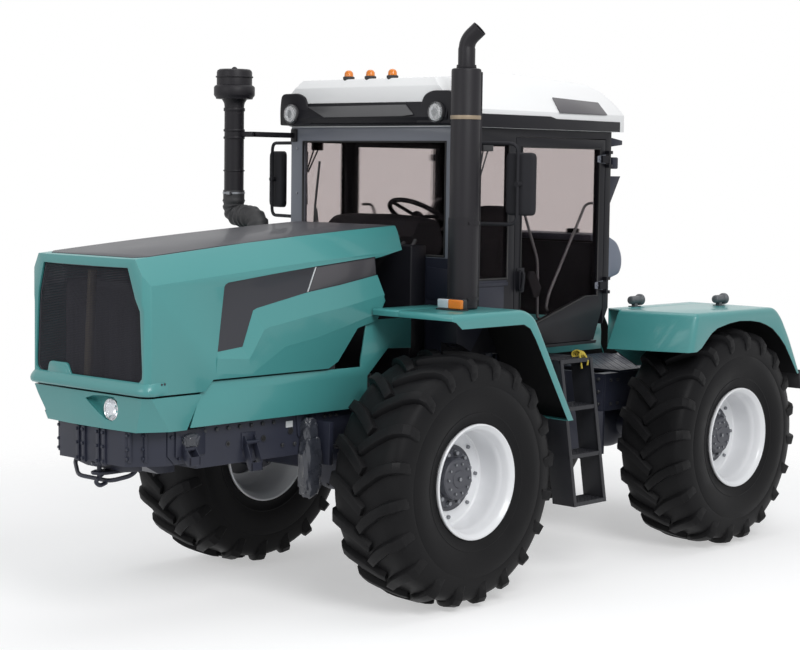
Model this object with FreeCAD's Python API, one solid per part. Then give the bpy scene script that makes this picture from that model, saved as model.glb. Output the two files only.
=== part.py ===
"""Articulated four-wheel-drive tractor with equal wheels, built as separate pieces at real size.

Frame: +X forward, +Y to the driver's left, +Z up, in millimetres. The origin lies on the ground, at the
middle of the overall length and width. The front half carries engine, bonnet and cab; the rear half carries
the rear axle, its mudguards and the three-point linkage. The halves steer about a vertical pin midway
between the axles and roll about a lengthwise trunnion behind it. One STEP file is written per piece.
"""
import FreeCAD
import Part
import math
import os

V = FreeCAD.Vector

# ---- driving dimensions ------------------------------------------------------------------------------
LENGTH = 6430.0            # nose to the tips of the lower links
NOSE_TO_PIVOT = 3500.0     # nose to the vertical steering pin
WHEELBASE = 2860.0
TRACK = 1860.0
TYRE_R = 785.0
TYRE_W = 560.0             # widest, across the sidewalls
TREAD_W = 530.0
RIM_SEAT_R = 330.0
RIM_FLANGE_R = 356.0
RIM_W = 530.0
WIDTH = 2400.0             # outside of the mudguards

SEAT_GAP = 0.3             # between pieces that rest on each other
PIN_GAP = 0.05             # radial, between a pin and its hole
MOVE_GAP = 12.0            # beside a panel that swings

FRAME_HALF = 440.0         # outer face of the side rails
RAIL_BOTTOM = 950.0
RAIL_TOP = 1200.0
RAIL_FLANGE = 80.0
RAIL_WEB = 14.0

CAB_REAR = -420.0          # measured from the pivot, as all lengths named *_X below are
CAB_FRONT = 1150.0
CAB_HALF = 760.0
CAB_FLOOR = 1500.0
CAB_TOP = 2940.0
CAB_WALL = 45.0
PILLAR = 60.0
DOOR_FRONT = 600.0
SILL_Z = 2120.0            # lower edge of the windscreen
GLASS_TOP = 2850.0
ROOF_TOP = 3305.0
ROOF_HALF = 800.0
GLASS = 6.0

BONNET_HALF = 530.0
BONNET_WALL = 12.0
BONNET_BOTTOM = 1403.0     # of the nose
BONNET_SIDE_BOTTOM = 1466.0
BONNET_FRONT_TOP = 2157.0
BONNET_REAR_TOP = 2317.0
BONNET_REAR = 1390.0
CREST_HALF = 442.0         # between the middle and the crest beside the flat top
SHOULDER_DROP = 150.0      # from the crest to the upright side
NOSE_LEAN = 46.0           # the brow stands this far ahead of the grille
NOSE_PANEL_BOTTOM = 1190.3
COWL_FRONT = 1290.0      # front face of the firewall box

FENDER_SKIN = 14.0
FENDER_INNER = 480.0
FRONT_FENDER_TOP = 1815.0
REAR_FENDER_TOP = 1700.0

# ---- places worked out from them ---------------------------------------------------------------------
PIVOT_X = LENGTH / 2 - NOSE_TO_PIVOT
NOSE = NOSE_TO_PIVOT
FRONT_AXLE = WHEELBASE / 2
REAR_AXLE = -WHEELBASE / 2
WHEEL_Y = TRACK / 2
WHEEL_Z = TYRE_R
FENDER_OUTER = WIDTH / 2
TAIL = NOSE_TO_PIVOT - LENGTH

parts = {}


# ---- small makers ------------------------------------------------------------------------------------
def box(x0, x1, y0, y1, z0, z1):
    return Part.makeBox(x1 - x0, y1 - y0, z1 - z0, V(x0, y0, z0))


def rod(start, end, radius):
    a, b = V(*start), V(*end)
    return Part.makeCylinder(radius, (b - a).Length, a, b - a)


def face_of(points):
    return Part.Face(Part.makePolygon([V(*p) for p in points + points[:1]]))


def prism_y(outline, y0, y1):
    """A plate whose outline is given in X and Z, from y0 to y1."""
    return face_of([(x, y0, z) for x, z in outline]).extrude(V(0, y1 - y0, 0))


def prism_z(outline, z0, z1):
    return face_of([(x, y, z0) for x, y in outline]).extrude(V(0, 0, z1 - z0))


def prism_x(outline, x0, x1):
    return face_of([(x0, y, z) for y, z in outline]).extrude(V(x1 - x0, 0, 0))


def mirrored(shape):
    return shape.mirror(V(0, 0, 0), V(0, 1, 0))


def both(shape):
    """The piece and its twin on the other side, as two solids."""
    return Part.makeCompound([shape, mirrored(shape)])


def joined(*shapes):
    whole = shapes[0]
    for other in shapes[1:]:
        whole = whole.fuse(other)
    return whole.removeSplitter()


def edges_along(shape, direction, where=lambda mid: True):
    """Straight edges that run along a direction and whose middle passes a test."""
    found = []
    axis = V(*direction)
    for edge in shape.Edges:
        if edge.Curve.TypeId != "Part::GeomLine":
            continue
        run = edge.Vertexes[-1].Point - edge.Vertexes[0].Point
        mid = (edge.Vertexes[-1].Point + edge.Vertexes[0].Point) * 0.5
        if run.Length > 1 and abs(abs(run.normalize().dot(axis)) - 1) < 0.02 and where(mid):
            found.append(edge)
    return found


def rounded(shape, radius, direction, where=lambda mid: True):
    return shape.makeFillet(radius, edges_along(shape, direction, where))


def pipe(points, radius, bend):
    """A round bar along straight runs joined by arcs of the same bend radius."""
    pts = [V(*p) for p in points]
    edges, at = [], pts[0]
    for before, corner, after in zip(pts, pts[1:], pts[2:]):
        u, w = (before - corner).normalize(), (after - corner).normalize()
        half = u.getAngle(w) / 2
        cut = bend / math.tan(half)
        first, last = corner + u * cut, corner + w * cut
        centre = corner + (u + w).normalize() * (bend / math.sin(half))
        middle = centre + (corner - centre).normalize() * bend
        edges.append(Part.LineSegment(at, first).toShape())
        edges.append(Part.Arc(first, middle, last).toShape())
        at = last
    edges.append(Part.LineSegment(at, pts[-1]).toShape())
    ring = Part.Wire(Part.makeCircle(radius, pts[0], pts[1] - pts[0]))
    return Part.Wire(edges).makePipeShell([ring], True, False)


def turned(section, centre):
    """A ring turned about the wheel's axle from (radius, offset) points; offset is along +Y."""
    face = face_of([(r, y, 0) for r, y in section])
    ring = face.revolve(V(0, 0, 0), V(0, 1, 0), 360)
    ring.translate(V(*centre))
    return ring


def add(name, *solids):
    """Keeps a piece under its name; solids of one piece don't touch."""
    parts[name] = Part.makeCompound(list(solids)) if len(solids) > 1 else solids[0]


# ---- wheels: tyre on a deep rim, with the planetary hub in its middle --------------------------------
SPINDLE_R = 70.0
SPINDLE_REACH = 95.0       # of the spindle into its hub
HUB_INNER = -60.0          # offsets from the wheel's middle plane, outwards positive
HUB_OUTER = 120.0
HUB_R = 182.0
DISC_AT = 10.0
DISC_T = 16.0
BARREL_R = 318.0
BARREL_T = 14.0
TYRE_WALL = 40.0


def tyre_section():
    half, tread = TYRE_W / 2, TREAD_W / 2
    inside = RIM_SEAT_R + SEAT_GAP
    bead = RIM_W / 2 - 25
    outer = [(inside, bead), (inside + 50, bead + 12), (inside + 150, half), (inside + 260, half),
             (TYRE_R - 75, tread + 8), (TYRE_R - 30, tread), (TYRE_R - 6, tread * 0.6), (TYRE_R, 0)]
    shell = outer + [(r, -y) for r, y in reversed(outer[:-1])]
    inner = [(inside, bead - TYRE_WALL), (inside + 150, half - TYRE_WALL), (TYRE_R - 110, tread - TYRE_WALL)]
    return shell + [(r, -y) for r, y in inner] + list(reversed(inner))


def rim_section(side):
    """Barrel with two flanges, disc and hub as one turned piece; side is +1 on the left."""
    half = RIM_W / 2
    barrel_in = BARREL_R - BARREL_T
    seat = RIM_SEAT_R
    inner = [(barrel_in, half - 60), (barrel_in, DISC_AT + DISC_T), (HUB_R, DISC_AT + DISC_T),
             (HUB_R, HUB_OUTER - 14), (HUB_R - 14, HUB_OUTER), (0, HUB_OUTER),
             (0, HUB_INNER + SPINDLE_REACH + 1), (SPINDLE_R + PIN_GAP, HUB_INNER + SPINDLE_REACH + 1),
             (SPINDLE_R + PIN_GAP, HUB_INNER), (HUB_R - 20, HUB_INNER), (HUB_R - 20, DISC_AT),
             (barrel_in, DISC_AT), (barrel_in, -half + 60)]
    flange_in = [(seat - 12, -half + 30), (RIM_FLANGE_R - 8, -half + 8), (RIM_FLANGE_R, -half),
                 (RIM_FLANGE_R, -half + 12), (seat, -half + 25)]
    drop = [(seat, -half + 70), (BARREL_R, -half + 100), (BARREL_R, half - 100), (seat, half - 70)]
    flange_out = [(r, -y) for r, y in reversed(flange_in)]
    outline = inner + flange_in + drop + flange_out
    return [(r, side * y) for r, y in outline]


def wheel(name, x, side):
    centre = (x, side * WHEEL_Y, WHEEL_Z)
    add("tyre_" + name, turned(tyre_section(), centre))
    add("rim_" + name, turned(rim_section(side), centre))


for end, axle_x in (("front", FRONT_AXLE), ("rear", REAR_AXLE)):
    wheel(end + "_left", axle_x, 1)
    wheel(end + "_right", axle_x, -1)

# ---- axles: beam, bevel-gear housing and a spindle into each hub -------------------------------------
BEAM_R = 88.0
BRAKE_R = 135.0
DIFF_R = 195.0
AXLE_FACE = WHEEL_Y + HUB_INNER - SEAT_GAP
PAD_Y = 520.0
PAD_HALF = 45.0
PAD_TOP = WHEEL_Z + BEAM_R + 22


def axle(x, nose):
    """Axle about y = 0; nose is the way its input flange points along X."""
    spindle_end = AXLE_FACE + SEAT_GAP + SPINDLE_REACH
    beam = rod((x, -AXLE_FACE, WHEEL_Z), (x, AXLE_FACE, WHEEL_Z), BEAM_R)
    spindles = rod((x, -spindle_end, WHEEL_Z), (x, spindle_end, WHEEL_Z), SPINDLE_R)
    brakes = [rod((x, s * (AXLE_FACE - 150), WHEEL_Z), (x, s * AXLE_FACE, WHEEL_Z), BRAKE_R) for s in (-1, 1)]
    bowl = Part.makeSphere(DIFF_R, V(x, 0, WHEEL_Z))
    neck = rod((x, 0, WHEEL_Z), (x + nose * 330, 0, WHEEL_Z), 95)
    flange = rod((x + nose * 330, 0, WHEEL_Z), (x + nose * 350, 0, WHEEL_Z), 85)
    pads = [box(x - 90, x + 90, s * PAD_Y - PAD_HALF, s * PAD_Y + PAD_HALF, WHEEL_Z, PAD_TOP)
            for s in (-1, 1)]
    return joined(beam, spindles, *brakes, bowl, neck, flange, *pads)


add("front_axle", axle(FRONT_AXLE, -1))
add("rear_axle", axle(REAR_AXLE, 1))

# ---- leaf springs and their hangers, between the front axle's pads and the rails ---------------------
SPRING_T = 62.0
SPRING_HALF_LENGTH = 600.0
HANGER_W = 34.0
HANGER_T = 70.0


def spring():
    low, rise = PAD_TOP + SEAT_GAP, 45
    x0, x1 = FRONT_AXLE - SPRING_HALF_LENGTH, FRONT_AXLE + SPRING_HALF_LENGTH
    arcs = []
    for z, thick_end in ((low, rise), (low + SPRING_T, rise)):
        arcs.append(Part.Arc(V(x0, 0, z + thick_end), V(FRONT_AXLE, 0, z), V(x1, 0, z + thick_end)).toShape())
    ends = [Part.LineSegment(V(x, 0, low + rise), V(x, 0, low + SPRING_T + rise)).toShape() for x in (x0, x1)]
    leaf = Part.Face(Part.Wire(Part.__sortEdges__(arcs + ends))).extrude(V(0, HANGER_T, 0))
    leaf.translate(V(0, PAD_Y - HANGER_T / 2, 0))
    return leaf


add("front_springs", *[both(spring()).Solids[i] for i in (0, 1)])

# ---- front half frame: channel rails, crossmembers, spring hangers, cab posts and hinge yoke ---------
FRAME_REAR = 330.0
FRAME_FRONT = 3020.0
YOKE_HALF = 118.0
YOKE_T = 55.0
YOKE_LOW = 520.0
YOKE_HIGH = 1000.0
STEER_PIN_R = 55.0
WEB_HALF = 212.0           # of the wall between the steering cylinders
CYL_ANCHOR_X = 1010.0
CYL_ANCHOR_Y = 330.0
CYL_LUG_Y = 290.0
CYL_Z = 760.0
CYL_EYE_T = 46.0
LUG_T = 22.0


def rail(x0, x1):
    """One left-hand channel, its open side inwards."""
    outer = box(x0, x1, FRAME_HALF - RAIL_FLANGE, FRAME_HALF, RAIL_BOTTOM, RAIL_TOP)
    hollow = box(x0 - 1, x1 + 1, FRAME_HALF - RAIL_FLANGE - 1, FRAME_HALF - RAIL_WEB,
                 RAIL_BOTTOM + RAIL_WEB, RAIL_TOP - RAIL_WEB)
    return outer.cut(hollow)


def yoke_plate(z0):
    plate = prism_z([(FRAME_REAR + 120, -330), (FRAME_REAR + 120, 330), (FRAME_REAR - 60, 330),
                     (0, YOKE_HALF), (0, -YOKE_HALF), (FRAME_REAR - 60, -330)], z0, z0 + YOKE_T)
    eye = rod((0, 0, z0), (0, 0, z0 + YOKE_T), YOKE_HALF)
    hole = rod((0, 0, z0 - 1), (0, 0, z0 + YOKE_T + 1), STEER_PIN_R + PIN_GAP)
    return plate.fuse(eye).cut(hole)


def front_frame():
    inner = FRAME_HALF - RAIL_FLANGE
    rails = [rail(FRAME_REAR, FRAME_FRONT), mirrored(rail(FRAME_REAR, FRAME_FRONT))]
    cross = [box(x, x + 90, -FRAME_HALF + RAIL_WEB, FRAME_HALF - RAIL_WEB, RAIL_BOTTOM, RAIL_BOTTOM + 50)
             for x in (1800, 2800)]
    front = box(FRAME_FRONT - 25, FRAME_FRONT, -FRAME_HALF, FRAME_HALF, RAIL_BOTTOM, RAIL_TOP)
    back = box(FRAME_REAR, FRAME_REAR + 120, -FRAME_HALF, FRAME_HALF, YOKE_HIGH, RAIL_TOP)
    web = box(FRAME_REAR, FRAME_REAR + 120, -WEB_HALF, WEB_HALF, YOKE_LOW, RAIL_TOP)
    plates = [yoke_plate(YOKE_LOW), yoke_plate(YOKE_HIGH)]
    hangers, posts = [], []
    spring_end_low = PAD_TOP + SEAT_GAP + 45
    for s in (-1, 1):
        for x in (FRONT_AXLE - SPRING_HALF_LENGTH, FRONT_AXLE + SPRING_HALF_LENGTH):
            outward = -1 if x < FRONT_AXLE else 1
            x_near, x_far = sorted((x + outward * SEAT_GAP, x + outward * HANGER_W))
            y_in, y_out = sorted((s * FRAME_HALF, s * (PAD_Y + HANGER_T / 2)))
            hangers.append(box(x_near, x_far, y_in, y_out, spring_end_low - 60, RAIL_TOP - 60))
        for x in (420.0, 1060.0):
            y_in, y_out = sorted((s * inner, s * FRAME_HALF))
            posts.append(box(x, x + 70, y_in, y_out, RAIL_TOP, CAB_FLOOR - SEAT_GAP))
        posts.append(box(FRAME_REAR, FRAME_REAR + 60, y_in, y_out, RAIL_TOP, LADDER_TOP))
    anchors = []
    for s in (-1, 1):
        for z in (CYL_Z - CYL_EYE_T / 2 - LUG_T - SEAT_GAP, CYL_Z + CYL_EYE_T / 2 + SEAT_GAP):
            anchors.append(box(CYL_ANCHOR_X - 45, CYL_ANCHOR_X + 45, s * CYL_ANCHOR_Y - 45,
                               s * CYL_ANCHOR_Y + 45, z, z + LUG_T))
        y_in, y_out = sorted((s * (CYL_ANCHOR_Y + 45), s * (CYL_ANCHOR_Y + 75)))
        anchors.append(box(CYL_ANCHOR_X - 45, CYL_ANCHOR_X + 45, y_in, y_out,
                           CYL_Z - CYL_EYE_T / 2 - LUG_T - SEAT_GAP, RAIL_BOTTOM))
        y_in, y_out = sorted((s * (CYL_ANCHOR_Y + 45), s * (CYL_ANCHOR_Y)))
        anchors.append(rod((CYL_ANCHOR_X, s * CYL_ANCHOR_Y, CYL_Z - CYL_EYE_T / 2 - LUG_T),
                           (CYL_ANCHOR_X, s * CYL_ANCHOR_Y, CYL_Z + CYL_EYE_T / 2 + LUG_T), 18))
    return joined(*rails, *cross, front, back, web, *plates, *hangers, *posts, *anchors)


# ---- boarding ladders under the doors: two cheek plates and four treads ------------------------------
LADDER_FRONT = FRONT_AXLE - 1055     # just behind the mudguard's foot
LADDER_REAR = LADDER_FRONT - 345
POST_LAP = 45.0            # of the ladder's brace over the post that carries it
LADDER_TOP_Y = 980.0       # outer edge at the top tread
LADDER_FOOT_Y = 1120.0     # outer edge at the foot
LADDER_DEPTH = 180.0
LADDER_TOP = 1440.0
LADDER_FOOT = 490.0
CHEEK_T = 12.0
TREADS = 4
TREAD_T = 26.0


def ladder():
    cheek = [(LADDER_TOP_Y - LADDER_DEPTH, LADDER_TOP), (LADDER_TOP_Y, LADDER_TOP),
             (LADDER_FOOT_Y, LADDER_FOOT), (LADDER_FOOT_Y - LADDER_DEPTH, LADDER_FOOT)]
    pieces = [prism_x(cheek, x, x + CHEEK_T) for x in (LADDER_REAR, LADDER_FRONT - CHEEK_T)]
    for i in range(TREADS):
        share = i / (TREADS - 1)
        z = LADDER_FOOT + share * (LADDER_TOP - LADDER_FOOT - TREAD_T)
        outer = LADDER_FOOT_Y + share * (LADDER_TOP_Y - LADDER_FOOT_Y)
        pieces.append(box(LADDER_REAR, LADDER_FRONT, outer - LADDER_DEPTH, outer, z, z + TREAD_T))
    brace_front = max(LADDER_FRONT, FRAME_REAR + POST_LAP)
    brace_out = LADDER_TOP_Y - LADDER_DEPTH + 20
    brace = box(LADDER_REAR, brace_front, FRAME_HALF + SEAT_GAP, brace_out, LADDER_TOP - 60, LADDER_TOP)
    return joined(brace, *pieces)


add("front_frame", front_frame())
add("ladders", *both(ladder()).Solids)

# ---- engine and transmission: plain blocks at their real place ---------------------------------------
ENGINE_FRONT = 2960.0
ENGINE_REAR = 1760.0
ENGINE_HALF = 300.0
ENGINE_TOP = 1920.0
engine_seat = RAIL_BOTTOM + 50 + SEAT_GAP
add("engine_block", box(ENGINE_REAR, ENGINE_FRONT, -ENGINE_HALF, ENGINE_HALF, engine_seat, ENGINE_TOP))

GEARBOX_TOP = 1350.0
GEARBOX_HALF = 240.0
gearbox = box(FRAME_REAR + 120 + SEAT_GAP, ENGINE_REAR - SEAT_GAP, -GEARBOX_HALF, GEARBOX_HALF,
              RAIL_BOTTOM + 100, GEARBOX_TOP)
add("transmission", gearbox)

# ---- nose: carrier beam with ballast, green nose panel, radiator -------------------------------------
CARRIER_FRONT = 3425.0
CARRIER_BOTTOM = 985.0
CARRIER_TOP = 1190.0


def carrier():
    plan = [(FRAME_FRONT + SEAT_GAP, -430), (CARRIER_FRONT - 190, -430), (CARRIER_FRONT, -300),
            (CARRIER_FRONT, 300), (CARRIER_FRONT - 190, 430), (FRAME_FRONT + SEAT_GAP, 430)]
    block = prism_z(plan, CARRIER_BOTTOM, CARRIER_TOP)
    toe = prism_y([(FRAME_FRONT + SEAT_GAP, CARRIER_BOTTOM), (CARRIER_FRONT - 150, CARRIER_BOTTOM),
                   (FRAME_FRONT + 120, CARRIER_BOTTOM - 75), (FRAME_FRONT + SEAT_GAP, CARRIER_BOTTOM - 75)],
                  -250, 250)
    tow_pin = rod((CARRIER_FRONT - 60, 0, CARRIER_BOTTOM - 1), (CARRIER_FRONT - 60, 0, CARRIER_TOP + 1), 16)
    return block.fuse(toe).removeSplitter().cut(tow_pin)


add("front_weights", carrier())


def plan_of_nose(inset):
    """Plan of nose and bonnet: a gently bowed front with short slanted corners."""
    half, front = BONNET_HALF - inset, NOSE - inset
    corner = inset * 0.4
    left = [(1000, half), (front - 75, half), (front - 38, half - 35 + corner), (front, 150)]
    return [(x, -y) for x, y in left] + left[::-1]


NOSE_PANEL_REAR = 3062.0   # at its upper edge
NOSE_PANEL_RAKE = 78.0
NOSE_PANEL_TUCK = 30.0     # the sides stand in by this much at the lower edge
NOSE_FACE = NOSE - 36.0
NOSE_FACE_RAKE = 14.0
LAMP_Y = 205.0
LAMP_Z = 1306.0
LAMP_R = 62.0


def nose_ring(z, rear, side, corner, face, inset):
    """One level of the nose panel; side and corner are its (x, y) bends from the back to the bowed front."""
    left = [(rear, side[1] - inset), (side[0] - inset * 0.4, side[1] - inset),
            (corner[0] - inset, corner[1] - inset * 0.4), (face - inset, 150)]
    plan = [(x, -y) for x, y in left] + left[::-1]
    return Part.makePolygon([V(x, y, z) for x, y in plan + plan[:1]])


def nose_panel_form(inset):
    """Outer form at inset 0, its hollow at the wall thickness."""
    more = 1.0 if inset else 0.0
    low_rear = NOSE_PANEL_REAR + NOSE_PANEL_RAKE
    upper = nose_ring(BONNET_BOTTOM - MOVE_GAP + more, NOSE_PANEL_REAR - more, (NOSE - 75, BONNET_HALF),
                      (NOSE - 40, BONNET_HALF - 35), NOSE_FACE, inset)
    lower = nose_ring(NOSE_PANEL_BOTTOM - more, low_rear - more, (NOSE - 235, BONNET_HALF - NOSE_PANEL_TUCK),
                      (NOSE - 69, BONNET_HALF - 123), NOSE_FACE - NOSE_FACE_RAKE, inset)
    return Part.makeLoft([lower, upper], True, True)


def nose_panel():
    """Pressed bumper below the grille with a raked face, a foot on the carrier and the lamp's hole."""
    form = nose_panel_form(0)
    foot = form.common(box(0, NOSE_FACE - NOSE_FACE_RAKE - 2, -2000, 2000, 0, NOSE_PANEL_BOTTOM + 10))
    panel = form.cut(nose_panel_form(BONNET_WALL)).fuse(foot)
    lamp_hole = rod((NOSE - 250, LAMP_Y, LAMP_Z), (NOSE + 10, LAMP_Y, LAMP_Z), LAMP_R + 2)
    return panel.cut(lamp_hole).removeSplitter()


add("nose_panel", nose_panel())
add("headlamp", rod((NOSE - 148, LAMP_Y, LAMP_Z), (NOSE - 50, LAMP_Y, LAMP_Z), LAMP_R + 1.7))

SIDE_PANEL_REAR = 1690.0
RADIATOR_X = 3150.0
RADIATOR_TOP = 2010.0
SHIELD_REAR = COWL_FRONT + 8
SHIELD_FRONT = 1750.0
SHIELD_TOP = 1740.0


def side_panel():
    """Fixed panel below the bonnet with a foot on the rail and a shield that runs back over the tyre."""
    top = BONNET_SIDE_BOTTOM - MOVE_GAP
    front = NOSE_PANEL_REAR - MOVE_GAP
    low = RAIL_TOP + SEAT_GAP
    skin = prism_y([(SIDE_PANEL_REAR, low), (front + NOSE_PANEL_RAKE - 8, low),
                    (front, BONNET_BOTTOM - MOVE_GAP), (front - 70, top), (SIDE_PANEL_REAR, top)],
                   BONNET_HALF - 35, BONNET_HALF - 23)
    foot = box(SIDE_PANEL_REAR, front, FRAME_HALF - 40, BONNET_HALF - 23, low, low + 12)
    shield = prism_y([(SHIELD_REAR, top + 90), (SHIELD_REAR + 210, top + 100), (SIDE_PANEL_REAR, top - 60),
                      (SIDE_PANEL_REAR + 60, top), (SHIELD_FRONT, top + 40), (SHIELD_FRONT - 50, SHIELD_TOP),
                      (SHIELD_REAR, SHIELD_TOP)], BONNET_HALF - 35, BONNET_HALF - 23)
    return joined(skin, foot, shield)


add("side_panels", *both(side_panel()).Solids)
add("radiator", box(RADIATOR_X, RADIATOR_X + 140, -420, 420, NOSE_PANEL_BOTTOM + 10 + SEAT_GAP, RADIATOR_TOP))

# ---- bonnet: one shell with a grille opening, hinged at its rear top edge ----------------------------
HINGE_X = BONNET_REAR - 50
HINGE_Z = 2215.0
HINGE_R = 16.0
KNUCKLE_Y = (-250.0, 190.0)
KNUCKLE_W = 60.0


def crest_height(x):
    """Height of the crest beside the flat top; it falls a little faster towards the nose."""
    share = (x - BONNET_REAR) / (NOSE - BONNET_REAR)
    return BONNET_REAR_TOP - (BONNET_REAR_TOP - BONNET_FRONT_TOP) * (0.72 * share + 0.28 * share * share)


def bonnet_solid(inset):
    """The bonnet's outer form, or its inner form when inset by the wall."""
    half, low = BONNET_HALF - inset, 1000.0
    rings = []
    for i in range(6):
        x = BONNET_REAR - 30 + i * (NOSE + 60 - BONNET_REAR) / 5
        z = crest_height(x) - inset
        crest = CREST_HALF - inset * 0.4
        corners = [(-half, low), (half, low), (half, z - SHOULDER_DROP), (crest, z), (-crest, z),
                   (-half, z - SHOULDER_DROP)]
        rings.append(Part.makePolygon([V(x, y, h) for y, h in corners + corners[:1]]))
    body = Part.makeLoft(rings, True, True)
    more = 1.0 if inset else 0.0
    rear, brow = BONNET_REAR - 5 * more, NOSE - inset
    side = [(rear, 2500), (rear, BONNET_REAR_TOP - 40), (rear + 25, BONNET_REAR_TOP - 148 - more),
            (rear + 260, BONNET_REAR_TOP - 197 - more), (rear + 247, BONNET_REAR_TOP - 305 - more),
            (rear + 173, BONNET_REAR_TOP - 461), (rear + 242, BONNET_REAR_TOP - 579),
            (rear + 414, BONNET_REAR_TOP - 619), (rear + 581, BONNET_SIDE_BOTTOM + 38),
            (rear + 660, BONNET_SIDE_BOTTOM - more), (NOSE - 530, BONNET_SIDE_BOTTOM - more),
            (NOSE - 470, BONNET_BOTTOM - more), (brow - NOSE_LEAN + 12, BONNET_BOTTOM - more),
            (brow - NOSE_LEAN + 12, BONNET_BOTTOM + 30), (brow - NOSE_LEAN, BONNET_BOTTOM + 45),
            (brow - NOSE_LEAN, BONNET_FRONT_TOP - 285), (brow, BONNET_FRONT_TOP - 52 - inset),
            (brow - 15, BONNET_FRONT_TOP - 28 - inset), (brow - 100, 2500)]
    body = body.common(prism_y(side, -half - 50, half + 50))
    return body.common(prism_z(plan_of_nose(inset), low - 10, 2600)).removeSplitter()


def bonnet():
    shell = bonnet_solid(0).cut(bonnet_solid(BONNET_WALL))
    shell = shell.cut(grille_opening(0, NOSE - 160, NOSE + 20))
    knuckles = []
    for y in KNUCKLE_Y:
        barrel = rod((HINGE_X, y, HINGE_Z), (HINGE_X, y + KNUCKLE_W, HINGE_Z), HINGE_R)
        arm = box(HINGE_X, BONNET_REAR + 60, y, y + KNUCKLE_W, HINGE_Z - 8, HINGE_Z + 8)
        riser = box(BONNET_REAR + 30, BONNET_REAR + 60, y, y + KNUCKLE_W, HINGE_Z,
                    crest_height(BONNET_REAR + 60) - BONNET_WALL + 3)
        knuckles.append(joined(barrel, arm, riser))
    return joined(shell, *knuckles)


def grille_opening(grow, x0, x1):
    """Outline of the mouth in the nose, as a prism; grow widens it all round."""
    low, waist, top = BONNET_BOTTOM + 47 - grow, 1870.0, BONNET_FRONT_TOP - 46 + grow
    right = [(430 + grow, low), (485 + grow, low + 50), (488 + grow, low + 90), (468 + grow, waist),
             (385 + grow, top)]
    return prism_x(right + [(-y, z) for y, z in right[::-1]], x0, x1)


add("bonnet", bonnet())
GRILLE_T = 8.0
grille = bonnet_solid(BONNET_WALL + SEAT_GAP).cut(bonnet_solid(BONNET_WALL + SEAT_GAP + GRILLE_T))
grille = grille.common(grille_opening(12.0, NOSE - 110, NOSE + 20))
add("grille", max(grille.Solids, key=lambda s: s.Volume))

# ---- firewall box between bonnet and cab, with the fixed half of the bonnet hinge --------------------
COWL_TOP = 2190.0
COWL_HALF = 490.0


def cowl():
    body = box(CAB_FRONT + SEAT_GAP, COWL_FRONT, -COWL_HALF, COWL_HALF, GEARBOX_TOP + SEAT_GAP, COWL_TOP)
    lugs = []
    for y in KNUCKLE_Y:
        for y0 in (y - 30 - SEAT_GAP, y + KNUCKLE_W + SEAT_GAP):
            arm = box(COWL_FRONT - 40, HINGE_X + 10, y0, y0 + 30, COWL_TOP - 80, HINGE_Z + 12)
            lugs.append(arm)
    return joined(body, *lugs)


add("cowl", cowl())

# ---- front mudguards, carried by the cab's sill ------------------------------------------------------
FENDER_FRONT = FRONT_AXLE + 260
FENDER_DROP_X = FRONT_AXLE - 480
FENDER_FOOT_X = FRONT_AXLE - 945
FENDER_FOOT_Z = WHEEL_Z + 295
CLEANER_R = 108.0
CLEANER_SPACE = 2.0        # between the air cleaner and the mudguard
FENDER_LIP = 42.0          # turned down along the front edge
SKIRT = 95.0


def offset_line(profile, depth):
    """Points of a bent line moved sideways, each by its own depth, to the right of its run."""
    moved = []
    for i, (x, z) in enumerate(profile):
        runs = []
        for a, b in ((i - 1, i), (i, i + 1)):
            if 0 <= a and b < len(profile):
                run = V(profile[b][0] - profile[a][0], 0, profile[b][1] - profile[a][1]).normalize()
                runs.append(V(run.z, 0, -run.x))
        mean = runs[0] if len(runs) == 1 else (runs[0] + runs[1]).normalize()
        far = depth[i] / mean.dot(runs[0])
        moved.append((x + mean.x * far, z + mean.z * far))
    return moved


def guard(profile, y0, y1, skirt):
    """Bent sheet along a profile that runs from rear to front, with a turned-down skirt at y1."""
    sheet = prism_y(profile + offset_line(profile, [FENDER_SKIN] * len(profile))[::-1], y0, y1)
    side = prism_y(profile + offset_line(profile, skirt)[::-1], y1 - FENDER_SKIN, y1)
    return joined(sheet, side)


def front_fender(inner):
    """Mudguard whose sheet reaches in to a given distance from the middle ahead of the cab."""
    profile = [(FENDER_FOOT_X, FENDER_FOOT_Z), (FENDER_DROP_X - 110, FRONT_FENDER_TOP - 150),
               (FENDER_DROP_X - 40, FRONT_FENDER_TOP - 45), (FENDER_DROP_X + 60, FRONT_FENDER_TOP),
               (FENDER_FRONT, FRONT_FENDER_TOP)]
    skirt = [SKIRT * 0.55, SKIRT * 0.8, SKIRT, SKIRT, SKIRT]
    sheet = guard(profile, CAB_HALF + SEAT_GAP, FENDER_OUTER, skirt)
    lip_low = FRONT_FENDER_TOP - FENDER_LIP
    wing_low = FRONT_FENDER_TOP - FENDER_SKIN
    wing = box(CAB_FRONT + MOVE_GAP, FENDER_FRONT, inner, CAB_HALF + 1, wing_low, FRONT_FENDER_TOP)
    lip = box(FENDER_FRONT - FENDER_SKIN, FENDER_FRONT, inner, FENDER_OUTER, lip_low, FRONT_FENDER_TOP)
    beside = box(CAB_FRONT, FENDER_FRONT + 1, 0, inner, FENDER_FOOT_Z, FRONT_FENDER_TOP + 1)
    return joined(sheet, wing, lip).cut(beside)


beside_bonnet = BONNET_HALF + 2 * MOVE_GAP
beside_cleaner = BONNET_HALF + MOVE_GAP + 2 * CLEANER_R + CLEANER_SPACE
add("front_fenders", front_fender(beside_bonnet), mirrored(front_fender(beside_cleaner)))

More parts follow.
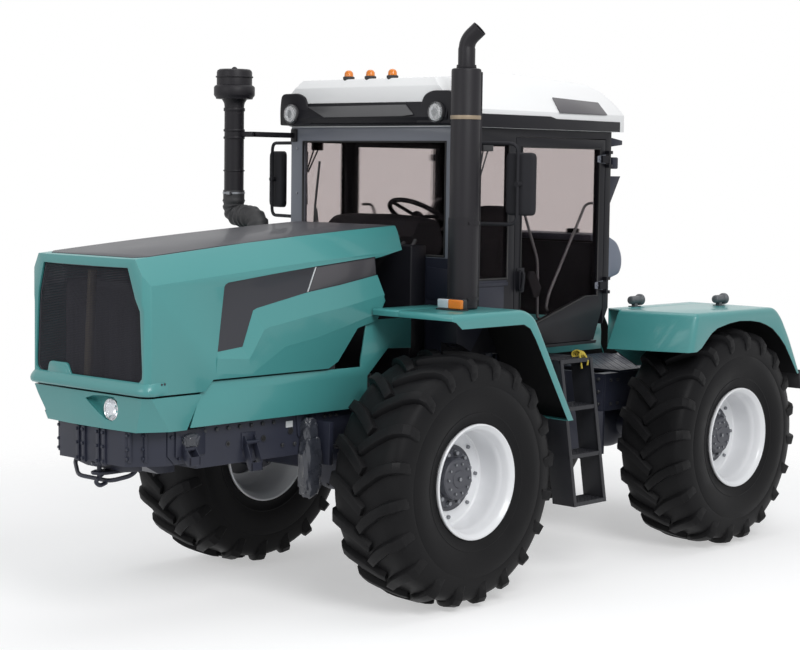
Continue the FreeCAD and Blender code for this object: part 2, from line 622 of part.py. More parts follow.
# ---- cab: floor, walls and pillars as one hollow shell with its openings cut -------------------------
REAR_PILLAR = CAB_REAR + PILLAR
GLASS_HALF = CAB_HALF - 110
REAR_SILL_Z = SILL_Z + 60
SIDE_SILL_Z = 1970.0
SIDE_WINDOW_REAR = DOOR_FRONT + PILLAR
SIDE_WINDOW_FRONT = CAB_FRONT - 90
ARCH_R = TYRE_R + 60       # hollow in the cab's lower corner above the front tyre
ARCH_Y = 630.0


def cab_shell():
    outer = box(CAB_REAR, CAB_FRONT, -CAB_HALF, CAB_HALF, CAB_FLOOR, CAB_TOP)
    inner = box(CAB_REAR + CAB_WALL, CAB_FRONT - CAB_WALL, -CAB_HALF + CAB_WALL, CAB_HALF - CAB_WALL,
                CAB_FLOOR + 60, CAB_TOP - 50)
    shell = outer.cut(inner)
    shell = shell.cut(box(CAB_FRONT - 60, CAB_FRONT + 1, -GLASS_HALF, GLASS_HALF, SILL_Z, GLASS_TOP))
    shell = shell.cut(box(CAB_REAR - 1, CAB_REAR + 60, -GLASS_HALF, GLASS_HALF, REAR_SILL_Z, GLASS_TOP))
    shell = shell.cut(box(SIDE_WINDOW_REAR, SIDE_WINDOW_FRONT, -CAB_HALF - 1, CAB_HALF + 1,
                          SIDE_SILL_Z, GLASS_TOP))
    doorway = box(REAR_PILLAR, DOOR_FRONT, CAB_HALF - CAB_WALL - 1, CAB_HALF + 1,
                  CAB_FLOOR + 20, CAB_TOP - 50)
    arch = rod((FRONT_AXLE, ARCH_Y, WHEEL_Z), (FRONT_AXLE, CAB_HALF + 1, WHEEL_Z), ARCH_R)
    for cut in (doorway, arch):
        shell = shell.cut(cut).cut(mirrored(cut))
    chamfer = prism_y([(CAB_REAR - 1, CAB_FLOOR - 1), (CAB_REAR + 130, CAB_FLOOR - 1),
                       (CAB_REAR - 1, CAB_FLOOR + 240)], -CAB_HALF - 1, CAB_HALF + 1)
    return shell.cut(chamfer).removeSplitter()


add("cab_shell", cab_shell())
add("windshield", box(CAB_FRONT - 30, CAB_FRONT - 30 + GLASS, -GLASS_HALF, GLASS_HALF, SILL_Z, GLASS_TOP))
side_glass = box(SIDE_WINDOW_REAR, SIDE_WINDOW_FRONT, CAB_HALF - 25, CAB_HALF - 25 + GLASS,
                 SIDE_SILL_Z, GLASS_TOP)
rear_glass = box(CAB_REAR + 15, CAB_REAR + 15 + GLASS, -GLASS_HALF, GLASS_HALF, REAR_SILL_Z, GLASS_TOP)
add("cab_windows", side_glass, mirrored(side_glass), rear_glass)


ROOF_WALL = 25.0
ROOF_FACE = CAB_FRONT + 30     # front face of the roof behind the brow
ROOF_FRONT = CAB_FRONT + 82    # where it overhangs the brow
ROOF_CREASE_X = 890.0          # from here the top slopes down to the front
ROOF_CREASE_DROP = 32.0
ROOF_BROW_X = CAB_FRONT + 55
ROOF_BROW_DROP = 55.0
VISOR_FRONT = CAB_FRONT + 105
VISOR_TOP = 3095.0


def roof_outline(inset):
    """Lengthwise outline of the roof cap, rear to front over the top."""
    rear, face, shelf = CAB_REAR - 85 + inset, ROOF_FACE - inset, VISOR_TOP + SEAT_GAP + inset
    return [(rear, CAB_TOP + SEAT_GAP + inset), (rear, ROOF_TOP - 170),
            (CAB_REAR - 40 + inset * 0.7, ROOF_TOP - 85 - inset * 0.7),
            (CAB_REAR + 70, ROOF_TOP - 40 - inset), (400, ROOF_TOP - inset),
            (ROOF_CREASE_X, ROOF_TOP - ROOF_CREASE_DROP - inset),
            (ROOF_BROW_X, ROOF_TOP - ROOF_BROW_DROP - inset),
            (ROOF_FRONT - 4 - inset * 0.6, ROOF_TOP - 108 - inset * 0.6), (ROOF_FRONT - inset, shelf),
            (face, shelf), (face, CAB_TOP + SEAT_GAP + inset)]


def roof_form(inset):
    half = ROOF_HALF - inset
    cap = prism_y(roof_outline(inset), -half, half)
    for s in (-1, 1):
        side = prism_x([(s * (half + 1), CAB_TOP + 115 - inset), (s * (half + 1), ROOF_TOP + 60),
                        (s * (half - 330), ROOF_TOP + 60)], -2000, 2000)
        corner = prism_z([(ROOF_FRONT + 30, s * (half + 1)), (ROOF_FRONT + 30, s * (half - 150)),
                          (ROOF_FRONT - 130, s * (half + 1))], CAB_TOP - 10, ROOF_TOP + 60)
        cap = cap.cut(side).cut(corner)
    return cap.removeSplitter()


def roof():
    """Moulded roof, hollow inside."""
    return roof_form(0).cut(roof_form(ROOF_WALL))


add("cab_roof", roof())


def visor():
    """Dark brow below the roof's front edge that carries the work lamps."""
    back = ROOF_FACE + SEAT_GAP
    outline = [(back, CAB_TOP + 5), (VISOR_FRONT - 20, CAB_TOP + 22), (VISOR_FRONT, CAB_TOP + 60),
               (VISOR_FRONT - 20, VISOR_TOP), (back, VISOR_TOP)]
    return prism_y(outline, -ROOF_HALF + 60, ROOF_HALF - 60)


add("roof_visor", visor())

# ---- rounded tank on the cab's rear wall -------------------------------------------------------------
TANK_HALF = 600.0
TANK_BOTTOM = 1790.0
TANK_TOP = 2240.0
TANK_DEPTH = 382.0


def tank():
    """Rounded moulding against the cab's rear wall, stepped in below."""
    wall = CAB_REAR - SEAT_GAP
    outline = [(wall, TANK_BOTTOM), (wall - 160, TANK_BOTTOM + 10), (wall - 195, TANK_BOTTOM + 60),
               (wall - 235, TANK_BOTTOM + 125), (wall - 350, TANK_BOTTOM + 155),
               (wall - TANK_DEPTH, TANK_BOTTOM + 210), (wall - TANK_DEPTH, TANK_BOTTOM + 290),
               (wall - 325, TANK_BOTTOM + 390), (wall - 180, TANK_TOP),
               (wall, TANK_TOP)]
    body = prism_y(outline, -TANK_HALF, TANK_HALF)
    return rounded(body, 40, (0, 0, 1), lambda mid: mid.x < wall - 300)


add("rear_tank", tank())

# ---- doors, hung on the rear pillars, each with its pane ---------------------------------------------
DOOR_CLEAR = 5.0
DOOR_T = 42.0
DOOR_HINGE_X = REAR_PILLAR - 8
DOOR_HINGE_Y = CAB_HALF + 22
DOOR_HINGE_R = 11.0
DOOR_FRAME_W = 62.0


def door():
    x0, x1 = REAR_PILLAR + DOOR_CLEAR, DOOR_FRONT - DOOR_CLEAR
    z0, z1 = CAB_FLOOR + 20 + DOOR_CLEAR, CAB_TOP - 50 - DOOR_CLEAR
    leaf = prism_y([(x0 + 90, z0), (x1, z0), (x1, z1), (x0, z1), (x0, z0 + 215)],
                   CAB_HALF - DOOR_T, CAB_HALF)
    w = DOOR_FRAME_W
    pane = [(x0 + 190, z0 + 300), (x1 - w - 60, z0 + 110), (x1 - w, z0 + 110), (x1 - w, z1 - w),
            (x0 + w, z1 - w), (x0 + w, z0 + 300)]
    leaf = leaf.cut(prism_y(pane, CAB_HALF - DOOR_T - 1, CAB_HALF + 1))
    hinges = []
    for z in (1860.0, 2720.0):
        barrel = rod((DOOR_HINGE_X, DOOR_HINGE_Y, z), (DOOR_HINGE_X, DOOR_HINGE_Y, z + 70), DOOR_HINGE_R)
        strap = box(DOOR_HINGE_X, x0 + 60, CAB_HALF, DOOR_HINGE_Y + 5, z + 10, z + 60)
        hinges.append(joined(barrel, strap))
    handle = box(x1 - 50, x1 - 20, CAB_HALF, CAB_HALF + 30, 1900, 2020)
    pane_solid = prism_y(pane, CAB_HALF - 24, CAB_HALF - 24 + GLASS)
    return joined(leaf, *hinges, handle), pane_solid


door_leaf, door_pane = door()
for side_name, place in (("left", lambda s: s), ("right", mirrored)):
    add("door_" + side_name, place(door_leaf))
    add("door_glass_" + side_name, place(door_pane))


def door_lugs():
    """Fixed halves of the door hinges, one above and one below each barrel."""
    lugs = []
    for z in (1860.0, 2720.0):
        for z0 in (z - 22 - SEAT_GAP, z + 70 + SEAT_GAP):
            lugs.append(box(DOOR_HINGE_X - 30, DOOR_HINGE_X + DOOR_HINGE_R, CAB_HALF - 10,
                            DOOR_HINGE_Y + DOOR_HINGE_R, z0, z0 + 22))
    return lugs


parts["cab_shell"] = joined(parts["cab_shell"], *door_lugs(), *[mirrored(s) for s in door_lugs()])

# ---- inside the cab: seat, dashboard with column, steering wheel -------------------------------------
SEAT_X = 150.0
cab_deck = CAB_FLOOR + 60


def seat():
    base = box(SEAT_X - 120, SEAT_X + 120, -130, 130, cab_deck + SEAT_GAP, cab_deck + 260)
    cushion = box(SEAT_X - 230, SEAT_X + 260, -250, 250, cab_deck + 260, cab_deck + 370)
    back = prism_y([(SEAT_X - 230, cab_deck + 260), (SEAT_X - 120, cab_deck + 300),
                    (SEAT_X - 190, cab_deck + 890), (SEAT_X - 290, cab_deck + 890)], -230, 230)
    return joined(base, cushion, back)


add("seat", seat())
WHEEL_CENTRE = (700.0, 0.0, 2360.0)
WHEEL_TILT = 32.0
STEERING_R = 205.0
tilt = V(-math.sin(math.radians(WHEEL_TILT)), 0, math.cos(math.radians(WHEEL_TILT)))


def steering_wheel():
    centre = V(*WHEEL_CENTRE)
    ring = Part.makeTorus(STEERING_R, 14, centre, tilt)
    hub = Part.makeCylinder(38, 40, centre - tilt * 20, tilt)
    spokes = []
    flat = V(math.cos(math.radians(WHEEL_TILT)), 0, math.sin(math.radians(WHEEL_TILT)))
    for angle in (90, 210, 330):
        a = math.radians(angle)
        way = flat * math.cos(a) + V(0, 1, 0) * math.sin(a)
        spokes.append(Part.makeCylinder(11, STEERING_R, centre, way))
    return joined(ring, hub, *spokes)


def dashboard():
    front = CAB_FRONT - CAB_WALL - SEAT_GAP
    desk = prism_y([(front, cab_deck + SEAT_GAP), (front, 2240), (front - 60, 2330), (front - 250, 2330),
                    (front - 300, 2180), (front - 240, 2100), (front - 160, cab_deck + SEAT_GAP)], -330, 330)
    centre = V(*WHEEL_CENTRE)
    column = Part.makeCylinder(34, 420, centre - tilt * (20 + SEAT_GAP + 420), tilt)
    foot = prism_y([(860, cab_deck + SEAT_GAP), (960, cab_deck + SEAT_GAP), (960, 2120), (860, 2080)],
                   -90, 90)
    return joined(desk, foot, column)


add("steering_wheel", steering_wheel())
add("dashboard", dashboard())

# ---- mirrors on tube loops from the front pillars ----------------------------------------------------
MIRROR_X = 955.0
MIRROR_Y = 1060.0
MIRROR_W = 200.0
MIRROR_H = 390.0
MIRROR_Z = 2588.0
ARM_R = 11.0


def mirror():
    low, high = MIRROR_Z - 250, MIRROR_Z + 250
    arm_x = MIRROR_X + 45
    root_x = CAB_FRONT - 45
    arm = pipe([(root_x, CAB_HALF + 8, low), (arm_x, MIRROR_Y + 50, low),
                (arm_x, MIRROR_Y + 50, high), (root_x, CAB_HALF + 8, high)], ARM_R, 60)
    feet = [box(root_x - 22, root_x + 22, CAB_HALF + SEAT_GAP, CAB_HALF + 12, z - 25, z + 25)
            for z in (low, high)]
    head = box(MIRROR_X - 22, MIRROR_X + 22, MIRROR_Y - MIRROR_W / 2, MIRROR_Y + MIRROR_W / 2,
               MIRROR_Z - MIRROR_H / 2, MIRROR_Z + MIRROR_H / 2)
    head = rounded(head, 30, (1, 0, 0))
    clamp = rod((MIRROR_X, MIRROR_Y + 50, MIRROR_Z), (arm_x, MIRROR_Y + 50, MIRROR_Z), 16)
    return joined(arm, head, clamp, *feet)


add("mirrors", *both(mirror()).Solids)

# ---- lamps on the roof -------------------------------------------------------------------------------
ROOF_LAMP_X = 1240.0
ROOF_LAMP_Y = 655.0
ROOF_LAMP_Z = 3028.0
ROOF_LAMP_R = 61.0
LAMP_POCKET_GAP = 4.0


def roof_lamp():
    """Round lamp let into the brow, on a peg from the roof's front face."""
    bowl = rod((ROOF_LAMP_X - 30, ROOF_LAMP_Y, ROOF_LAMP_Z), (ROOF_LAMP_X + 30, ROOF_LAMP_Y, ROOF_LAMP_Z),
               ROOF_LAMP_R)
    peg = rod((ROOF_FACE + SEAT_GAP, ROOF_LAMP_Y, ROOF_LAMP_Z), (ROOF_LAMP_X, ROOF_LAMP_Y, ROOF_LAMP_Z), 20)
    return joined(bowl, peg)


pocket = rod((ROOF_FACE, ROOF_LAMP_Y, ROOF_LAMP_Z), (ROOF_LAMP_X + 300, ROOF_LAMP_Y, ROOF_LAMP_Z),
             ROOF_LAMP_R + LAMP_POCKET_GAP)
parts["roof_visor"] = parts["roof_visor"].cut(pocket).cut(mirrored(pocket)).removeSplitter()
add("work_lamps", *both(roof_lamp()).Solids)

BEACON_X = 1172.0
BEACON_PITCH = 197.0
BEACON_R = 36.0


def roof_height(x):
    """Height of the roof's front slope."""
    fall = ROOF_BROW_DROP - ROOF_CREASE_DROP
    return ROOF_TOP - ROOF_CREASE_DROP - fall * (x - ROOF_CREASE_X) / (ROOF_BROW_X - ROOF_CREASE_X)


def beacon(y):
    """Marker lamp whose base lies on the slope of the roof."""
    low = roof_height(BEACON_X - BEACON_R) + SEAT_GAP
    base = Part.makeCylinder(BEACON_R, 36, V(BEACON_X, y, low - 12))
    dome = Part.makeSphere(BEACON_R - 6, V(BEACON_X, y, low + 24))
    back, front = BEACON_X - 60, BEACON_X + 60
    over = prism_y([(back, roof_height(back) + SEAT_GAP), (front, roof_height(front) + SEAT_GAP),
                    (front, low + 300), (back, low + 300)], y - 60, y + 60)
    return joined(base, dome).common(over)


add("beacons", *[beacon(y) for y in (-BEACON_PITCH, 0.0, BEACON_PITCH)])

# ---- exhaust silencer on the left, intake with its bowl on the right ---------------------------------
EXHAUST_X = 1265.0
EXHAUST_Y = 908.0
EXHAUST_R = 92.0
EXHAUST_TOP = 3290.0
TAILPIPE_R = 50.0
NECK_H = 168.0


def exhaust():
    foot = FRONT_FENDER_TOP + SEAT_GAP
    can = rod((EXHAUST_X, EXHAUST_Y, foot), (EXHAUST_X, EXHAUST_Y, EXHAUST_TOP), EXHAUST_R)
    bend = (EXHAUST_X, EXHAUST_Y, EXHAUST_TOP + NECK_H)
    mouth = V(-35, 72, 75)
    neck = pipe([(EXHAUST_X, EXHAUST_Y, EXHAUST_TOP - 20), bend, tuple(V(*bend) + mouth)], TAILPIPE_R, 100)
    inner = pipe([(EXHAUST_X, EXHAUST_Y, EXHAUST_TOP + 20), bend, tuple(V(*bend) + mouth * 1.05)],
                 TAILPIPE_R - 5, 100)
    return joined(can, neck).cut(inner)


add("exhaust_stack", exhaust())

INTAKE_X = 1545.0
INTAKE_Y = -900.0
INTAKE_R = 65.0
ELBOW_R = 78.0
ELBOW_Z = 2345.0
ELBOW_BEND = 112.0
BOWL_Z = 3120.0
BOWL_R = 137.0
BOWL_TOP = 3318.0
BRIM_H = 85.0
CLEANER_Y = -BONNET_HALF - MOVE_GAP - CLEANER_R
CLEANER_Z = 1770.0
CLEANER_REAR = 1215.0
CLEANER_FRONT = 1690.0


def intake():
    """Bowl, column and double elbow down to the air cleaner beside the bonnet."""
    column = rod((INTAKE_X, INTAKE_Y, ELBOW_Z + 155), (INTAKE_X, INTAKE_Y, BOWL_Z), INTAKE_R)
    elbow = pipe([(INTAKE_X, INTAKE_Y, ELBOW_Z + 170), (INTAKE_X, INTAKE_Y, ELBOW_Z),
                  (INTAKE_X, CLEANER_Y, ELBOW_Z), (INTAKE_X, CLEANER_Y, CLEANER_Z)], ELBOW_R, ELBOW_BEND)
    cleaner = rod((CLEANER_REAR, CLEANER_Y, CLEANER_Z), (CLEANER_FRONT, CLEANER_Y, CLEANER_Z), CLEANER_R)
    bowl = rod((INTAKE_X, INTAKE_Y, BOWL_Z), (INTAKE_X, INTAKE_Y, BOWL_TOP), BOWL_R - 13)
    brim = rod((INTAKE_X, INTAKE_Y, BOWL_Z), (INTAKE_X, INTAKE_Y, BOWL_Z + BRIM_H), BOWL_R)
    stay = box(CAB_FRONT + SEAT_GAP, INTAKE_X - 20, -748, -728, 2870, 2905)
    stay_side = box(INTAKE_X - 40, INTAKE_X, INTAKE_Y, -728, 2870, 2905)
    bracket = box(CLEANER_REAR, COWL_FRONT - 10, CLEANER_Y, -COWL_HALF - SEAT_GAP,
                  CLEANER_Z - 20, CLEANER_Z + 20)
    return joined(column, elbow, cleaner, bowl, brim, stay, stay_side, bracket)


add("intake_stack", intake())

# ---- centre hinge: pin, trunnion and the steering cylinders' lugs ------------------------------------
TRUNNION_R = 150.0
TRUNNION_END = -640.0
TRUNNION_Z = 790.0
BEARING_FRONT = -330.0


def hinge_casting():
    low, high = YOKE_LOW + YOKE_T + SEAT_GAP, YOKE_HIGH - SEAT_GAP
    body = rod((0, 0, low), (0, 0, high), YOKE_HALF - 3)
    neck = box(-200, 0, -YOKE_HALF + 3, YOKE_HALF - 3, low + 60, high - 60)
    pin = rod((0, 0, YOKE_LOW - 12), (0, 0, YOKE_HIGH + YOKE_T + 12), STEER_PIN_R)
    collar = rod((-200, 0, TRUNNION_Z), (BEARING_FRONT + SEAT_GAP, 0, TRUNNION_Z), TRUNNION_R + 40)
    trunnion = rod((-200, 0, TRUNNION_Z), (TRUNNION_END, 0, TRUNNION_Z), TRUNNION_R)
    lugs = []
    for z in (CYL_Z - CYL_EYE_T / 2 - LUG_T - SEAT_GAP, CYL_Z + CYL_EYE_T / 2 + SEAT_GAP):
        for s in (-1, 1):
            ys = sorted((s * 60, s * CYL_LUG_Y))
            lugs.append(box(-55, 55, ys[0], ys[1], z, z + LUG_T))
            lugs.append(rod((0, s * CYL_LUG_Y, z), (0, s * CYL_LUG_Y, z + LUG_T), 55))
    return joined(body, neck, pin, collar, trunnion, *lugs)


add("centre_hinge", hinge_casting())


def steering_cylinder(side):
    """Barrel from the anchor on the front frame, rod to the lug on the hinge."""
    anchor = V(CYL_ANCHOR_X, side * CYL_ANCHOR_Y, CYL_Z)
    lug = V(0, side * CYL_LUG_Y, CYL_Z)
    way = (lug - anchor).normalize()
    reach = (lug - anchor).Length
    up = V(0, 0, CYL_EYE_T / 2)
    eye = Part.makeCylinder(42, CYL_EYE_T, anchor - up)
    neck = Part.makeCylinder(CYL_EYE_T / 2 - 1, 80, anchor + way * 25, way)
    tube = Part.makeCylinder(38, reach * 0.55 - 30, anchor + way * 60, way)
    hole = Part.makeCylinder(18 + PIN_GAP, CYL_EYE_T + 2, anchor - up - V(0, 0, 1))
    bore = Part.makeCylinder(20 + PIN_GAP, reach * 0.55 - 40, anchor + way * 75, way)
    barrel = joined(eye, neck, tube).cut(hole).cut(bore)
    stem = Part.makeCylinder(20, reach * 0.72, lug - way * (reach * 0.72), way)
    head = Part.makeCylinder(40, CYL_EYE_T, lug - up)
    return barrel, joined(stem, head)


for side_name, s in (("left", 1), ("right", -1)):
    barrel, stem = steering_cylinder(s)
    add("steer_barrel_" + side_name, barrel)
    add("steer_rod_" + side_name, stem)

# ---- rear half frame: bearing for the trunnion, rails, rear plate, rockshaft -------------------------
REAR_FRAME_END = -2250.0
REAR_RAIL_FRONT = -700.0
ROCKSHAFT_X = -2130.0
ROCKSHAFT_Z = 1335.0
ROCKSHAFT_R = 38.0
HOUSING_HALF = 250.0
LINK_PIN_X = -1990.0
LINK_PIN_Z = 620.0
LINK_Y = 330.0
DECK_Z = 1235.0
DECK_FRONT = -1000.0
DECK_REAR = -1960.0
TOP_LINK_X = ROCKSHAFT_X - 160
TOP_LINK_Z = 1335.0
TOP_LINK_END = (-2790.0, 1205.0)
PTO_Z = 800.0
PTO_R = 17.5
PTO_LENGTH = 100.0
DRAWBAR_Z = 545.0


RAIL_DECK = DECK_Z - 15.0
PLATE_X = REAR_RAIL_FRONT - 120
LINK_PIN_R = 22.0
BOSS_R = 90.0


def roll_bearing():
    """Bearing tube for the trunnion, widened by cheeks to the plate that the rails end on."""
    tube = rod((BEARING_FRONT, 0, TRUNNION_Z), (TRUNNION_END - 20, 0, TRUNNION_Z), TRUNNION_R + 55)
    cheeks = prism_z([(TRUNNION_END + 60, -190), (TRUNNION_END + 60, 190), (PLATE_X, FRAME_HALF),
                      (PLATE_X, -FRAME_HALF)], 640, RAIL_BOTTOM)
    plate = box(PLATE_X - 20, PLATE_X, -FRAME_HALF, FRAME_HALF, 640, RAIL_DECK)
    bore = rod((BEARING_FRONT + 1, 0, TRUNNION_Z), (TRUNNION_END - SEAT_GAP, 0, TRUNNION_Z),
               TRUNNION_R + PIN_GAP)
    return joined(tube, cheeks, plate).cut(bore)


def rear_rails():
    """Two channel rails from the bearing's plate to the rear plate, with a saddle and axle seats."""
    front = PLATE_X - 20 - SEAT_GAP
    pieces = []
    for s in (-1, 1):
        ys = sorted((s * (FRAME_HALF - RAIL_FLANGE), s * FRAME_HALF))
        for z0, z1 in ((RAIL_BOTTOM, RAIL_BOTTOM + RAIL_WEB), (RAIL_DECK - RAIL_WEB, RAIL_DECK)):
            pieces.append(box(REAR_FRAME_END, front, ys[0], ys[1], z0, z1))
        ys = sorted((s * (FRAME_HALF - RAIL_WEB), s * FRAME_HALF))
        pieces.append(box(REAR_FRAME_END, front, ys[0], ys[1], RAIL_BOTTOM, RAIL_DECK))
        ys = sorted((s * (FRAME_HALF - RAIL_WEB), s * (PAD_Y + PAD_HALF)))
        pieces.append(box(REAR_AXLE - 90, REAR_AXLE + 90, ys[0], ys[1], PAD_TOP + SEAT_GAP, RAIL_BOTTOM + 40))
    rear = box(REAR_FRAME_END, REAR_FRAME_END + 25, -FRAME_HALF, FRAME_HALF, RAIL_BOTTOM - 60, RAIL_DECK)
    cross = box(LINK_PIN_X - 30, LINK_PIN_X + 120, -FRAME_HALF + 5, FRAME_HALF - 5,
                RAIL_BOTTOM, RAIL_BOTTOM + 30)
    saddle = box(REAR_FRAME_END, DECK_REAR + 20, -FRAME_HALF, FRAME_HALF, RAIL_DECK - 2 * RAIL_WEB, RAIL_DECK)
    return joined(*pieces, rear, cross, saddle)


def hitch():
    """Plate with the power take-off's boss and stub, cheeks with the link pins, and the drawbar."""
    face, top = REAR_FRAME_END + 25 + SEAT_GAP, RAIL_BOTTOM - SEAT_GAP
    inside = LINK_Y - 60
    plate = box(face, face + 35, -inside, inside, PTO_Z - 130, top)
    pieces = [plate]
    for s in (-1, 1):
        ys = sorted((s * inside, s * (LINK_Y - 40 - SEAT_GAP)))
        pieces.append(prism_y([(face, top), (face, PTO_Z - 130), (LINK_PIN_X - 60, LINK_PIN_Z - 50),
                               (LINK_PIN_X + 60, LINK_PIN_Z - 50), (LINK_PIN_X + 120, top)], *ys))
        ys = sorted((s * inside, s * (LINK_Y + 40)))
        pieces.append(rod((LINK_PIN_X, ys[0], LINK_PIN_Z), (LINK_PIN_X, ys[1], LINK_PIN_Z), LINK_PIN_R))
    boss = rod((face, 0, PTO_Z), (face + 175, 0, PTO_Z), BOSS_R)
    stub = rod((face, 0, PTO_Z), (face - PTO_LENGTH, 0, PTO_Z), PTO_R)
    drawbar = box(REAR_FRAME_END - 190, REAR_FRAME_END + 300, -45, 45, DRAWBAR_Z, DRAWBAR_Z + 40)
    eye = rod((REAR_FRAME_END - 140, 0, DRAWBAR_Z - 1), (REAR_FRAME_END - 140, 0, DRAWBAR_Z + 41), 20)
    strut = box(face, face + 35, -60, 60, DRAWBAR_Z + 20, PTO_Z - 100)
    return joined(*pieces, boss, stub, strut, drawbar).cut(eye)


add("roll_bearing", roll_bearing())
add("rear_rails", rear_rails())
add("hitch", hitch())


def top_gear():
    """Rockshaft housing, bored for its shaft, with the top link's bracket and pin."""
    house = box(ROCKSHAFT_X - 110, ROCKSHAFT_X + 150, -HOUSING_HALF, HOUSING_HALF,
                RAIL_DECK + SEAT_GAP, ROCKSHAFT_Z + 75)
    cheeks = [box(TOP_LINK_X - 45, ROCKSHAFT_X - 100, y, y + 16, TOP_LINK_Z - 60, TOP_LINK_Z + 60)
              for y in (-46, 30)]
    bore = rod((ROCKSHAFT_X, -HOUSING_HALF - 1, ROCKSHAFT_Z), (ROCKSHAFT_X, HOUSING_HALF + 1, ROCKSHAFT_Z),
               ROCKSHAFT_R + PIN_GAP)
    pin = rod((TOP_LINK_X, -46, TOP_LINK_Z), (TOP_LINK_X, 46, TOP_LINK_Z), 16)
    return joined(house, *cheeks, pin).cut(bore)


def deck():
    return box(DECK_REAR, DECK_FRONT, -FRAME_HALF, FRAME_HALF, RAIL_DECK + SEAT_GAP, DECK_Z)


add("deck", deck())
add("rockshaft_housing", top_gear())

# ---- rear mudguards ----------------------------------------------------------------------------------
REAR_FENDER_LOW = REAR_FENDER_TOP - 270
REAR_FENDER_FRONT = ((REAR_AXLE + 690, 640), (REAR_AXLE + 567, FENDER_OUTER))     # of the top, in and out
REAR_FENDER_TOE = ((REAR_AXLE + 824, 620), (REAR_AXLE + 628, FENDER_OUTER))       # of the panel's foot
REAR_FENDER_BREAK = REAR_AXLE - 440     # where the top turns down to the back


def rear_fender():
    """Top, front panel, arched outer skirt and an inner wall down to the rail."""
    skin, top, low, back = FENDER_SKIN, REAR_FENDER_TOP, DECK_Z - 5, REAR_FENDER_BREAK
    plan = [*REAR_FENDER_FRONT, (back, FENDER_OUTER), (back, FENDER_INNER), (REAR_AXLE + 630, FENDER_INNER)]
    lid = prism_z(plan, top - skin, top)
    rims = []
    for line, z in ((REAR_FENDER_TOE, REAR_FENDER_LOW), (REAR_FENDER_FRONT, top)):
        corners = [V(x - d, y, z) for (x, y), d in zip([*line, *line[::-1]], (0, 0, skin, skin))]
        rims.append(Part.makePolygon(corners + corners[:1]))
    panel = Part.makeLoft(rims, True, True)
    bend = [(back, top), (back - 90, top - 70), (back - 200, top - 220), (back - 370, top - 510)]
    arch = [(REAR_FENDER_FRONT[1][0], top), (REAR_FENDER_TOE[1][0], REAR_FENDER_LOW),
            (REAR_AXLE + 530, REAR_FENDER_LOW + 8), (REAR_AXLE + 445, top - 195),
            (REAR_AXLE + 314, top - 115), (REAR_AXLE + 160, top - 88), (REAR_AXLE + 30, top - 78),
            (REAR_AXLE - 230, top - 100),
            (REAR_AXLE - 400, top - 155), (REAR_AXLE - 590, top - 300), (REAR_AXLE - 760, top - 510)]
    skirt = prism_y(arch + bend[::-1], FENDER_OUTER - skin, FENDER_OUTER)
    slope = prism_y(bend + [(back - 382, top - 504), (back - 212, top - 212), (back - 102, top - 60),
                            (back + 4, top + 8)], FENDER_INNER, FENDER_OUTER)
    slope = slope.common(box(back - 1000, 0, -3000, 3000, 0, top))
    wall = prism_y([(REAR_AXLE + 630, top), (REAR_AXLE + 630, REAR_FENDER_LOW), (REAR_AXLE + 280, low),
                    (REAR_AXLE - 570, low), (REAR_AXLE - 570, top - 300)] + bend[2::-1],
                   FENDER_INNER, FENDER_INNER + 10)
    foot = box(REAR_AXLE - 570, REAR_AXLE + 280, FRAME_HALF - 60, FENDER_INNER + 10,
               DECK_Z + SEAT_GAP, DECK_Z + 12)
    return joined(lid, panel, skirt, slope, wall, foot)


add("rear_fenders", *both(rear_fender()).Solids)


REAR_LAMPS = ((REAR_AXLE + 360, 515.0), (REAR_AXLE - 250, 830.0))
REAR_LAMP_R = 30.0
REAR_LAMP_LENGTH = 120.0


def rear_lamp(x, y):
    """Small lamp that faces backwards, on a foot that stands on the mudguard."""
    z = REAR_FENDER_TOP + 48
    body = rod((x + REAR_LAMP_LENGTH / 2, y, z), (x - REAR_LAMP_LENGTH / 2, y, z), REAR_LAMP_R)
    brim = rod((x - REAR_LAMP_LENGTH / 2 + 1, y, z), (x - REAR_LAMP_LENGTH / 2 - 14, y, z), REAR_LAMP_R + 11)
    foot = box(x - 16, x + 16, y - 18, y + 18, REAR_FENDER_TOP + SEAT_GAP, z)
    return joined(body, brim, foot)


rear_lamps = [rear_lamp(x, s * y) for x, y in REAR_LAMPS for s in (1, -1)]
add("tail_lamps", *rear_lamps)

# ---- three-point linkage: lift arms, lift rods, lower links, top link --------------------------------
ARM_LENGTH = 340.0
ARM_Y = LINK_Y + 4
ROD_PIN_R = 12.0
LIFT_ON_LINK = 480.0       # from the link's front pin to the lift rod's eye
BALL_R = 18.4
LINK_T = 34.0
link_end = (TAIL + 48, LINK_PIN_Z - 95)


def lift_arms():
    """The two arms on their common shaft."""
    end_x = ROCKSHAFT_X - ARM_LENGTH
    pieces = [rod((ROCKSHAFT_X, -ARM_Y, ROCKSHAFT_Z), (ROCKSHAFT_X, ARM_Y, ROCKSHAFT_Z), ROCKSHAFT_R)]
    for s in (-1, 1):
        ys = sorted((s * (ARM_Y - 18), s * (ARM_Y + 18)))
        pieces.append(rod((ROCKSHAFT_X, ys[0], ROCKSHAFT_Z), (ROCKSHAFT_X, ys[1], ROCKSHAFT_Z), 72))
        pieces.append(prism_y([(ROCKSHAFT_X, ROCKSHAFT_Z - 50), (ROCKSHAFT_X, ROCKSHAFT_Z + 50),
                               (end_x, ROCKSHAFT_Z + 28), (end_x, ROCKSHAFT_Z - 28)], *ys))
        pieces.append(rod((end_x, ys[0], ROCKSHAFT_Z), (end_x, ys[1], ROCKSHAFT_Z), 36))
        pieces.append(rod((end_x, s * ARM_Y, ROCKSHAFT_Z), (end_x, s * (ARM_Y + 52), ROCKSHAFT_Z), ROD_PIN_R))
    return joined(*pieces)


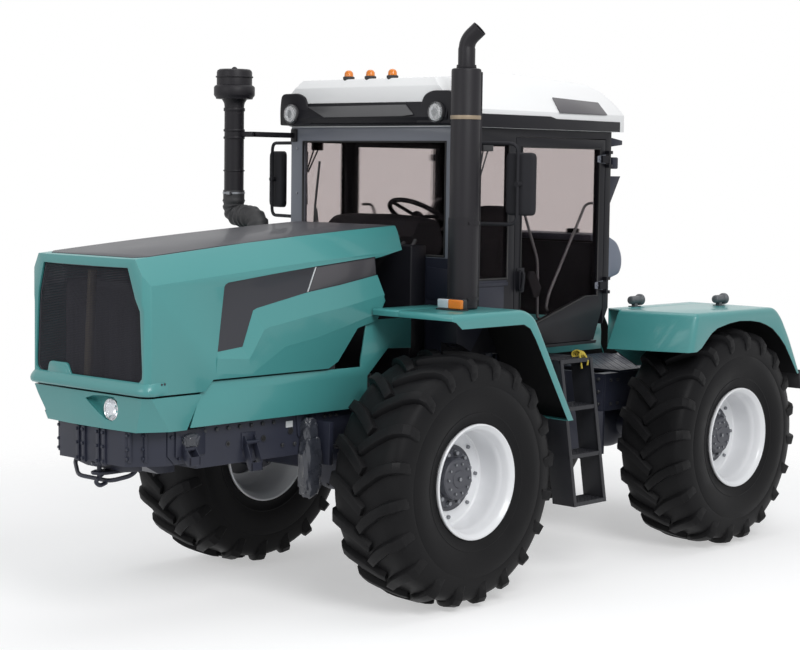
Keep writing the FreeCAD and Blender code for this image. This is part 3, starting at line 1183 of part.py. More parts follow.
def lift_rod():
    """Hangs outside the arm and beside the link, from eye to eye."""
    top = (ROCKSHAFT_X - ARM_LENGTH, ROCKSHAFT_Z)
    share = LIFT_ON_LINK / (LINK_PIN_X - link_end[0])
    foot = (LINK_PIN_X - LIFT_ON_LINK, LINK_PIN_Z + share * (link_end[1] - LINK_PIN_Z))
    y0, y1 = ARM_Y + 18 + SEAT_GAP, ARM_Y + 18 + 30
    pieces = [rod((x, y0, z), (x, y1, z), 34) for x, z in (top, foot)]
    mid = (y0 + y1) / 2
    pin_hole = rod((top[0], y0 - 1, top[1]), (top[0], y1 + 1, top[1]), ROD_PIN_R + PIN_GAP)
    return joined(*pieces, rod((top[0], mid, top[1]), (foot[0], mid, foot[1]), 14)).cut(pin_hole)


def lower_link():
    ys = (LINK_Y - LINK_T / 2, LINK_Y + LINK_T / 2)
    bar = prism_y([(LINK_PIN_X, LINK_PIN_Z - 32), (LINK_PIN_X, LINK_PIN_Z + 32),
                   (link_end[0], link_end[1] + 28), (link_end[0], link_end[1] - 28)], *ys)
    eyes = [rod((x, ys[0], z), (x, ys[1], z), r) for x, z, r in
            ((LINK_PIN_X, LINK_PIN_Z, LINK_PIN_R + 24), (link_end[0], link_end[1], 48))]
    holes = [rod((x, ys[0] - 1, z), (x, ys[1] + 1, z), r) for x, z, r in
             ((LINK_PIN_X, LINK_PIN_Z, LINK_PIN_R + PIN_GAP), (link_end[0], link_end[1], BALL_R))]
    whole = joined(bar, *eyes)
    for hole in holes:
        whole = whole.cut(hole)
    return whole


def top_link():
    a, b = (TOP_LINK_X, TOP_LINK_Z), TOP_LINK_END
    bar = rod((a[0], 0, a[1]), (b[0], 0, b[1]), 22)
    eyes = [rod((x, -30 + SEAT_GAP, z), (x, 30 - SEAT_GAP, z), 36) for x, z in (a, b)]
    whole = joined(bar, *eyes)
    for (x, z), r in ((a, 16 + PIN_GAP), (b, 16.0)):
        whole = whole.cut(rod((x, -40, z), (x, 40, z), r))
    return whole


add("lift_arms", lift_arms())
add("lift_rods", *both(lift_rod()).Solids)
add("lower_links", *both(lower_link()).Solids)
add("top_link", top_link())

# ---- write every piece, moved from the pivot's place to the origin's ---------------------------------
os.makedirs("parts", exist_ok=True)
for name, shape in parts.items():
    placed = shape.copy()
    placed.translate(V(PIVOT_X, 0, 0))
    placed.exportStep(os.path.join("parts", name + ".step"))
    if not placed.isValid():
        print("not valid:", name)
print(len(parts), "pieces")
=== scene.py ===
import bmesh
import bpy
import math
import random
from mathutils import Matrix, Vector


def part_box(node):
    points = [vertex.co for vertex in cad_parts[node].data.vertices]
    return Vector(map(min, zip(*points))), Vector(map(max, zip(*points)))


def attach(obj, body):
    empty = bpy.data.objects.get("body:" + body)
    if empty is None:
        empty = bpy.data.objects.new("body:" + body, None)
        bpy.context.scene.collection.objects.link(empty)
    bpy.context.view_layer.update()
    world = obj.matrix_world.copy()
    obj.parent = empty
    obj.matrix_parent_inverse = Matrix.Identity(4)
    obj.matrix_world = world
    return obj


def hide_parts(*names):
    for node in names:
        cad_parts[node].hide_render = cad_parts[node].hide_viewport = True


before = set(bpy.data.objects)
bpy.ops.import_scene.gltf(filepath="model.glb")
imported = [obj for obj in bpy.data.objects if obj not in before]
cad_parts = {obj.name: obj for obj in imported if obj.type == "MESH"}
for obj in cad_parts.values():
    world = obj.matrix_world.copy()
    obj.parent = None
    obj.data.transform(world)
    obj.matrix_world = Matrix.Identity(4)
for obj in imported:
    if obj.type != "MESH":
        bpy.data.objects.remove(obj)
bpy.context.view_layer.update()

# ---- camera ---------------------------------------------------------------------------------------
# It stands on a tripod in front of the tractor's left side, a little above the height of the bonnet, and
# looks back and slightly down at the cab.
bpy.ops.object.camera_add(location=(9.7415, 8.5796, 2.6872))
camera = bpy.context.object
yaw, pitch, roll = math.radians(223.107), math.radians(-4.802), math.radians(0.757)
ahead = Vector((math.cos(pitch) * math.cos(yaw), math.cos(pitch) * math.sin(yaw), math.sin(pitch)))
level = ahead.cross(Vector((0, 0, 1))).normalized()
upright = level.cross(ahead)
across = level * math.cos(roll) + upright * math.sin(roll)
up = upright * math.cos(roll) - level * math.sin(roll)
camera.matrix_world = Matrix(((across.x, up.x, -ahead.x, camera.location.x),
    (across.y, up.y, -ahead.y, camera.location.y), (across.z, up.z, -ahead.z, camera.location.z),
    (0, 0, 0, 1)))
camera.data.lens = 84.9
bpy.context.scene.camera = camera

# ---- tyres ----------------------------------------------------------------------------------------
# Wide radial tractor tyres of black rubber, moulded in one piece. Twenty tall bars run from the middle
# to each shoulder, crosswise over the tread at the shoulder and slanted where they meet in the middle.


def alone(piece=None):
    if bpy.context.mode != "OBJECT":
        bpy.ops.object.mode_set(mode="OBJECT")
    bpy.ops.object.select_all(action="DESELECT")
    if piece is not None:
        piece.select_set(True)
        bpy.context.view_layer.objects.active = piece


def edit(piece, mode="VERT"):
    alone(piece)
    bpy.ops.object.mode_set(mode="EDIT")
    bpy.ops.mesh.select_mode(type=mode)
    return bmesh.from_edit_mesh(piece.data)


def leave():
    bpy.ops.object.mode_set(mode="OBJECT")


def named(name):
    """Names the piece that was just added."""
    piece = bpy.context.object
    piece.name = piece.data.name = name
    return piece


def closed_up(merge=1e-5):
    """Merges doubled corners, turns every face outwards and leaves edit mode."""
    bpy.ops.mesh.select_all(action="SELECT")
    if merge:
        bpy.ops.mesh.remove_doubles(threshold=merge)
    bpy.ops.mesh.normals_make_consistent(inside=False)
    leave()


def applied(piece, kind, **values):
    """Gives a piece a modifier with these values and applies it."""
    alone(piece)
    modifier = piece.modifiers.new(kind, kind)
    for key, value in values.items():
        setattr(modifier, key, value)
    bpy.ops.object.modifier_apply(modifier=modifier.name)
    return piece


def loft(name, rings, ends=(True, True)):
    """Extrudes a ring of corners from one station to the next; ends says which of the two are capped."""
    alone()
    bpy.ops.mesh.primitive_circle_add(vertices=len(rings[0]), radius=0.01, fill_type="NGON")
    piece = named(name)
    mesh = edit(piece)
    bpy.ops.mesh.select_all(action="SELECT")
    order = mesh.verts.layers.int.new("order")
    for i, corner in enumerate(mesh.verts):
        corner[order] = i
        corner.co = rings[0][i]
    for ring in rings[1:]:
        bpy.ops.mesh.extrude_region_move()
        mesh = bmesh.from_edit_mesh(piece.data)
        order = mesh.verts.layers.int["order"]
        for corner in mesh.verts:
            if corner.select:
                corner.co = ring[corner[order]]
    caps = [ring for ring, kept in ((rings[0], ends[0]), (rings[-1], ends[1])) if not kept]
    for face in list(mesh.faces):
        for ring in caps:
            if face.is_valid and all(min((v.co - Vector(p)).length for p in ring) < 1e-6
                    for v in face.verts):
                mesh.faces.remove(face)
                break
    bmesh.update_edit_mesh(piece.data)
    closed_up(0)
    return piece


def spun(name, section, centre, steps):
    """Draws a closed outline of (radius, offset) corners and spins it about the wheel's axle."""
    alone()
    bpy.ops.mesh.primitive_circle_add(vertices=len(section), radius=0.01, fill_type="NOTHING")
    piece = named(name)
    mesh = edit(piece)
    mesh.verts.ensure_lookup_table()
    for corner, (r, y) in zip(mesh.verts, section):
        corner.co = (centre[0] + r, centre[1] + y, centre[2])
    bmesh.update_edit_mesh(piece.data)
    bpy.ops.mesh.select_all(action="SELECT")
    bpy.ops.mesh.spin(steps=steps, angle=math.tau, center=centre, axis=(0, 1, 0))
    closed_up()
    return piece


def twin(piece, name, matrix):
    """A copy with its own mesh, moved or mirrored in the mesh."""
    other = piece.copy()
    other.data = piece.data.copy()
    bpy.context.collection.objects.link(other)
    other.name = other.data.name = name
    other.data.transform(matrix)
    if matrix.determinant() < 0:
        other.data.flip_normals()
    return other


def fused(name, pieces):
    alone(pieces[0])
    for piece in pieces:
        piece.select_set(True)
    if len(pieces) > 1:
        bpy.ops.object.join()
    return named(name)


def bevelled(piece, width, segments=2, angle=35.0):
    """Rounds the edges sharper than an angle."""
    return applied(piece, "BEVEL", width=width, segments=segments, limit_method="ANGLE",
        angle_limit=math.radians(angle), use_clamp_overlap=True)


def painted(piece, *coats):
    """Replaces a piece's materials."""
    piece.data.materials.clear()
    for coat in coats:
        piece.data.materials.append(coat)


def dressed(piece, finish, body, slot, *nodes, smooth=32.0):
    """Gives a piece its finish, unless it was painted before, and its body, and hides the CAD nodes it
    stands for.
    """
    alone(piece)
    bpy.ops.object.transform_apply(location=True, rotation=True, scale=True)
    bpy.ops.object.shade_smooth_by_angle(angle=math.radians(smooth))
    if finish:
        painted(piece, finish)
    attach(piece, body)
    if nodes:
        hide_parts(*nodes)
    return piece


def new_group(name, inputs, outputs):
    group = bpy.data.node_groups.new(name, "ShaderNodeTree")
    for label, kind, value in inputs:
        socket = group.interface.new_socket(label, in_out="INPUT", socket_type=kind)
        socket.default_value = value
    for label, kind in outputs:
        group.interface.new_socket(label, in_out="OUTPUT", socket_type=kind)
    return group, group.nodes.new("NodeGroupInput"), group.nodes.new("NodeGroupOutput")


def patches_group():
    """Broad and fine variation of a painted or moulded surface, with dust that thickens downwards."""
    group, given, out = new_group("surface_patches", [("Color", "NodeSocketColor", (1, 1, 1, 1)),
        ("Dust Color", "NodeSocketColor", (0.32, 0.28, 0.22, 1)), ("Size", "NodeSocketFloat", 6.0),
        ("Change", "NodeSocketFloat", 0.12), ("Dust", "NodeSocketFloat", 0.2),
        ("Dust Top", "NodeSocketFloat", 1.2), ("Roughness", "NodeSocketFloat", 0.4),
        ("Grain", "NodeSocketFloat", 400.0)], [("Color", "NodeSocketColor"),
        ("Roughness", "NodeSocketFloat"), ("Height", "NodeSocketFloat")])
    nodes, links = group.nodes, group.links
    place = nodes.new("ShaderNodeTexCoord")
    broad, fine = nodes.new("ShaderNodeTexNoise"), nodes.new("ShaderNodeTexNoise")
    broad.inputs["Detail"].default_value = 5.0
    fine.inputs["Detail"].default_value = 2.0
    links.new(place.outputs["Object"], broad.inputs["Vector"])
    links.new(place.outputs["Object"], fine.inputs["Vector"])
    links.new(given.outputs["Size"], broad.inputs["Scale"])
    links.new(given.outputs["Grain"], fine.inputs["Scale"])

    def sum_of(operation, a, b, clamp=False):
        node = nodes.new("ShaderNodeMath")
        node.operation, node.use_clamp = operation, clamp
        for socket, value in zip(node.inputs, (a, b)):
            if isinstance(value, (int, float)):
                socket.default_value = value
            else:
                links.new(value, socket)
        return node.outputs[0]

    swing = sum_of("MULTIPLY", sum_of("SUBTRACT", broad.outputs["Fac"], 0.5), given.outputs["Change"])
    shade = nodes.new("ShaderNodeHueSaturation")
    links.new(given.outputs["Color"], shade.inputs["Color"])
    links.new(sum_of("ADD", sum_of("MULTIPLY", swing, 2.0), 1.0), shade.inputs["Value"])
    split = nodes.new("ShaderNodeSeparateXYZ")
    links.new(place.outputs["Object"], split.inputs[0])
    low = sum_of("SUBTRACT", 1.0, sum_of("DIVIDE", split.outputs["Z"], given.outputs["Dust Top"], True),
        True)
    spread = sum_of("MULTIPLY", low, sum_of("MULTIPLY", broad.outputs["Fac"], given.outputs["Dust"]), True)
    mix = nodes.new("ShaderNodeMix")
    mix.data_type = "RGBA"
    links.new(spread, mix.inputs["Factor"])
    links.new(shade.outputs["Color"], mix.inputs[6])
    links.new(given.outputs["Dust Color"], mix.inputs[7])
    links.new(mix.outputs[2], out.inputs["Color"])
    rough = sum_of("ADD", given.outputs["Roughness"], sum_of("MULTIPLY", swing, 1.5))
    links.new(sum_of("ADD", rough, sum_of("MULTIPLY", spread, 0.5), True), out.inputs["Roughness"])
    links.new(fine.outputs["Fac"], out.inputs["Height"])
    return group


surface_patches = patches_group()


def finish(name, color, rough, metal=0.0, coat=0.0, size=6.0, change=0.08, dust=0.1, dust_top=1.2,
        grain=400.0, bump=0.02, shine=0.5):
    """A paint, rubber or plastic whose colour and gloss vary over the surface."""
    material = bpy.data.materials.new(name)
    material.use_nodes = True
    nodes, links = material.node_tree.nodes, material.node_tree.links
    shader = nodes["Principled BSDF"]
    patches = nodes.new("ShaderNodeGroup")
    patches.node_tree = surface_patches
    for label, value in (("Color", (*color, 1.0)), ("Size", size), ("Change", change), ("Dust", dust),
            ("Dust Top", dust_top), ("Roughness", rough), ("Grain", grain)):
        patches.inputs[label].default_value = value
    links.new(patches.outputs["Color"], shader.inputs["Base Color"])
    links.new(patches.outputs["Roughness"], shader.inputs["Roughness"])
    relief = nodes.new("ShaderNodeBump")
    relief.inputs["Strength"].default_value = bump
    relief.inputs["Distance"].default_value = 0.002
    links.new(patches.outputs["Height"], relief.inputs["Height"])
    links.new(relief.outputs["Normal"], shader.inputs["Normal"])
    shader.inputs["Metallic"].default_value = metal
    shader.inputs["Coat Weight"].default_value = coat
    shader.inputs["Coat Roughness"].default_value = 0.08
    shader.inputs["Specular IOR Level"].default_value = shine
    return material


rubber = finish("tyre_rubber", (0.011, 0.011, 0.012), 0.46, change=0.3, size=5.0, dust=0.012, dust_top=1.5,
    grain=260.0, bump=0.25, shine=0.08)


def middle_of(node):
    """The middle of a frame piece's box."""
    return [(a + b) / 2 for a, b in zip(*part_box(node))]


low_corner, high_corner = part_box("tyre_front_left")
TYRE_R = (high_corner[2] - low_corner[2]) / 2
TYRE_HALF = (high_corner[1] - low_corner[1]) / 2
front_left_centre = middle_of("tyre_front_left")
WHEELS = [(end, side, hand) for end in ("front", "rear") for side, hand in (("left", 1), ("right", -1))]
BARS = 20                # tread bars on each half of a tyre
BAR_HEIGHT = 0.037
BAR_WIDTH = 0.045        # across a bar's top at its inner end
BAR_SINK = 0.004         # how far a bar's foot stands in the casing

# Crown, shoulder, flank and bead of the casing, as (radius, offset) corners of one half.
casing_half = [(TYRE_R - 0.037, 0.0), (TYRE_R - 0.039, 0.075), (TYRE_R - 0.043, 0.15),
    (TYRE_R - 0.052, 0.212), (TYRE_R - 0.07, 0.244), (TYRE_R - 0.098, 0.262), (TYRE_R - 0.145, 0.273),
    (0.6, 0.2785), (0.585, 0.2755), (0.577, 0.2795), (0.52, 0.28), (0.47, 0.274), (0.43, 0.261),
    (0.424, 0.2625), (0.416, 0.2575), (0.392, 0.248), (0.372, 0.245), (0.3585, 0.245)]
casing_inner = [(0.3585, 0.215), (0.4, 0.215), (0.6, 0.235), (0.69, 0.2), (0.7, 0.0)]


def tyre(name, centre, lean):
    """Casing and bars; lean says which way the bars slant round the wheel."""
    outline = casing_half[::-1] + [(r, -y) for r, y in casing_half[1:]]
    outline += [(r, -y) for r, y in casing_inner] + casing_inner[-2::-1]
    casing = spun(name + "_casing", outline, centre, 96)
    bars = []
    profile = [Vector((r, y)) for r, y in casing_half[:9]]
    lengths = [0.0]
    for a, b in zip(profile, profile[1:]):
        lengths.append(lengths[-1] + (b - a).length)

    def on_casing(run):
        """Point and outward direction at a distance from the middle line along the casing."""
        side = -1.0 if run < 0 else 1.0
        run = abs(run)
        for i in range(len(profile) - 1):
            if run <= lengths[i + 1] or i == len(profile) - 2:
                share = (run - lengths[i]) / (lengths[i + 1] - lengths[i])
                point = profile[i].lerp(profile[i + 1], share)
                way = (profile[i + 1] - profile[i]).normalized()
                return Vector((point.x, side * point.y)), Vector((way.y, -side * way.x))
        return None

    stations = (-0.024, 0.004, 0.05, 0.1, 0.15, 0.195, 0.23, 0.262, 0.3, 0.345)
    for side in (1, -1):
        rings = []
        for i, run in enumerate(stations):
            share = (run + 0.024) / 0.29
            turn = (0.285 * min(share, 1.0) - 0.1 * min(share, 1.0) ** 2) / TYRE_R
            point, way = on_casing(run)
            fade = 1.0 if run < 0.24 else max(0.08, 1.0 - (run - 0.24) / 0.105 * 0.92)
            if i == 0:
                fade = 0.88
            top = point + way * BAR_HEIGHT * fade
            foot = point - way * BAR_SINK
            half_top = BAR_WIDTH / 2 + 0.0095 * min(share, 1.0)
            half_foot = half_top + 0.012
            skew = 0.5 if share < 0.6 else 0.2
            ring = []
            for spot, half in ((foot, -half_foot), (top, -half_top), (top, half_top), (foot, half_foot)):
                angle = lean * (turn + half / TYRE_R)
                y = min(spot.y - half * skew, TYRE_HALF - 0.0005)      # never past the frame's box
                ring.append((centre[0] + spot.x * math.sin(angle), centre[1] + side * y,
                    centre[2] + spot.x * math.cos(angle)))
            rings.append(ring)
        bar = loft(name + "_bar", rings)
        bevelled(bar, 0.005, 2, 40)
        for k in range(BARS):
            angle = (k + (0.5 if side < 0 else 0.0)) * math.tau / BARS
            about = Matrix.Translation(centre) @ Matrix.Rotation(angle, 4,
                "Y") @ Matrix.Translation(-Vector(centre))
            bars.append(twin(bar, name + "_bar_%d" % k, about))
        bpy.data.objects.remove(bar)
    return fused(name, [casing] + bars)


left_tyre = tyre("tyre_left_hand", front_left_centre, -1)
middle = Vector(front_left_centre)
REAR_TURN = 0.11         # the rear wheels stand a little further round than the front ones
for end, side, hand in WHEELS:
    node = "tyre_%s_%s" % (end, side)
    turn = Matrix.Rotation(REAR_TURN if end == "rear" else 0.0, 4, "Y")
    move = Matrix.Translation(Vector(middle_of(node))) @ turn @ Matrix.Diagonal((1, hand, 1, 1))
    moved = twin(left_tyre, "treaded_" + node, move @ Matrix.Translation(-middle))
    dressed(moved, rubber, "wheel_%s_%s" % (end, side), "tyre_rubber", node, smooth=28.0)
bpy.data.objects.remove(left_tyre)

# ---- rims -----------------------------------------------------------------------------------------
# Deep welded steel rims, painted silver white, with the flange turned out over the tyre's bead. The
# planetary hub is a dark casting that carries a ring of wheel nuts and a cover with its own bolts.
rim_white = finish("rim_white", (0.86, 0.87, 0.89), 0.3, coat=0.35, change=0.05, dust=0.12, dust_top=1.1,
    bump=0.03)
hub_grey = finish("hub_grey", (0.042, 0.046, 0.062), 0.42, coat=0.1, change=0.1, dust=0.2, bump=0.08)
nut_steel = finish("nut_steel", (0.24, 0.25, 0.27), 0.34, metal=0.85, change=0.15, bump=0.05)

rim_outline = [(0.301, 0.15), (0.301, 0.06), (0.296, 0.034), (0.286, 0.026), (0.205, 0.026), (0.205, 0.01),
    (0.29, 0.01), (0.3, 0.002), (0.301, -0.15), (0.31, -0.215), (0.334, -0.246), (0.344, -0.262),
    (0.352, -0.265), (0.3555, -0.262), (0.3555, -0.25), (0.35, -0.247), (0.331, -0.238), (0.33, -0.195),
    (0.318, -0.165), (0.318, 0.165), (0.33, 0.195), (0.331, 0.238), (0.35, 0.247), (0.3555, 0.25),
    (0.3555, 0.262), (0.352, 0.265), (0.344, 0.2655), (0.338, 0.258), (0.326, 0.25), (0.318, 0.235),
    (0.312, 0.205), (0.308, 0.19), (0.303, 0.182)]
hub_outline = [(0.0, 0.12), (0.052, 0.12), (0.056, 0.114), (0.12, 0.112), (0.128, 0.106), (0.134, 0.06),
    (0.17, 0.052), (0.182, 0.046), (0.186, 0.034), (0.206, 0.034), (0.206, 0.0262), (0.0, 0.0262)]
rim = spun("rim_left_hand", rim_outline, front_left_centre, 96)
hub = spun("hub_left_hand", hub_outline, front_left_centre, 64)


def choose(piece, kind, test):
    """Selects the piece's faces, edges or corners whose middle passes a test, in edit mode."""
    mesh = edit(piece, {"faces": "FACE", "edges": "EDGE", "verts": "VERT"}[kind])
    bpy.ops.mesh.select_all(action="DESELECT")
    for part in getattr(mesh, kind):
        if kind == "faces":
            part.select_set(test(part.calc_center_median(), part.normal))
        elif kind == "edges":
            a, b = (v.co for v in part.verts)
            part.select_set(test((a + b) / 2, (b - a).normalized()))
        elif test(part.co, part.normal):
            part.select_set(True)
    mesh.select_flush_mode()
    bmesh.update_edit_mesh(piece.data)


def bolt_heads(name, way, across, reach, places):
    """Six-sided heads with a washer, on places, pointing a way."""
    alone()
    bpy.ops.mesh.primitive_cylinder_add(vertices=6, radius=across / 2, depth=reach)
    head = bpy.context.object
    choose(head, "faces", lambda mid, normal: normal.z > 0.9)
    bpy.ops.mesh.inset(thickness=across * 0.08)
    bpy.ops.transform.translate(value=(0, 0, reach * 0.12))
    choose(head, "faces", lambda mid, normal: normal.z < -0.9)
    bpy.ops.mesh.extrude_region_move()
    bpy.ops.transform.resize(value=(1.32, 1.32, 1.0))
    bpy.ops.mesh.extrude_region_move(TRANSFORM_OT_translate={"value": (0, 0, -reach * 0.2)})
    leave()
    turn = Vector((0, 0, 1)).rotation_difference(Vector(way)).to_matrix().to_4x4()
    heads = [twin(head, name + "_%d" % i, Matrix.Translation(place) @ turn
        @ Matrix.Translation((0, 0, reach * 0.4))) for i, place in enumerate(places)]
    bpy.data.objects.remove(head)
    return fused(name, heads)


def round_of(radius, count, start=0.0):
    """Evenly spaced corners of a circle about nought."""
    return [(radius * math.cos(start + i * math.tau / count), radius * math.sin(start
        + i * math.tau / count)) for i in range(count)]


def ring_of(centre, radius, count, offset, start=0.0):
    """Places on a circle square to the axle."""
    return [Vector((centre[0] + x, centre[1] + offset, centre[2] + z))
        for x, z in round_of(radius, count, start)]


nuts = fused("nuts_left_hand", [bolt_heads("wheel_nuts", (0, 1, 0), 0.03, 0.02,
    ring_of(front_left_centre, 0.156, 12, 0.057, 0.2)), bolt_heads("cover_bolts", (0, 1, 0), 0.016, 0.01,
    ring_of(front_left_centre, 0.094, 10, 0.113)), bolt_heads("disc_bolts", (0, 1, 0), 0.024, 0.016,
    ring_of(front_left_centre, 0.245, 8, 0.027)), bolt_heads("drain_plug", (0, 1, 0), 0.026, 0.012,
    ring_of(front_left_centre, 0.0, 1, 0.12))])

valve_foot = middle + Vector((0.275, 0.0, 0.09))
valve = loft("valve_left_hand", [ring_of(valve_foot, r, 10, y) for r, y in ((0.009, 0.02), (0.009, 0.052),
    (0.006, 0.056), (0.006, 0.088), (0.008, 0.09), (0.008, 0.104), (0.004, 0.107))])

for end, side, hand in WHEELS:
    place = "_%s_%s" % (end, side)
    mirror = Matrix.Diagonal((1, hand, 1, 1)) @ Matrix.Translation(-middle)
    shift = Matrix.Translation(Vector(middle_of("tyre" + place))) @ mirror
    dressed(twin(rim, "deep_rim" + place, shift), rim_white, "wheel" + place, "wheel_white", "rim" + place)
    dressed(twin(hub, "hub" + place, shift), hub_grey, "wheel" + place, "chassis_paint")
    dressed(twin(nuts, "wheel_nuts" + place, shift), nut_steel, "wheel" + place, "rod_chrome", smooth=20.0)
    dressed(twin(valve, "valve" + place, shift), nut_steel, "wheel" + place, "rod_chrome")
for spare in (rim, hub, nuts, valve):
    bpy.data.objects.remove(spare)

# ---- bonnet ---------------------------------------------------------------------------------------
# A moulded glass-fibre engine cover in gloss teal, hinged at its rear edge. Each side has a sunk dark
# band that drops behind the nose, and the flat top between the crests is a matt dark panel.
PIN_X = front_left_centre[0] - 1.43     # the steering pin, from which lengths are measured


def at(x, y, z):
    """A point measured from the steering pin, the middle and the ground."""
    return Vector((PIN_X + x, y, z))


def run_of(hand, *points):
    """Points of a run on the left, or mirrored to the right."""
    return [at(x, hand * y, z) for x, y, z in points]


def stood(line, y):
    """A side outline of (x, z) corners at a distance y from the middle."""
    return [at(x, y, z) for x, z in line]


def softened(node, name, width=0.004, segments=2, angle=30.0):
    """A copy of a frame piece with its flat faces merged and its sharp edges rounded."""
    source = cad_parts[node]
    piece = source.copy()
    piece.data = source.data.copy()
    piece.parent = None
    for key in list(piece.keys()):
        del piece[key]
    bpy.context.collection.objects.link(piece)
    piece.name = piece.data.name = name
    edit(piece)
    bpy.ops.mesh.select_all(action="SELECT")
    bpy.ops.mesh.remove_doubles(threshold=2e-5)
    bpy.ops.mesh.dissolve_limited(angle_limit=math.radians(0.6))
    bpy.ops.mesh.normals_make_consistent(inside=False)
    leave()
    return bevelled(piece, width, segments, angle) if width else piece


def cut_out(piece, cutter):
    applied(piece, "BOOLEAN", operation="DIFFERENCE", solver="EXACT", object=cutter)
    bpy.data.objects.remove(cutter)


teal = finish("teal_paint", (0.066, 0.292, 0.29), 0.36, coat=0.3, size=1.6, change=0.05, dust=0.05,
    dust_top=1.5, grain=900.0, bump=0.012)
band_dark = finish("band_dark", (0.02, 0.021, 0.029), 0.46, coat=0.12, size=2.5, change=0.1, dust=0.04,
    grain=900.0, bump=0.02)
panel_dark = finish("panel_dark", (0.028, 0.029, 0.037), 0.5, coat=0.1, size=1.8, change=0.12, dust=0.04,
    dust_top=0.5, grain=700.0, bump=0.05)


def crest(x):
    """Height of the bonnet's upper edge."""
    share = (x - 1.39) / 2.11
    return 2.317 - 0.16 * (0.72 * share + 0.28 * share * share)


cover = softened("bonnet", "bonnet_cover", 0)
painted(cover, teal, band_dark)
choose(cover, "edges", lambda mid, way: abs(way.z) > 0.8 and abs(mid.y) > 0.491 and mid.x > PIN_X + 3.4
    and (abs(mid.y) > 0.5295 or mid.x > PIN_X + 3.45))
bpy.ops.mesh.bevel(offset=0.017, segments=4, affect="EDGES", clamp_overlap=True)
choose(cover, "edges", lambda mid, way: abs(way.x) > 0.9 and mid.z > crest(mid.x - PIN_X) - 0.17
    and (abs(abs(mid.y) - 0.53) < 0.001 or abs(abs(mid.y) - 0.442) < 0.001))
bpy.ops.mesh.bevel(offset=0.014, segments=4, affect="EDGES", clamp_overlap=True)
leave()

band = [(2.941, 1.621), (2.892, 1.99), (2.884, 2.004), (2.862, 2.015), (2.5, 2.054), (2.163, 2.087),
    (1.648, 2.133), (1.628, 2.018), (1.962, 1.966), (2.223, 1.934), (2.632, 1.858), (2.662, 1.846),
    (2.742, 1.64)]
facet = [(2.946, 1.585), (2.892, 1.99), (2.884, 2.004), (2.862, 2.015), (2.5, 2.054), (2.163, 2.087),
    (1.6, 2.137), (1.56, 1.895), (1.962, 1.832), (2.223, 1.796), (2.56, 1.744), (2.597, 1.732),
    (2.711, 1.568)]
for hand in (1, -1):
    cutter = loft("band_cutter", [stood(band, hand * 0.5205), stood(facet, hand * 0.5312)])
    painted(cutter, teal, band_dark)
    for face in cutter.data.polygons:
        face.material_index = 1 if abs(abs(face.center.y) - 0.5205) < 1e-4 else 0
    cut_out(cover, cutter)
bevelled(cover, 0.0022, 2, 40)
folds = []
fold_lines = [((2.941, 1.621), (2.946, 1.585), (2.95, 1.5)), ((2.742, 1.64), (2.711, 1.568),
    (2.68, 1.475)), ((2.662, 1.846), (2.597, 1.732), (2.45, 1.6)), ((2.632, 1.858), (2.56, 1.744),
    (2.42, 1.62)), ((2.223, 1.934), (2.2, 1.8), (2.15, 1.66)), ((1.962, 1.966), (1.955, 1.832),
    (1.93, 1.71)), ((1.628, 2.018), (1.575, 1.895), (1.6, 1.79))]
for hand in (1, -1):
    rings = []
    for i, (edge, ridge, fade) in enumerate(fold_lines):
        proud = 0.5345 if i in (0, len(fold_lines) - 1) else 0.5475
        low = (ridge[0] * 0.5 + fade[0] * 0.5, ridge[1] * 0.5 + fade[1] * 0.5)
        rings.append([at(x, hand * y, z) for y, (x, z) in ((0.5215, edge), (proud, ridge),
            (proud * 0.45 + 0.5305 * 0.55, low), (0.5302, fade), (0.527, fade), (0.5185, edge))])
    folds.append(loft("band_fold", rings))
dressed(fused("bonnet_folds", folds), teal, "bonnet", "green_paint", smooth=7.0)
lip_line = [(3.3, 0.529), (3.36, 0.529), (3.412, 0.529), (3.436, 0.518), (3.449, 0.496), (3.4535, 0.46),
    (3.454, 0.3), (3.454, 0.1)]
lip_line += [(x, -y) for x, y in lip_line[::-1]]
lip_share = [0.0, 0.35, 0.75, 0.95, 1.0, 1.0, 1.0, 1.0]
lip_share += lip_share[::-1]
rings = []
for i, ((x, y), share) in enumerate(zip(lip_line, lip_share)):
    before, after = lip_line[max(0, i - 1)], lip_line[min(len(lip_line) - 1, i + 1)]
    run = Vector((after[0] - before[0], after[1] - before[1])).normalized()
    out = Vector((-run.y, run.x))
    out = out if out.dot(Vector((x - 3.2, y))) > 0 else -out
    rings.append([at(x + out.x * d * share, y + out.y * d * share, z)
        for d, z in ((-0.004, 1.478), (0.004, 1.474), (0.016, 1.462), (0.03, 1.442), (0.034, 1.428),
        (0.032, 1.414), (0.022, 1.404), (-0.004, 1.403))])
dressed(loft("bonnet_lip", rings), teal, "bonnet", "green_paint", smooth=35.0)
dressed(cover, None, "bonnet", "green_paint", "bonnet", smooth=30.0)

rings = []
for i in range(37):
    x = 1.402 + i * (3.428 - 1.402) / 36
    corner = max(0.0, x - 3.368) / 0.06
    half = 0.43 - 0.06 * (1.0 - math.sqrt(max(0.0, 1.0 - corner * corner)))
    z = crest(x)
    rings.append(run_of(1, (x, -half, z - 0.003), (x, half, z - 0.003), (x, half, z + 0.003),
        (x, -half, z + 0.003)))
top_panel = bevelled(loft("bonnet_top_panel", rings), 0.0015, 2, 50)
dressed(top_panel, panel_dark, "bonnet", "black_plastic", smooth=25.0)

# ---- side badge plates ----------------------------------------------------------------------------
# A plain grey plate lies in the rear of each dark band, behind a slanted bright strip; both are blank
# printed aluminium, glued on.


def on_side(hand, y):
    """Lays a side outline at a distance y from the middle, its depth outwards."""
    return lambda x, z, d: at(x, hand * (y + d), z)


def slab(name, outline, place, thickness, width=0.0):
    """A plate with a rounded rim from an outline; place turns an (a, b, depth) corner into a point."""
    piece = loft(name, [[place(a, b, d) for a, b in outline] for d in (0.0, thickness)])
    return bevelled(piece, width, 2, 30) if width else piece


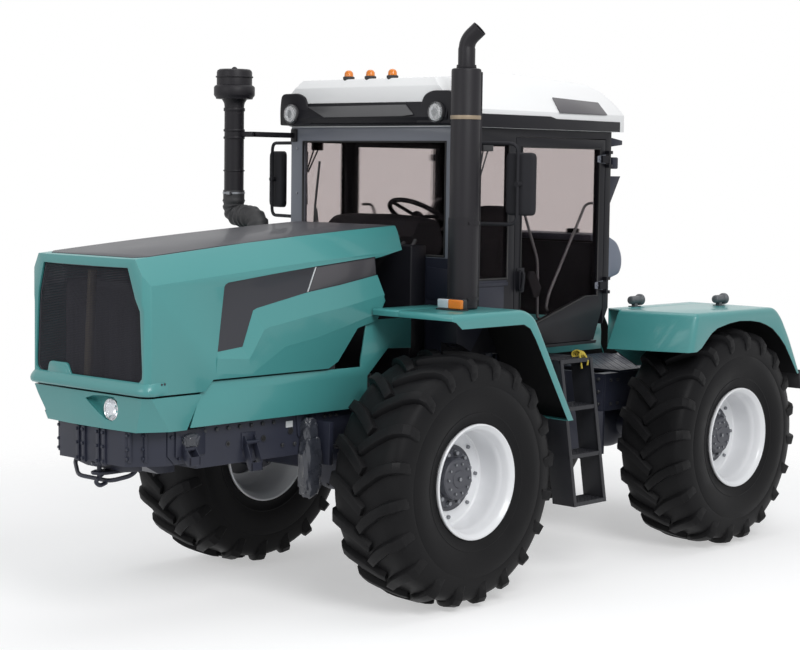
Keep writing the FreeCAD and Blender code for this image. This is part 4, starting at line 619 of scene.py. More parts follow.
plate_grey = finish("plate_grey", (0.058, 0.054, 0.062), 0.38, coat=0.15, size=3.0, change=0.12, dust=0.02)
strip_light = finish("strip_light", (0.62, 0.64, 0.66), 0.3, metal=0.2, change=0.04, dust=0.0)
badge = [(2.15, 2.08), (1.66, 2.124), (1.642, 2.023), (1.962, 1.973), (2.213, 1.943)]
strip = [(2.166, 2.083), (2.156, 2.084), (2.221, 1.938), (2.231, 1.936)]
for hand, side_name in ((1, "left"), (-1, "right")):
    plate = slab("badge_plate_" + side_name, badge, on_side(hand, 0.52), 0.003, 0.001)
    dressed(plate, plate_grey, "bonnet", "black_plastic")
    line = slab("badge_strip_" + side_name, strip, on_side(hand, 0.52), 0.006, 0.001)
    dressed(line, strip_light, "bonnet", "rod_chrome")

# ---- grille ---------------------------------------------------------------------------------------
# Black steel wire mesh bowed into the mouth of the nose, held in a folded rim, with a blank teal tab
# moulded up from the lower lip on the right.


def facing(x, hand=1):
    """Lays a front outline at a distance x from the pin, its depth forwards."""
    return lambda y, z, d: at(x + d, hand * y, z)


def wires(name, paths, radius, resolution=2):
    """Round bars along their own runs of points, as one piece."""
    run = bpy.data.curves.new(name, "CURVE")
    run.dimensions, run.bevel_depth, run.bevel_resolution, run.use_fill_caps = "3D", radius, resolution, True
    for path in paths:
        spline = run.splines.new("POLY")
        spline.points.add(len(path) - 1)
        for point, place in zip(spline.points, path):
            point.co = (*place, 1.0)
    piece = bpy.data.objects.new(name, run)
    bpy.context.collection.objects.link(piece)
    alone(piece)
    bpy.ops.object.convert(target="MESH")
    edit(piece)
    closed_up(1e-6)
    return piece


mesh_black = finish("mesh_black", (0.03, 0.03, 0.04), 0.42, metal=0.2, change=0.2, size=3.0, dust=0.05)
mouth = [(0.43, 1.45), (0.485, 1.5), (0.488, 1.54), (0.468, 1.87), (0.385, 2.111)]


def grille_x(y, z):
    """How far forward the mesh stands: bowed across the mouth, leaning back near its top."""
    lean = 3.442 + max(0.0, z - 1.872) * 0.195
    bow = 3.488 if abs(y) < 0.15 else 3.488 - (abs(y) - 0.15) * 0.1124
    return min(lean, bow) - 0.006


def mouth_half(z):
    """Half the mouth's width at a height."""
    for (y0, z0), (y1, z1) in zip(mouth, mouth[1:]):
        if z <= z1:
            return y0 + (y1 - y0) * max(0.0, z - z0) / (z1 - z0) + 0.008
    return mouth[-1][0]


MESH_PITCH = 0.0095
paths = []
for k in range(int(0.96 / MESH_PITCH) + 1):
    y = -0.48 + k * MESH_PITCH
    heights = [1.442 + j * 0.0165 for j in range(41)]
    kept = [z for z in heights if abs(y) <= mouth_half(z) and z <= 2.12]
    if len(kept) > 1:
        paths.append([at(grille_x(y, z), y, z) for z in (kept[0], 1.66, 1.872, 1.99, kept[-1])
            if kept[0] <= z <= kept[-1]])
upright_wires = wires("grille_uprights", paths, 0.0016, 0)
paths = []
for k in range(int(0.66 / MESH_PITCH) + 1):
    z = 1.443 + k * MESH_PITCH
    half = mouth_half(z)
    ys = [half * (j - 6) / 6 for j in range(13)]
    paths.append([at(grille_x(y, z) - 0.002, y, z) for y in ys])
cross_wires = wires("grille_cross_wires", paths, 0.0016, 0)
outline = [(y, z) for y, z in mouth] + [(-y, z) for y, z in mouth[::-1]]
outline.append(outline[0])
dense = []
for (y0, z0), (y1, z1) in zip(outline, outline[1:]):
    dense += [(y0 + (y1 - y0) * j / 8, z0 + (z1 - z0) * j / 8) for j in range(8)]
rim_wire = wires("grille_rim", [[at(grille_x(y, z) - 0.004, y, z) for y, z in dense + dense[:1]]], 0.007, 2)
dressed(fused("grille_mesh", [upright_wires, cross_wires, rim_wire]), mesh_black, "bonnet",
    "black_plastic", "grille", smooth=50.0)
tab = [(-0.385, 1.44), (-0.366, 1.515), (-0.356, 1.532), (-0.34, 1.538), (-0.205, 1.538), (-0.19, 1.532),
    (-0.178, 1.512), (-0.14, 1.44)]
nose_tab = slab("nose_tab", tab, facing(3.438), 0.018, 0.005)
dressed(nose_tab, teal, "bonnet", "green_paint")
inset_tab = [(y * 0.72 - 0.073, 1.489 + (z - 1.489) * 0.68) for y, z in tab]
tab_face = slab("nose_tab_face", inset_tab, facing(3.4545), 0.0035, 0.0012)
dressed(tab_face, teal, "bonnet", "green_paint")
guide = wires("grille_guide", [run_of(1, (3.38, -0.05, 2.08), (3.38, -0.07, 1.76), (3.38, -0.09, 1.455))],
    0.026, 3)
dressed(guide, finish("guide_brown", (0.17, 0.135, 0.085), 0.5, change=0.1, dust=0.0), "bonnet",
    "black_plastic")
corner_bolts = bolt_heads("nose_corner_bolts", (0, 1, 0), 0.014, 0.006,
    [at(x, 0.53, z) for x, z in ((3.392, 1.462), (3.352, 1.466), (3.33, 1.467))])
dressed(corner_bolts, mesh_black, "bonnet", "rod_chrome", smooth=20.0)

# ---- radiator and engine behind the grille --------------------------------------------------------
# The radiator core is black finned aluminium, held in a steel frame on the front rails. The engine block
# and the gearbox are painted iron castings bolted between the rails.
core_black = finish("radiator_core", (0.034, 0.034, 0.044), 0.55, metal=0.3, change=0.4, size=4.0,
    dust=0.1, dust_top=2.5, bump=0.15)
cast_grey = finish("cast_grey", (0.085, 0.09, 0.1), 0.52, change=0.25, size=5.0, dust=0.25, dust_top=1.6,
    grain=160.0, bump=0.3)
core = softened("radiator", "radiator_body", 0.006, 2)
choose(core, "faces", lambda mid, normal: abs(normal.x) > 0.9)
bpy.ops.mesh.inset(thickness=0.035)
bpy.ops.transform.resize(value=(0.8, 1.0, 1.0), center_override=(PIN_X + 3.22, 0, 1.6))
leave()
dressed(core, core_black, "front", "radiator_core", "radiator")
fins = wires("radiator_fins", [run_of(1, (3.288, -0.375 + 0.0125 * k, 1.245),
    (3.288, -0.375 + 0.0125 * k, 1.97)) for k in range(61)], 0.0018, 0)
dressed(fins, core_black, "front", "radiator_core")
for node, name in (("engine_block", "engine_casting"), ("transmission", "gearbox_casting")):
    dressed(softened(node, name, 0.012, 3, 25), cast_grey, "front", "cast_housing", node)

# ---- nose panel, headlamp and side panels ---------------------------------------------------------
# Moulded teal panels below the bonnet. The bumper has a pointed hollow round its one headlamp, a chromed
# reflector behind a clear domed lens, and a narrow dark vent at the other corner.
chrome = finish("lamp_chrome", (0.72, 0.72, 0.73), 0.12, metal=1.0, change=0.02, dust=0.0, bump=0.0)


def clear_glass(name, color, rough=0.03, alpha=1.0, bending=1.15, share=1.0, coat=0.0):
    """Thin glass, or a lens whose body scatters the rest of the share in its own colour."""
    material = bpy.data.materials.new(name)
    material.use_nodes = True
    shader = material.node_tree.nodes["Principled BSDF"]
    shader.inputs["Base Color"].default_value = (*color, 1)
    shader.inputs["Roughness"].default_value = rough
    shader.inputs["Transmission Weight"].default_value = share
    shader.inputs["IOR"].default_value = bending
    shader.inputs["Alpha"].default_value = alpha
    shader.inputs["Coat Weight"].default_value = coat
    return material


lens_glass = clear_glass("lens_glass", (0.92, 0.94, 0.96))
almond = [(-0.012, 1.352), (0.06, 1.374), (0.16, 1.382), (0.245, 1.38), (0.272, 1.36), (0.276, 1.31),
    (0.252, 1.262), (0.215, 1.24), (0.165, 1.246), (0.095, 1.282), (0.035, 1.32)]
bumper = softened("nose_panel", "nose_bumper", 0)
cut_out(bumper, loft("lamp_cutter", [[at(x, y, z) for y, z in almond] for x in (3.3, 3.5)]))
vent = [(-0.508, 1.368), (-0.49, 1.366), (-0.412, 1.24), (-0.42, 1.232), (-0.436, 1.24)]
cut_out(bumper, loft("vent_cutter", [[at(x, y, z) for y, z in vent] for x in (3.3, 3.52)]))
bevelled(bumper, 0.004, 3, 25)
dressed(bumper, teal, "front", "green_paint", "nose_panel", smooth=30.0)
hollow = loft("lamp_hollow", [[at(x, 0.19 + (y - 0.19) * share, 1.31 + (z - 1.31) * share)
    for y, z in almond] for share, x in ((1.03, 3.4485), (0.98, 3.436), (0.9, 3.418), (0.7, 3.404))],
    (False, True))
applied(hollow, "SOLIDIFY", thickness=0.003, offset=0.0)
dressed(hollow, teal, "front", "green_paint", smooth=40.0)
vent_back = slab("nose_vent_back", vent, lambda y, z, d: at(3.405 + d - (abs(y) - 0.41) * 0.3, y, z), 0.004)
dressed(vent_back, mesh_black, "front", "black_plastic")

lamp_shell = [(0.0, 0.0), (0.02, 0.0), (0.045, 0.02), (0.06, 0.052), (0.0625, 0.06), (0.0605, 0.062),
    (0.056, 0.055), (0.042, 0.026), (0.018, 0.008), (0.0, 0.008)]
lamp_lens = [(0.0, 0.068), (0.02, 0.0675), (0.04, 0.0645), (0.055, 0.059), (0.0595, 0.055), (0.058, 0.052),
    (0.053, 0.0555), (0.04, 0.0605), (0.02, 0.0635), (0.0, 0.064)]
lamp_bulb = [(0.0, 0.008), (0.011, 0.008), (0.011, 0.026), (0.007, 0.03), (0.007, 0.04), (0.0, 0.043)]
face_front = Matrix.Rotation(math.radians(-90), 4, "Z")


def turned(name, section, place, steps):
    """A body turned about the Y axis and set in its place."""
    master = spun(name + "_master", section, (0, 0, 0), steps)
    piece = twin(master, name, place)
    bpy.data.objects.remove(master)
    return piece


lamp_place = Matrix.Translation(at(3.392, 0.21, 1.306)) @ face_front
shells = [turned("lamp_part", section, lamp_place, 40) for section in (lamp_shell, lamp_bulb)]
dressed(fused("headlamp_reflector", shells), chrome, "front", "lamp_glass", "headlamp", smooth=60.0)
dressed(turned("headlamp_lens", lamp_lens, lamp_place, 40), lens_glass, "front", "lamp_glass", smooth=60.0)

dressed(softened("side_panels", "side_panel_sheets", 0.003, 2, 30), teal, "front", "green_paint",
    "side_panels")

# ---- front mudguards ------------------------------------------------------------------------------
# Pressed steel sheets over the front tyres in teal, with a deep rounded skirt and a turned-down front
# lip, each on two bent stays; the underside is black undercoat.
GUARD_SIDE = 1.2       # the mudguards' outer edge from the middle
GUARD_SKIN = 0.013
undercoat = finish("undercoat", (0.01, 0.01, 0.011), 0.75, change=0.2, dust=0.08, bump=0.2, shine=0.2)


def eased(points, radius, steps=4):
    """A bent line whose corners are rounded by arcs."""
    points = [Vector(p) for p in points]
    line = [points[0]]
    for before, corner, after in zip(points, points[1:], points[2:]):
        a, b = (before - corner), (after - corner)
        reach = min(radius, a.length * 0.45, b.length * 0.45)
        first, last = corner + a.normalized() * reach, corner + b.normalized() * reach
        for i in range(steps + 1):
            t = i / steps
            line.append(first * (1 - t) ** 2 + corner * 2 * t * (1 - t) + last * t ** 2)
    return line + [points[-1]]


def hooded(name, inner, outer, rounded, opened, reach, skin, steps=4):
    """A folded sheet: a block between two outlines, its edges rounded, opened and given its thickness."""
    hood = loft(name, [inner, outer])
    choose(hood, "edges", rounded)
    bpy.ops.mesh.bevel(offset=reach, segments=steps, affect="EDGES", clamp_overlap=True)
    choose(hood, "faces", opened)
    bpy.ops.mesh.delete(type="FACE")
    leave()
    return applied(hood, "SOLIDIFY", thickness=skin, offset=-1.0)


def near_line(mid, line, reach):
    """True if a middle lies at the middle of one of a side outline's runs."""
    return any((Vector((mid.x - PIN_X, mid.z)) - (Vector(a) + Vector(b)) / 2).length < reach
        for a, b in zip(line, line[1:]))


def undercoated(piece, test):
    """Paints the faces below a sheet, those inside its skirt and those that pass the test black."""
    painted(piece, teal, undercoat)
    for face in piece.data.polygons:
        mid, normal = face.center, face.normal
        in_skirt = abs(mid.y) > 1.18 and normal.y * mid.y < 0 and abs(normal.y) > 0.5
        face.material_index = 1 if normal.z < -0.25 or in_skirt or test(mid, normal) else 0


guard_top = [(0.485, 1.08), (0.84, 1.665), (0.91, 1.77), (1.01, 1.815), (1.69, 1.815)]
guard_low = [(1.69, 1.773), (1.655, 1.764), (1.6, 1.722), (1.02, 1.722), (0.955, 1.692), (0.9, 1.622),
    (0.56, 1.08)]
sheets = []
for hand, wing_in in ((1, 0.542), (-1, 0.762)):
    top_line = eased(guard_top, 0.06, 4)
    inner, outer = (stood(top_line + guard_low, hand * y) for y in (0.761, GUARD_SIDE))
    sheet = hooded("front_guard", inner, outer, lambda mid, way: (abs(mid.y) > 1.199
        and abs(mid.z - 1.8) < 0.9 and near_line(mid, top_line, 1e-4)) or (abs(way.y) > 0.9
        and mid.x > PIN_X + 1.68 and mid.z > 1.8), lambda mid, normal: abs(mid.y) < 0.7615
        or (abs(normal.y) < 0.6 and near_line(mid, guard_low + guard_top[:1], 0.004)), 0.026, GUARD_SKIN, 5)
    sheets.append(sheet)
    if hand > 0:
        wing = slab("front_wing", [(1.166, wing_in), (1.166, 0.7605), (1.676, 0.7605), (1.676, wing_in)],
            lambda x, y, d: at(x, hand * y, 1.801 + d), 0.0135)
        lip = slab("front_wing_lip", [(1.676, 1.773), (1.69, 1.773), (1.69, 1.806), (1.681, 1.815),
            (1.676, 1.815)], on_side(hand, wing_in), 0.7605 - wing_in)
        sheets += [wing, lip]
guards = bevelled(fused("front_mudguards", sheets), 0.0025, 2, 50)
undercoated(guards, lambda mid, normal: normal.x < -0.8 and mid.x > PIN_X + 1.66)
dressed(guards, None, "front", "green_paint", "front_fenders", smooth=35.0)
stay_paths = []
for hand in (1, -1):
    for x in (1.1, 1.52):
        stay_paths.append(run_of(hand, (x, 0.775, 1.79), (x, 1.15, 1.79), (x, 1.18, 1.76)))
dressed(wires("front_guard_stays", stay_paths, 0.01, 1), undercoat, "front", "chassis_paint")

# ---- turn lamp on the left mudguard ---------------------------------------------------------------
# A moulded lamp on a black rubber foot, its outer half amber and its inner half clear, with a moulded
# grid behind each half.
lamp_rubber = finish("lamp_rubber", (0.018, 0.018, 0.02), 0.6, change=0.1, dust=0.05)
amber = clear_glass("amber_lens", (0.86, 0.25, 0.022), 0.25, 1.0, 1.3, 0.15, 0.5)
clear_lens = clear_glass("clear_lens", (0.62, 0.68, 0.74), 0.22, 1.0, 1.3, 0.25, 0.5)


def rounded_block(name, low, high, width, segments=3):
    """A block between two corners whose edges are rounded."""
    alone()
    bpy.ops.mesh.primitive_cube_add(size=1.0)
    block = named(name)
    mesh = edit(block)
    for corner in mesh.verts:
        corner.co = [a if c < 0 else b for c, a, b in zip(corner.co, low, high)]
    bmesh.update_edit_mesh(block.data)
    leave()
    return bevelled(block, width, segments, 30)


def boxed(name, x, y, z, width, segments=3):
    """The same from ranges measured from the steering pin, middle and ground."""
    return rounded_block(name, at(x[0], min(y), z[0]), at(x[1], max(y), z[1]), width, segments)


lamp_foot = boxed("turn_lamp_foot", (1.372, 1.44), (0.84, 1.052), (1.8155, 1.824), 0.003)
dressed(lamp_foot, lamp_rubber, "front", "black_plastic")
lamp_body = boxed("turn_lamp_body", (1.38, 1.412), (0.846, 1.046), (1.824, 1.884), 0.006)
dressed(lamp_body, lamp_rubber, "front", "black_plastic")
dressed(boxed("turn_lens_amber", (1.411, 1.438), (0.938, 1.044), (1.8265, 1.8825), 0.007), amber, "front",
    "amber_lens")
dressed(boxed("turn_lens_clear", (1.411, 1.436), (0.848, 0.9365), (1.8265, 1.8825), 0.007), clear_lens,
    "front", "lamp_glass")
ribs = wires("turn_lens_ribs", [run_of(1, (1.4385, y, 1.832), (1.4385, y, 1.877))
    for y in [0.948 + 0.0115 * k for k in range(9)]], 0.0016, 0)
dressed(ribs, amber, "front", "amber_lens")

# ---- rear mudguards -------------------------------------------------------------------------------
# Pressed teal sheets on the rear frame. Top, slanted front panel, arched skirt and back slope run into
# one another over wide bends; a black rubber flap hangs from the back edge.
AXLE = -1.43
arch = [(AXLE + 0.628, 1.43), (AXLE + 0.56, 1.432), (AXLE + 0.505, 1.455), (AXLE + 0.445, 1.505),
    (AXLE + 0.385, 1.552), (AXLE + 0.314, 1.585), (AXLE + 0.16, 1.612), (AXLE + 0.03, 1.622),
    (AXLE - 0.11, 1.616), (AXLE - 0.23, 1.6), (AXLE - 0.32, 1.575), (AXLE - 0.4, 1.545),
    (AXLE - 0.5, 1.478), (AXLE - 0.59, 1.4), (AXLE - 0.68, 1.29), (AXLE - 0.76, 1.19)]
back = AXLE - 0.44
slope = [(back - 0.37, 1.19), (back - 0.29, 1.33), (back - 0.2, 1.48), (back - 0.09, 1.63), (back, 1.7)]
sheets = []
for hand in (1, -1):
    over = eased(slope + [(AXLE + 0.567, 1.7)], 0.05, 3)
    outer = stood(over, hand * GUARD_SIDE) + stood(arch, hand * GUARD_SIDE)
    inner = stood(over[:-1], hand * 0.62) + run_of(hand, (AXLE + 0.69, 0.62, 1.7),
        (AXLE + 0.824, 0.62, 1.43))
    inner += stood(arch[1:], hand * 0.62)
    sheet = hooded("rear_guard", inner, outer, lambda mid, way: (abs(mid.y) > 1.1999
        and (mid.z > 1.66 or (mid.x < PIN_X + back and near_line(mid, over, 1e-4))
        or (mid.x > PIN_X + AXLE + 0.57 and mid.z > 1.45 and abs(way.z) > 0.8)))
        or (abs(way.y) > 0.7 and mid.x > PIN_X + AXLE + 0.6 and mid.z > 1.69),
        lambda mid, normal: abs(mid.y) < 0.6205 or (abs(normal.y) < 0.75 and mid.z < 1.66
        and normal.z < -0.02 and mid.x < PIN_X + AXLE + 0.72 and near_line(mid, arch + slope[:1], 0.11)),
        0.034, GUARD_SKIN, 5)
    sheets.append(sheet)
    near = eased(slope + [(AXLE + 0.69, 1.7)], 0.05, 3)
    lid = stood(near[:-1], hand * 0.481) + [at(AXLE + 0.63, hand * 0.481, 1.7)]
    far = stood(near[:-1], hand * 0.6205) + [at(AXLE + 0.69, hand * 0.6205, 1.7)]
    below = [Vector((0, 0, -0.012))] * len(lid)
    strip = loft("rear_guard_inner", [lid + [p + d for p, d in zip(lid, below)][::-1],
        far + [p + d for p, d in zip(far, below)][::-1]])
    sheets.append(strip)
    wall_plan = [(AXLE + 0.63, 1.7), (AXLE + 0.63, 1.43), (AXLE + 0.28, 1.262), (AXLE - 0.57, 1.262),
        (AXLE - 0.57, 1.4), (back - 0.1, 1.6), (back, 1.69)]
    sheets.append(slab("rear_guard_wall", wall_plan, on_side(hand, 0.481), 0.009, 0.0))
rear_guards = bevelled(fused("rear_mudguards", sheets), 0.0025, 2, 50)
undercoated(rear_guards, lambda mid, normal: (normal.x < -0.6 and mid.x > PIN_X + AXLE + 0.5)
    or (normal.x > 0.6 and mid.x < PIN_X + back))
dressed(rear_guards, None, "rear", "green_paint", "rear_fenders", smooth=35.0)
flaps = []
for hand in (1, -1):
    flaps.append(slab("flap", [(back - 0.352, 1.215), (back - 0.382, 1.215), (back - 0.396, 1.08),
        (back - 0.376, 1.072)], on_side(hand, 0.5), 0.695, 0.003))
dressed(fused("rear_guard_flaps", flaps), lamp_rubber, "rear", "black_plastic")
guard_bolts = bolt_heads("rear_guard_bolts", (1, 0, 0), 0.018, 0.008,
    [at(AXLE + 0.665, hand * 0.7, 1.64) for hand in (1, -1)])
dressed(guard_bolts, nut_steel, "rear", "rod_chrome")

# ---- tail lamps -----------------------------------------------------------------------------------
# Two small round lamps on each rear mudguard: a grey die-cast body with a brim and an amber lens, on a
# pressed foot screwed to the mudguard's top.
lamp_grey = finish("lamp_grey", (0.115, 0.12, 0.13), 0.42, metal=0.3, change=0.15, dust=0.1, bump=0.1)
tail_section = [(0.0, -0.06), (0.018, -0.06), (0.028, -0.052), (0.03, -0.04), (0.03, 0.042), (0.041, 0.05),
    (0.041, 0.072), (0.036, 0.072), (0.034, 0.06), (0.0, 0.06)]
tail_glass = [(0.0, 0.061), (0.033, 0.061), (0.033, 0.066), (0.024, 0.071), (0.0, 0.073)]
face_back = Matrix.Rotation(math.radians(90), 4, "Z")
bodies, lenses = [], []
for x, y in ((AXLE + 0.36, 0.515), (AXLE - 0.25, 0.83)):
    for hand in (1, -1):
        place = Matrix.Translation(at(x, hand * y, 1.748)) @ face_back
        bodies.append(turned("tail_body", tail_section, place, 28))
        lenses.append(turned("tail_lens", tail_glass, place, 28))
        bodies.append(rounded_block("tail_foot", at(x - 0.016, hand * y - 0.018, 1.7005),
            at(x + 0.016, hand * y + 0.018, 1.735), 0.004))
        bodies.append(rounded_block("tail_pad", at(x - 0.04, hand * y - 0.028, 1.7003),
            at(x + 0.04, hand * y + 0.028, 1.706), 0.002))
dressed(fused("tail_lamp_bodies", bodies), lamp_grey, "rear", "amber_lens", "tail_lamps", smooth=40.0)
dressed(fused("tail_lamp_lenses", lenses), amber, "rear", "amber_lens", smooth=40.0)

# ---- boarding ladders -----------------------------------------------------------------------------
# Two folded steel cheeks under each door with four treads of punched, raised grating, painted black.
# A yellow webbing strap is tied round the left ladder's top rung.
step_black = finish("step_black", (0.018, 0.019, 0.024), 0.48, change=0.2, dust=0.06, dust_top=1.3,
    bump=0.15, shine=0.35)
LADDER_X = (0.03, 0.375)        # its rear and front face
TREADS = 4
step_pieces = []
for hand in (1, -1):
    for x0, x1 in ((LADDER_X[0], LADDER_X[0] + 0.012), (LADDER_X[1] - 0.012, LADDER_X[1])):
        cheek = [(0.8, 1.44), (0.98, 1.44), (1.12, 0.49), (0.94, 0.49)]
        step_pieces.append(slab("ladder_cheek", cheek, facing(x0, hand), 0.012, 0.003))
        edge = slab("ladder_edge", [(0.977, 1.44), (0.982, 1.44), (1.122, 0.49), (1.117, 0.49)],
            facing(x0 if x0 < 0.1 else x1 - 0.03, hand), 0.03, 0.001)
        step_pieces.append(edge)
    for i in range(TREADS):
        share = i / (TREADS - 1)
        z = 0.49 + share * 0.924
        out = 1.12 - share * 0.14
        for y0 in (out - 0.178, out - 0.008):
            step_pieces.append(boxed("tread_rail", LADDER_X, (hand * y0, hand * (y0 + 0.008)),
                (z, z + 0.026), 0.001, 1))
        for k in range(9):
            x = LADDER_X[0] + 0.014 + k * (LADDER_X[1] - LADDER_X[0] - 0.034) / 8
            step_pieces.append(boxed("tread_bar", (x, x + 0.006), (hand * (out - 0.174),
                hand * (out - 0.006)), (z + 0.004, z + 0.024), 0.001, 1))
        for k in range(5):
            y = out - 0.15 + 0.032 * k
            step_pieces.append(boxed("tread_cross", LADDER_X, (hand * y, hand * (y + 0.004)),
                (z + 0.01, z + 0.027), 0.001, 1))
    step_pieces.append(boxed("ladder_brace", LADDER_X, (hand * 0.4405, hand * 0.815), (1.38, 1.44), 0.004,
        2))
dressed(fused("ladders_built", step_pieces), step_black, "front", "chassis_paint", "ladders", smooth=30.0)
strap_yellow = finish("strap_yellow", (0.52, 0.4, 0.05), 0.7, change=0.15, grain=900.0, bump=0.3)
turns = []
for k in range(3):
    path = []
    for i in range(25):
        angle = i * math.tau / 24
        path.append(at(0.06 + 0.022 * k + 0.004 * math.sin(angle * 2 + k), 0.905 + 0.036 * math.cos(angle),
            1.455 + (0.02 + 0.004 * k) * math.sin(angle)))
    turns.append(path)
turns.append(run_of(1, (0.11, 0.93, 1.462), (0.125, 0.955, 1.44), (0.13, 0.965, 1.4), (0.126, 0.968, 1.37)))
turns.append(run_of(1, (0.08, 0.93, 1.47), (0.082, 0.965, 1.45), (0.076, 0.978, 1.415),
    (0.084, 0.98, 1.39)))
dressed(wires("tied_strap", turns, 0.0065, 1), strap_yellow, "front", "amber_lens", smooth=60.0)

# ---- cab ------------------------------------------------------------------------------------------
# A welded steel cab: slate blue pillars and header round the windscreen, black side frames and doors,
# and a dark blue front panel with a raised field. Black rubber strips seal the panes.
slate = finish("cab_slate", (0.16, 0.172, 0.205), 0.42, coat=0.15, size=3.0, change=0.1, dust=0.05)
side_blue = finish("cab_side_blue", (0.018, 0.02, 0.033), 0.42, size=3.0, change=0.12, dust=0.04,
    shine=0.25)
frame_black = finish("frame_black", (0.007, 0.007, 0.01), 0.44, size=3.0, change=0.15, dust=0.02,
    shine=0.22)
trim_black = finish("trim_black", (0.03, 0.03, 0.034), 0.62, change=0.15, dust=0.0, grain=300.0, bump=0.03,
    shine=0.06)
seal_rubber = finish("seal_rubber", (0.01, 0.01, 0.011), 0.6, change=0.1, dust=0.05)

body = softened("cab_shell", "cab_body", 0.01, 3, 40)
WINDSCREEN_FOOT = 2.112
mesh = edit(body)
bmesh.ops.bisect_plane(mesh, geom=mesh.verts[:] + mesh.edges[:] + mesh.faces[:],
    plane_co=(0, 0, WINDSCREEN_FOOT), plane_no=(0, 0, 1))
bmesh.update_edit_mesh(body.data)
leave()
painted(body, frame_black, slate, side_blue, trim_black)
for face in body.data.polygons:
    mid, way = face.center, face.normal
    x, side = mid.x - PIN_X, abs(mid.y)
    inside = (side < 0.716 and x < 1.106 and x > -0.376) and not (way.z < -0.9 and mid.z < 1.53)
    if x > 1.085 and mid.z > WINDSCREEN_FOOT:
        face.material_index = 1
    elif (x > 1.08 and way.x > 0.3) or (x > 0.66 and mid.z < 1.96 and side > 0.74):
        face.material_index = 2
    elif inside:
        face.material_index = 3
dressed(body, None, "front", "cab_paint", "cab_shell", smooth=35.0)

seals = []
for hand in (1, -1):
    corners = [(0.664, 1.974), (1.056, 1.974), (1.056, 2.846), (0.664, 2.846)]
    seals.append([at(x, hand * 0.757, z) for x, z in corners + corners[:2]])
for x, low in ((1.1475, 2.124), (-0.4175, 2.184)):
    corners = [(-0.646, low), (0.646, low), (0.646, 2.846), (-0.646, 2.846)]
    seals.append([at(x, y, z) for y, z in corners + corners[:2]])
dressed(wires("pane_seals", seals, 0.009, 1), seal_rubber, "front", "black_plastic", smooth=60.0)
panels = []
for hand in (1, -1):
    field = [(0.505, 1.85), (0.725, 1.85), (0.725, 2.04), (0.505, 2.055)]
    panels.append(slab("front_field", field, facing(1.148, hand), 0.009, 0.003))
    field = [(0.7, 1.56), (1.1, 1.82), (1.1, 1.925), (0.7, 1.925)]
    panels.append(slab("side_field", field, on_side(hand, 0.7585), 0.006, 0.002))
    panels.append(boxed("sill_rail", (0.66, 1.12), (hand * 0.752, hand * 0.766), (1.93, 1.952), 0.003, 2))
dressed(fused("cab_fields", panels), side_blue, "front", "cab_paint")
cab_bolts = bolt_heads("cab_bolts", (1, 0, 0), 0.016, 0.007, [at(1.15, hand * y, z) for hand in (1, -1)
    for y, z in ((0.7, 2.2), (0.7, 2.5), (0.7, 2.8), (0.52, 1.8), (0.6, 1.8), (0.68, 1.8))])
dressed(cab_bolts, nut_steel, "front", "rod_chrome")

# ---- panes ----------------------------------------------------------------------------------------
# Flat toughened glass with a faint warm grey tint. The windscreen and the side and rear panes are bonded
# into the cab, and each door carries its own.
pane_glass = clear_glass("pane_glass", (0.389, 0.326, 0.32), 0.01, 0.5, 1.01)
for node, owner in (("windshield", "front"), ("cab_windows", "front"), ("door_glass_left", "door_left"),
        ("door_glass_right", "door_right")):
    dressed(softened(node, node + "_pane", 0), pane_glass, owner, "tinted_glass", node)

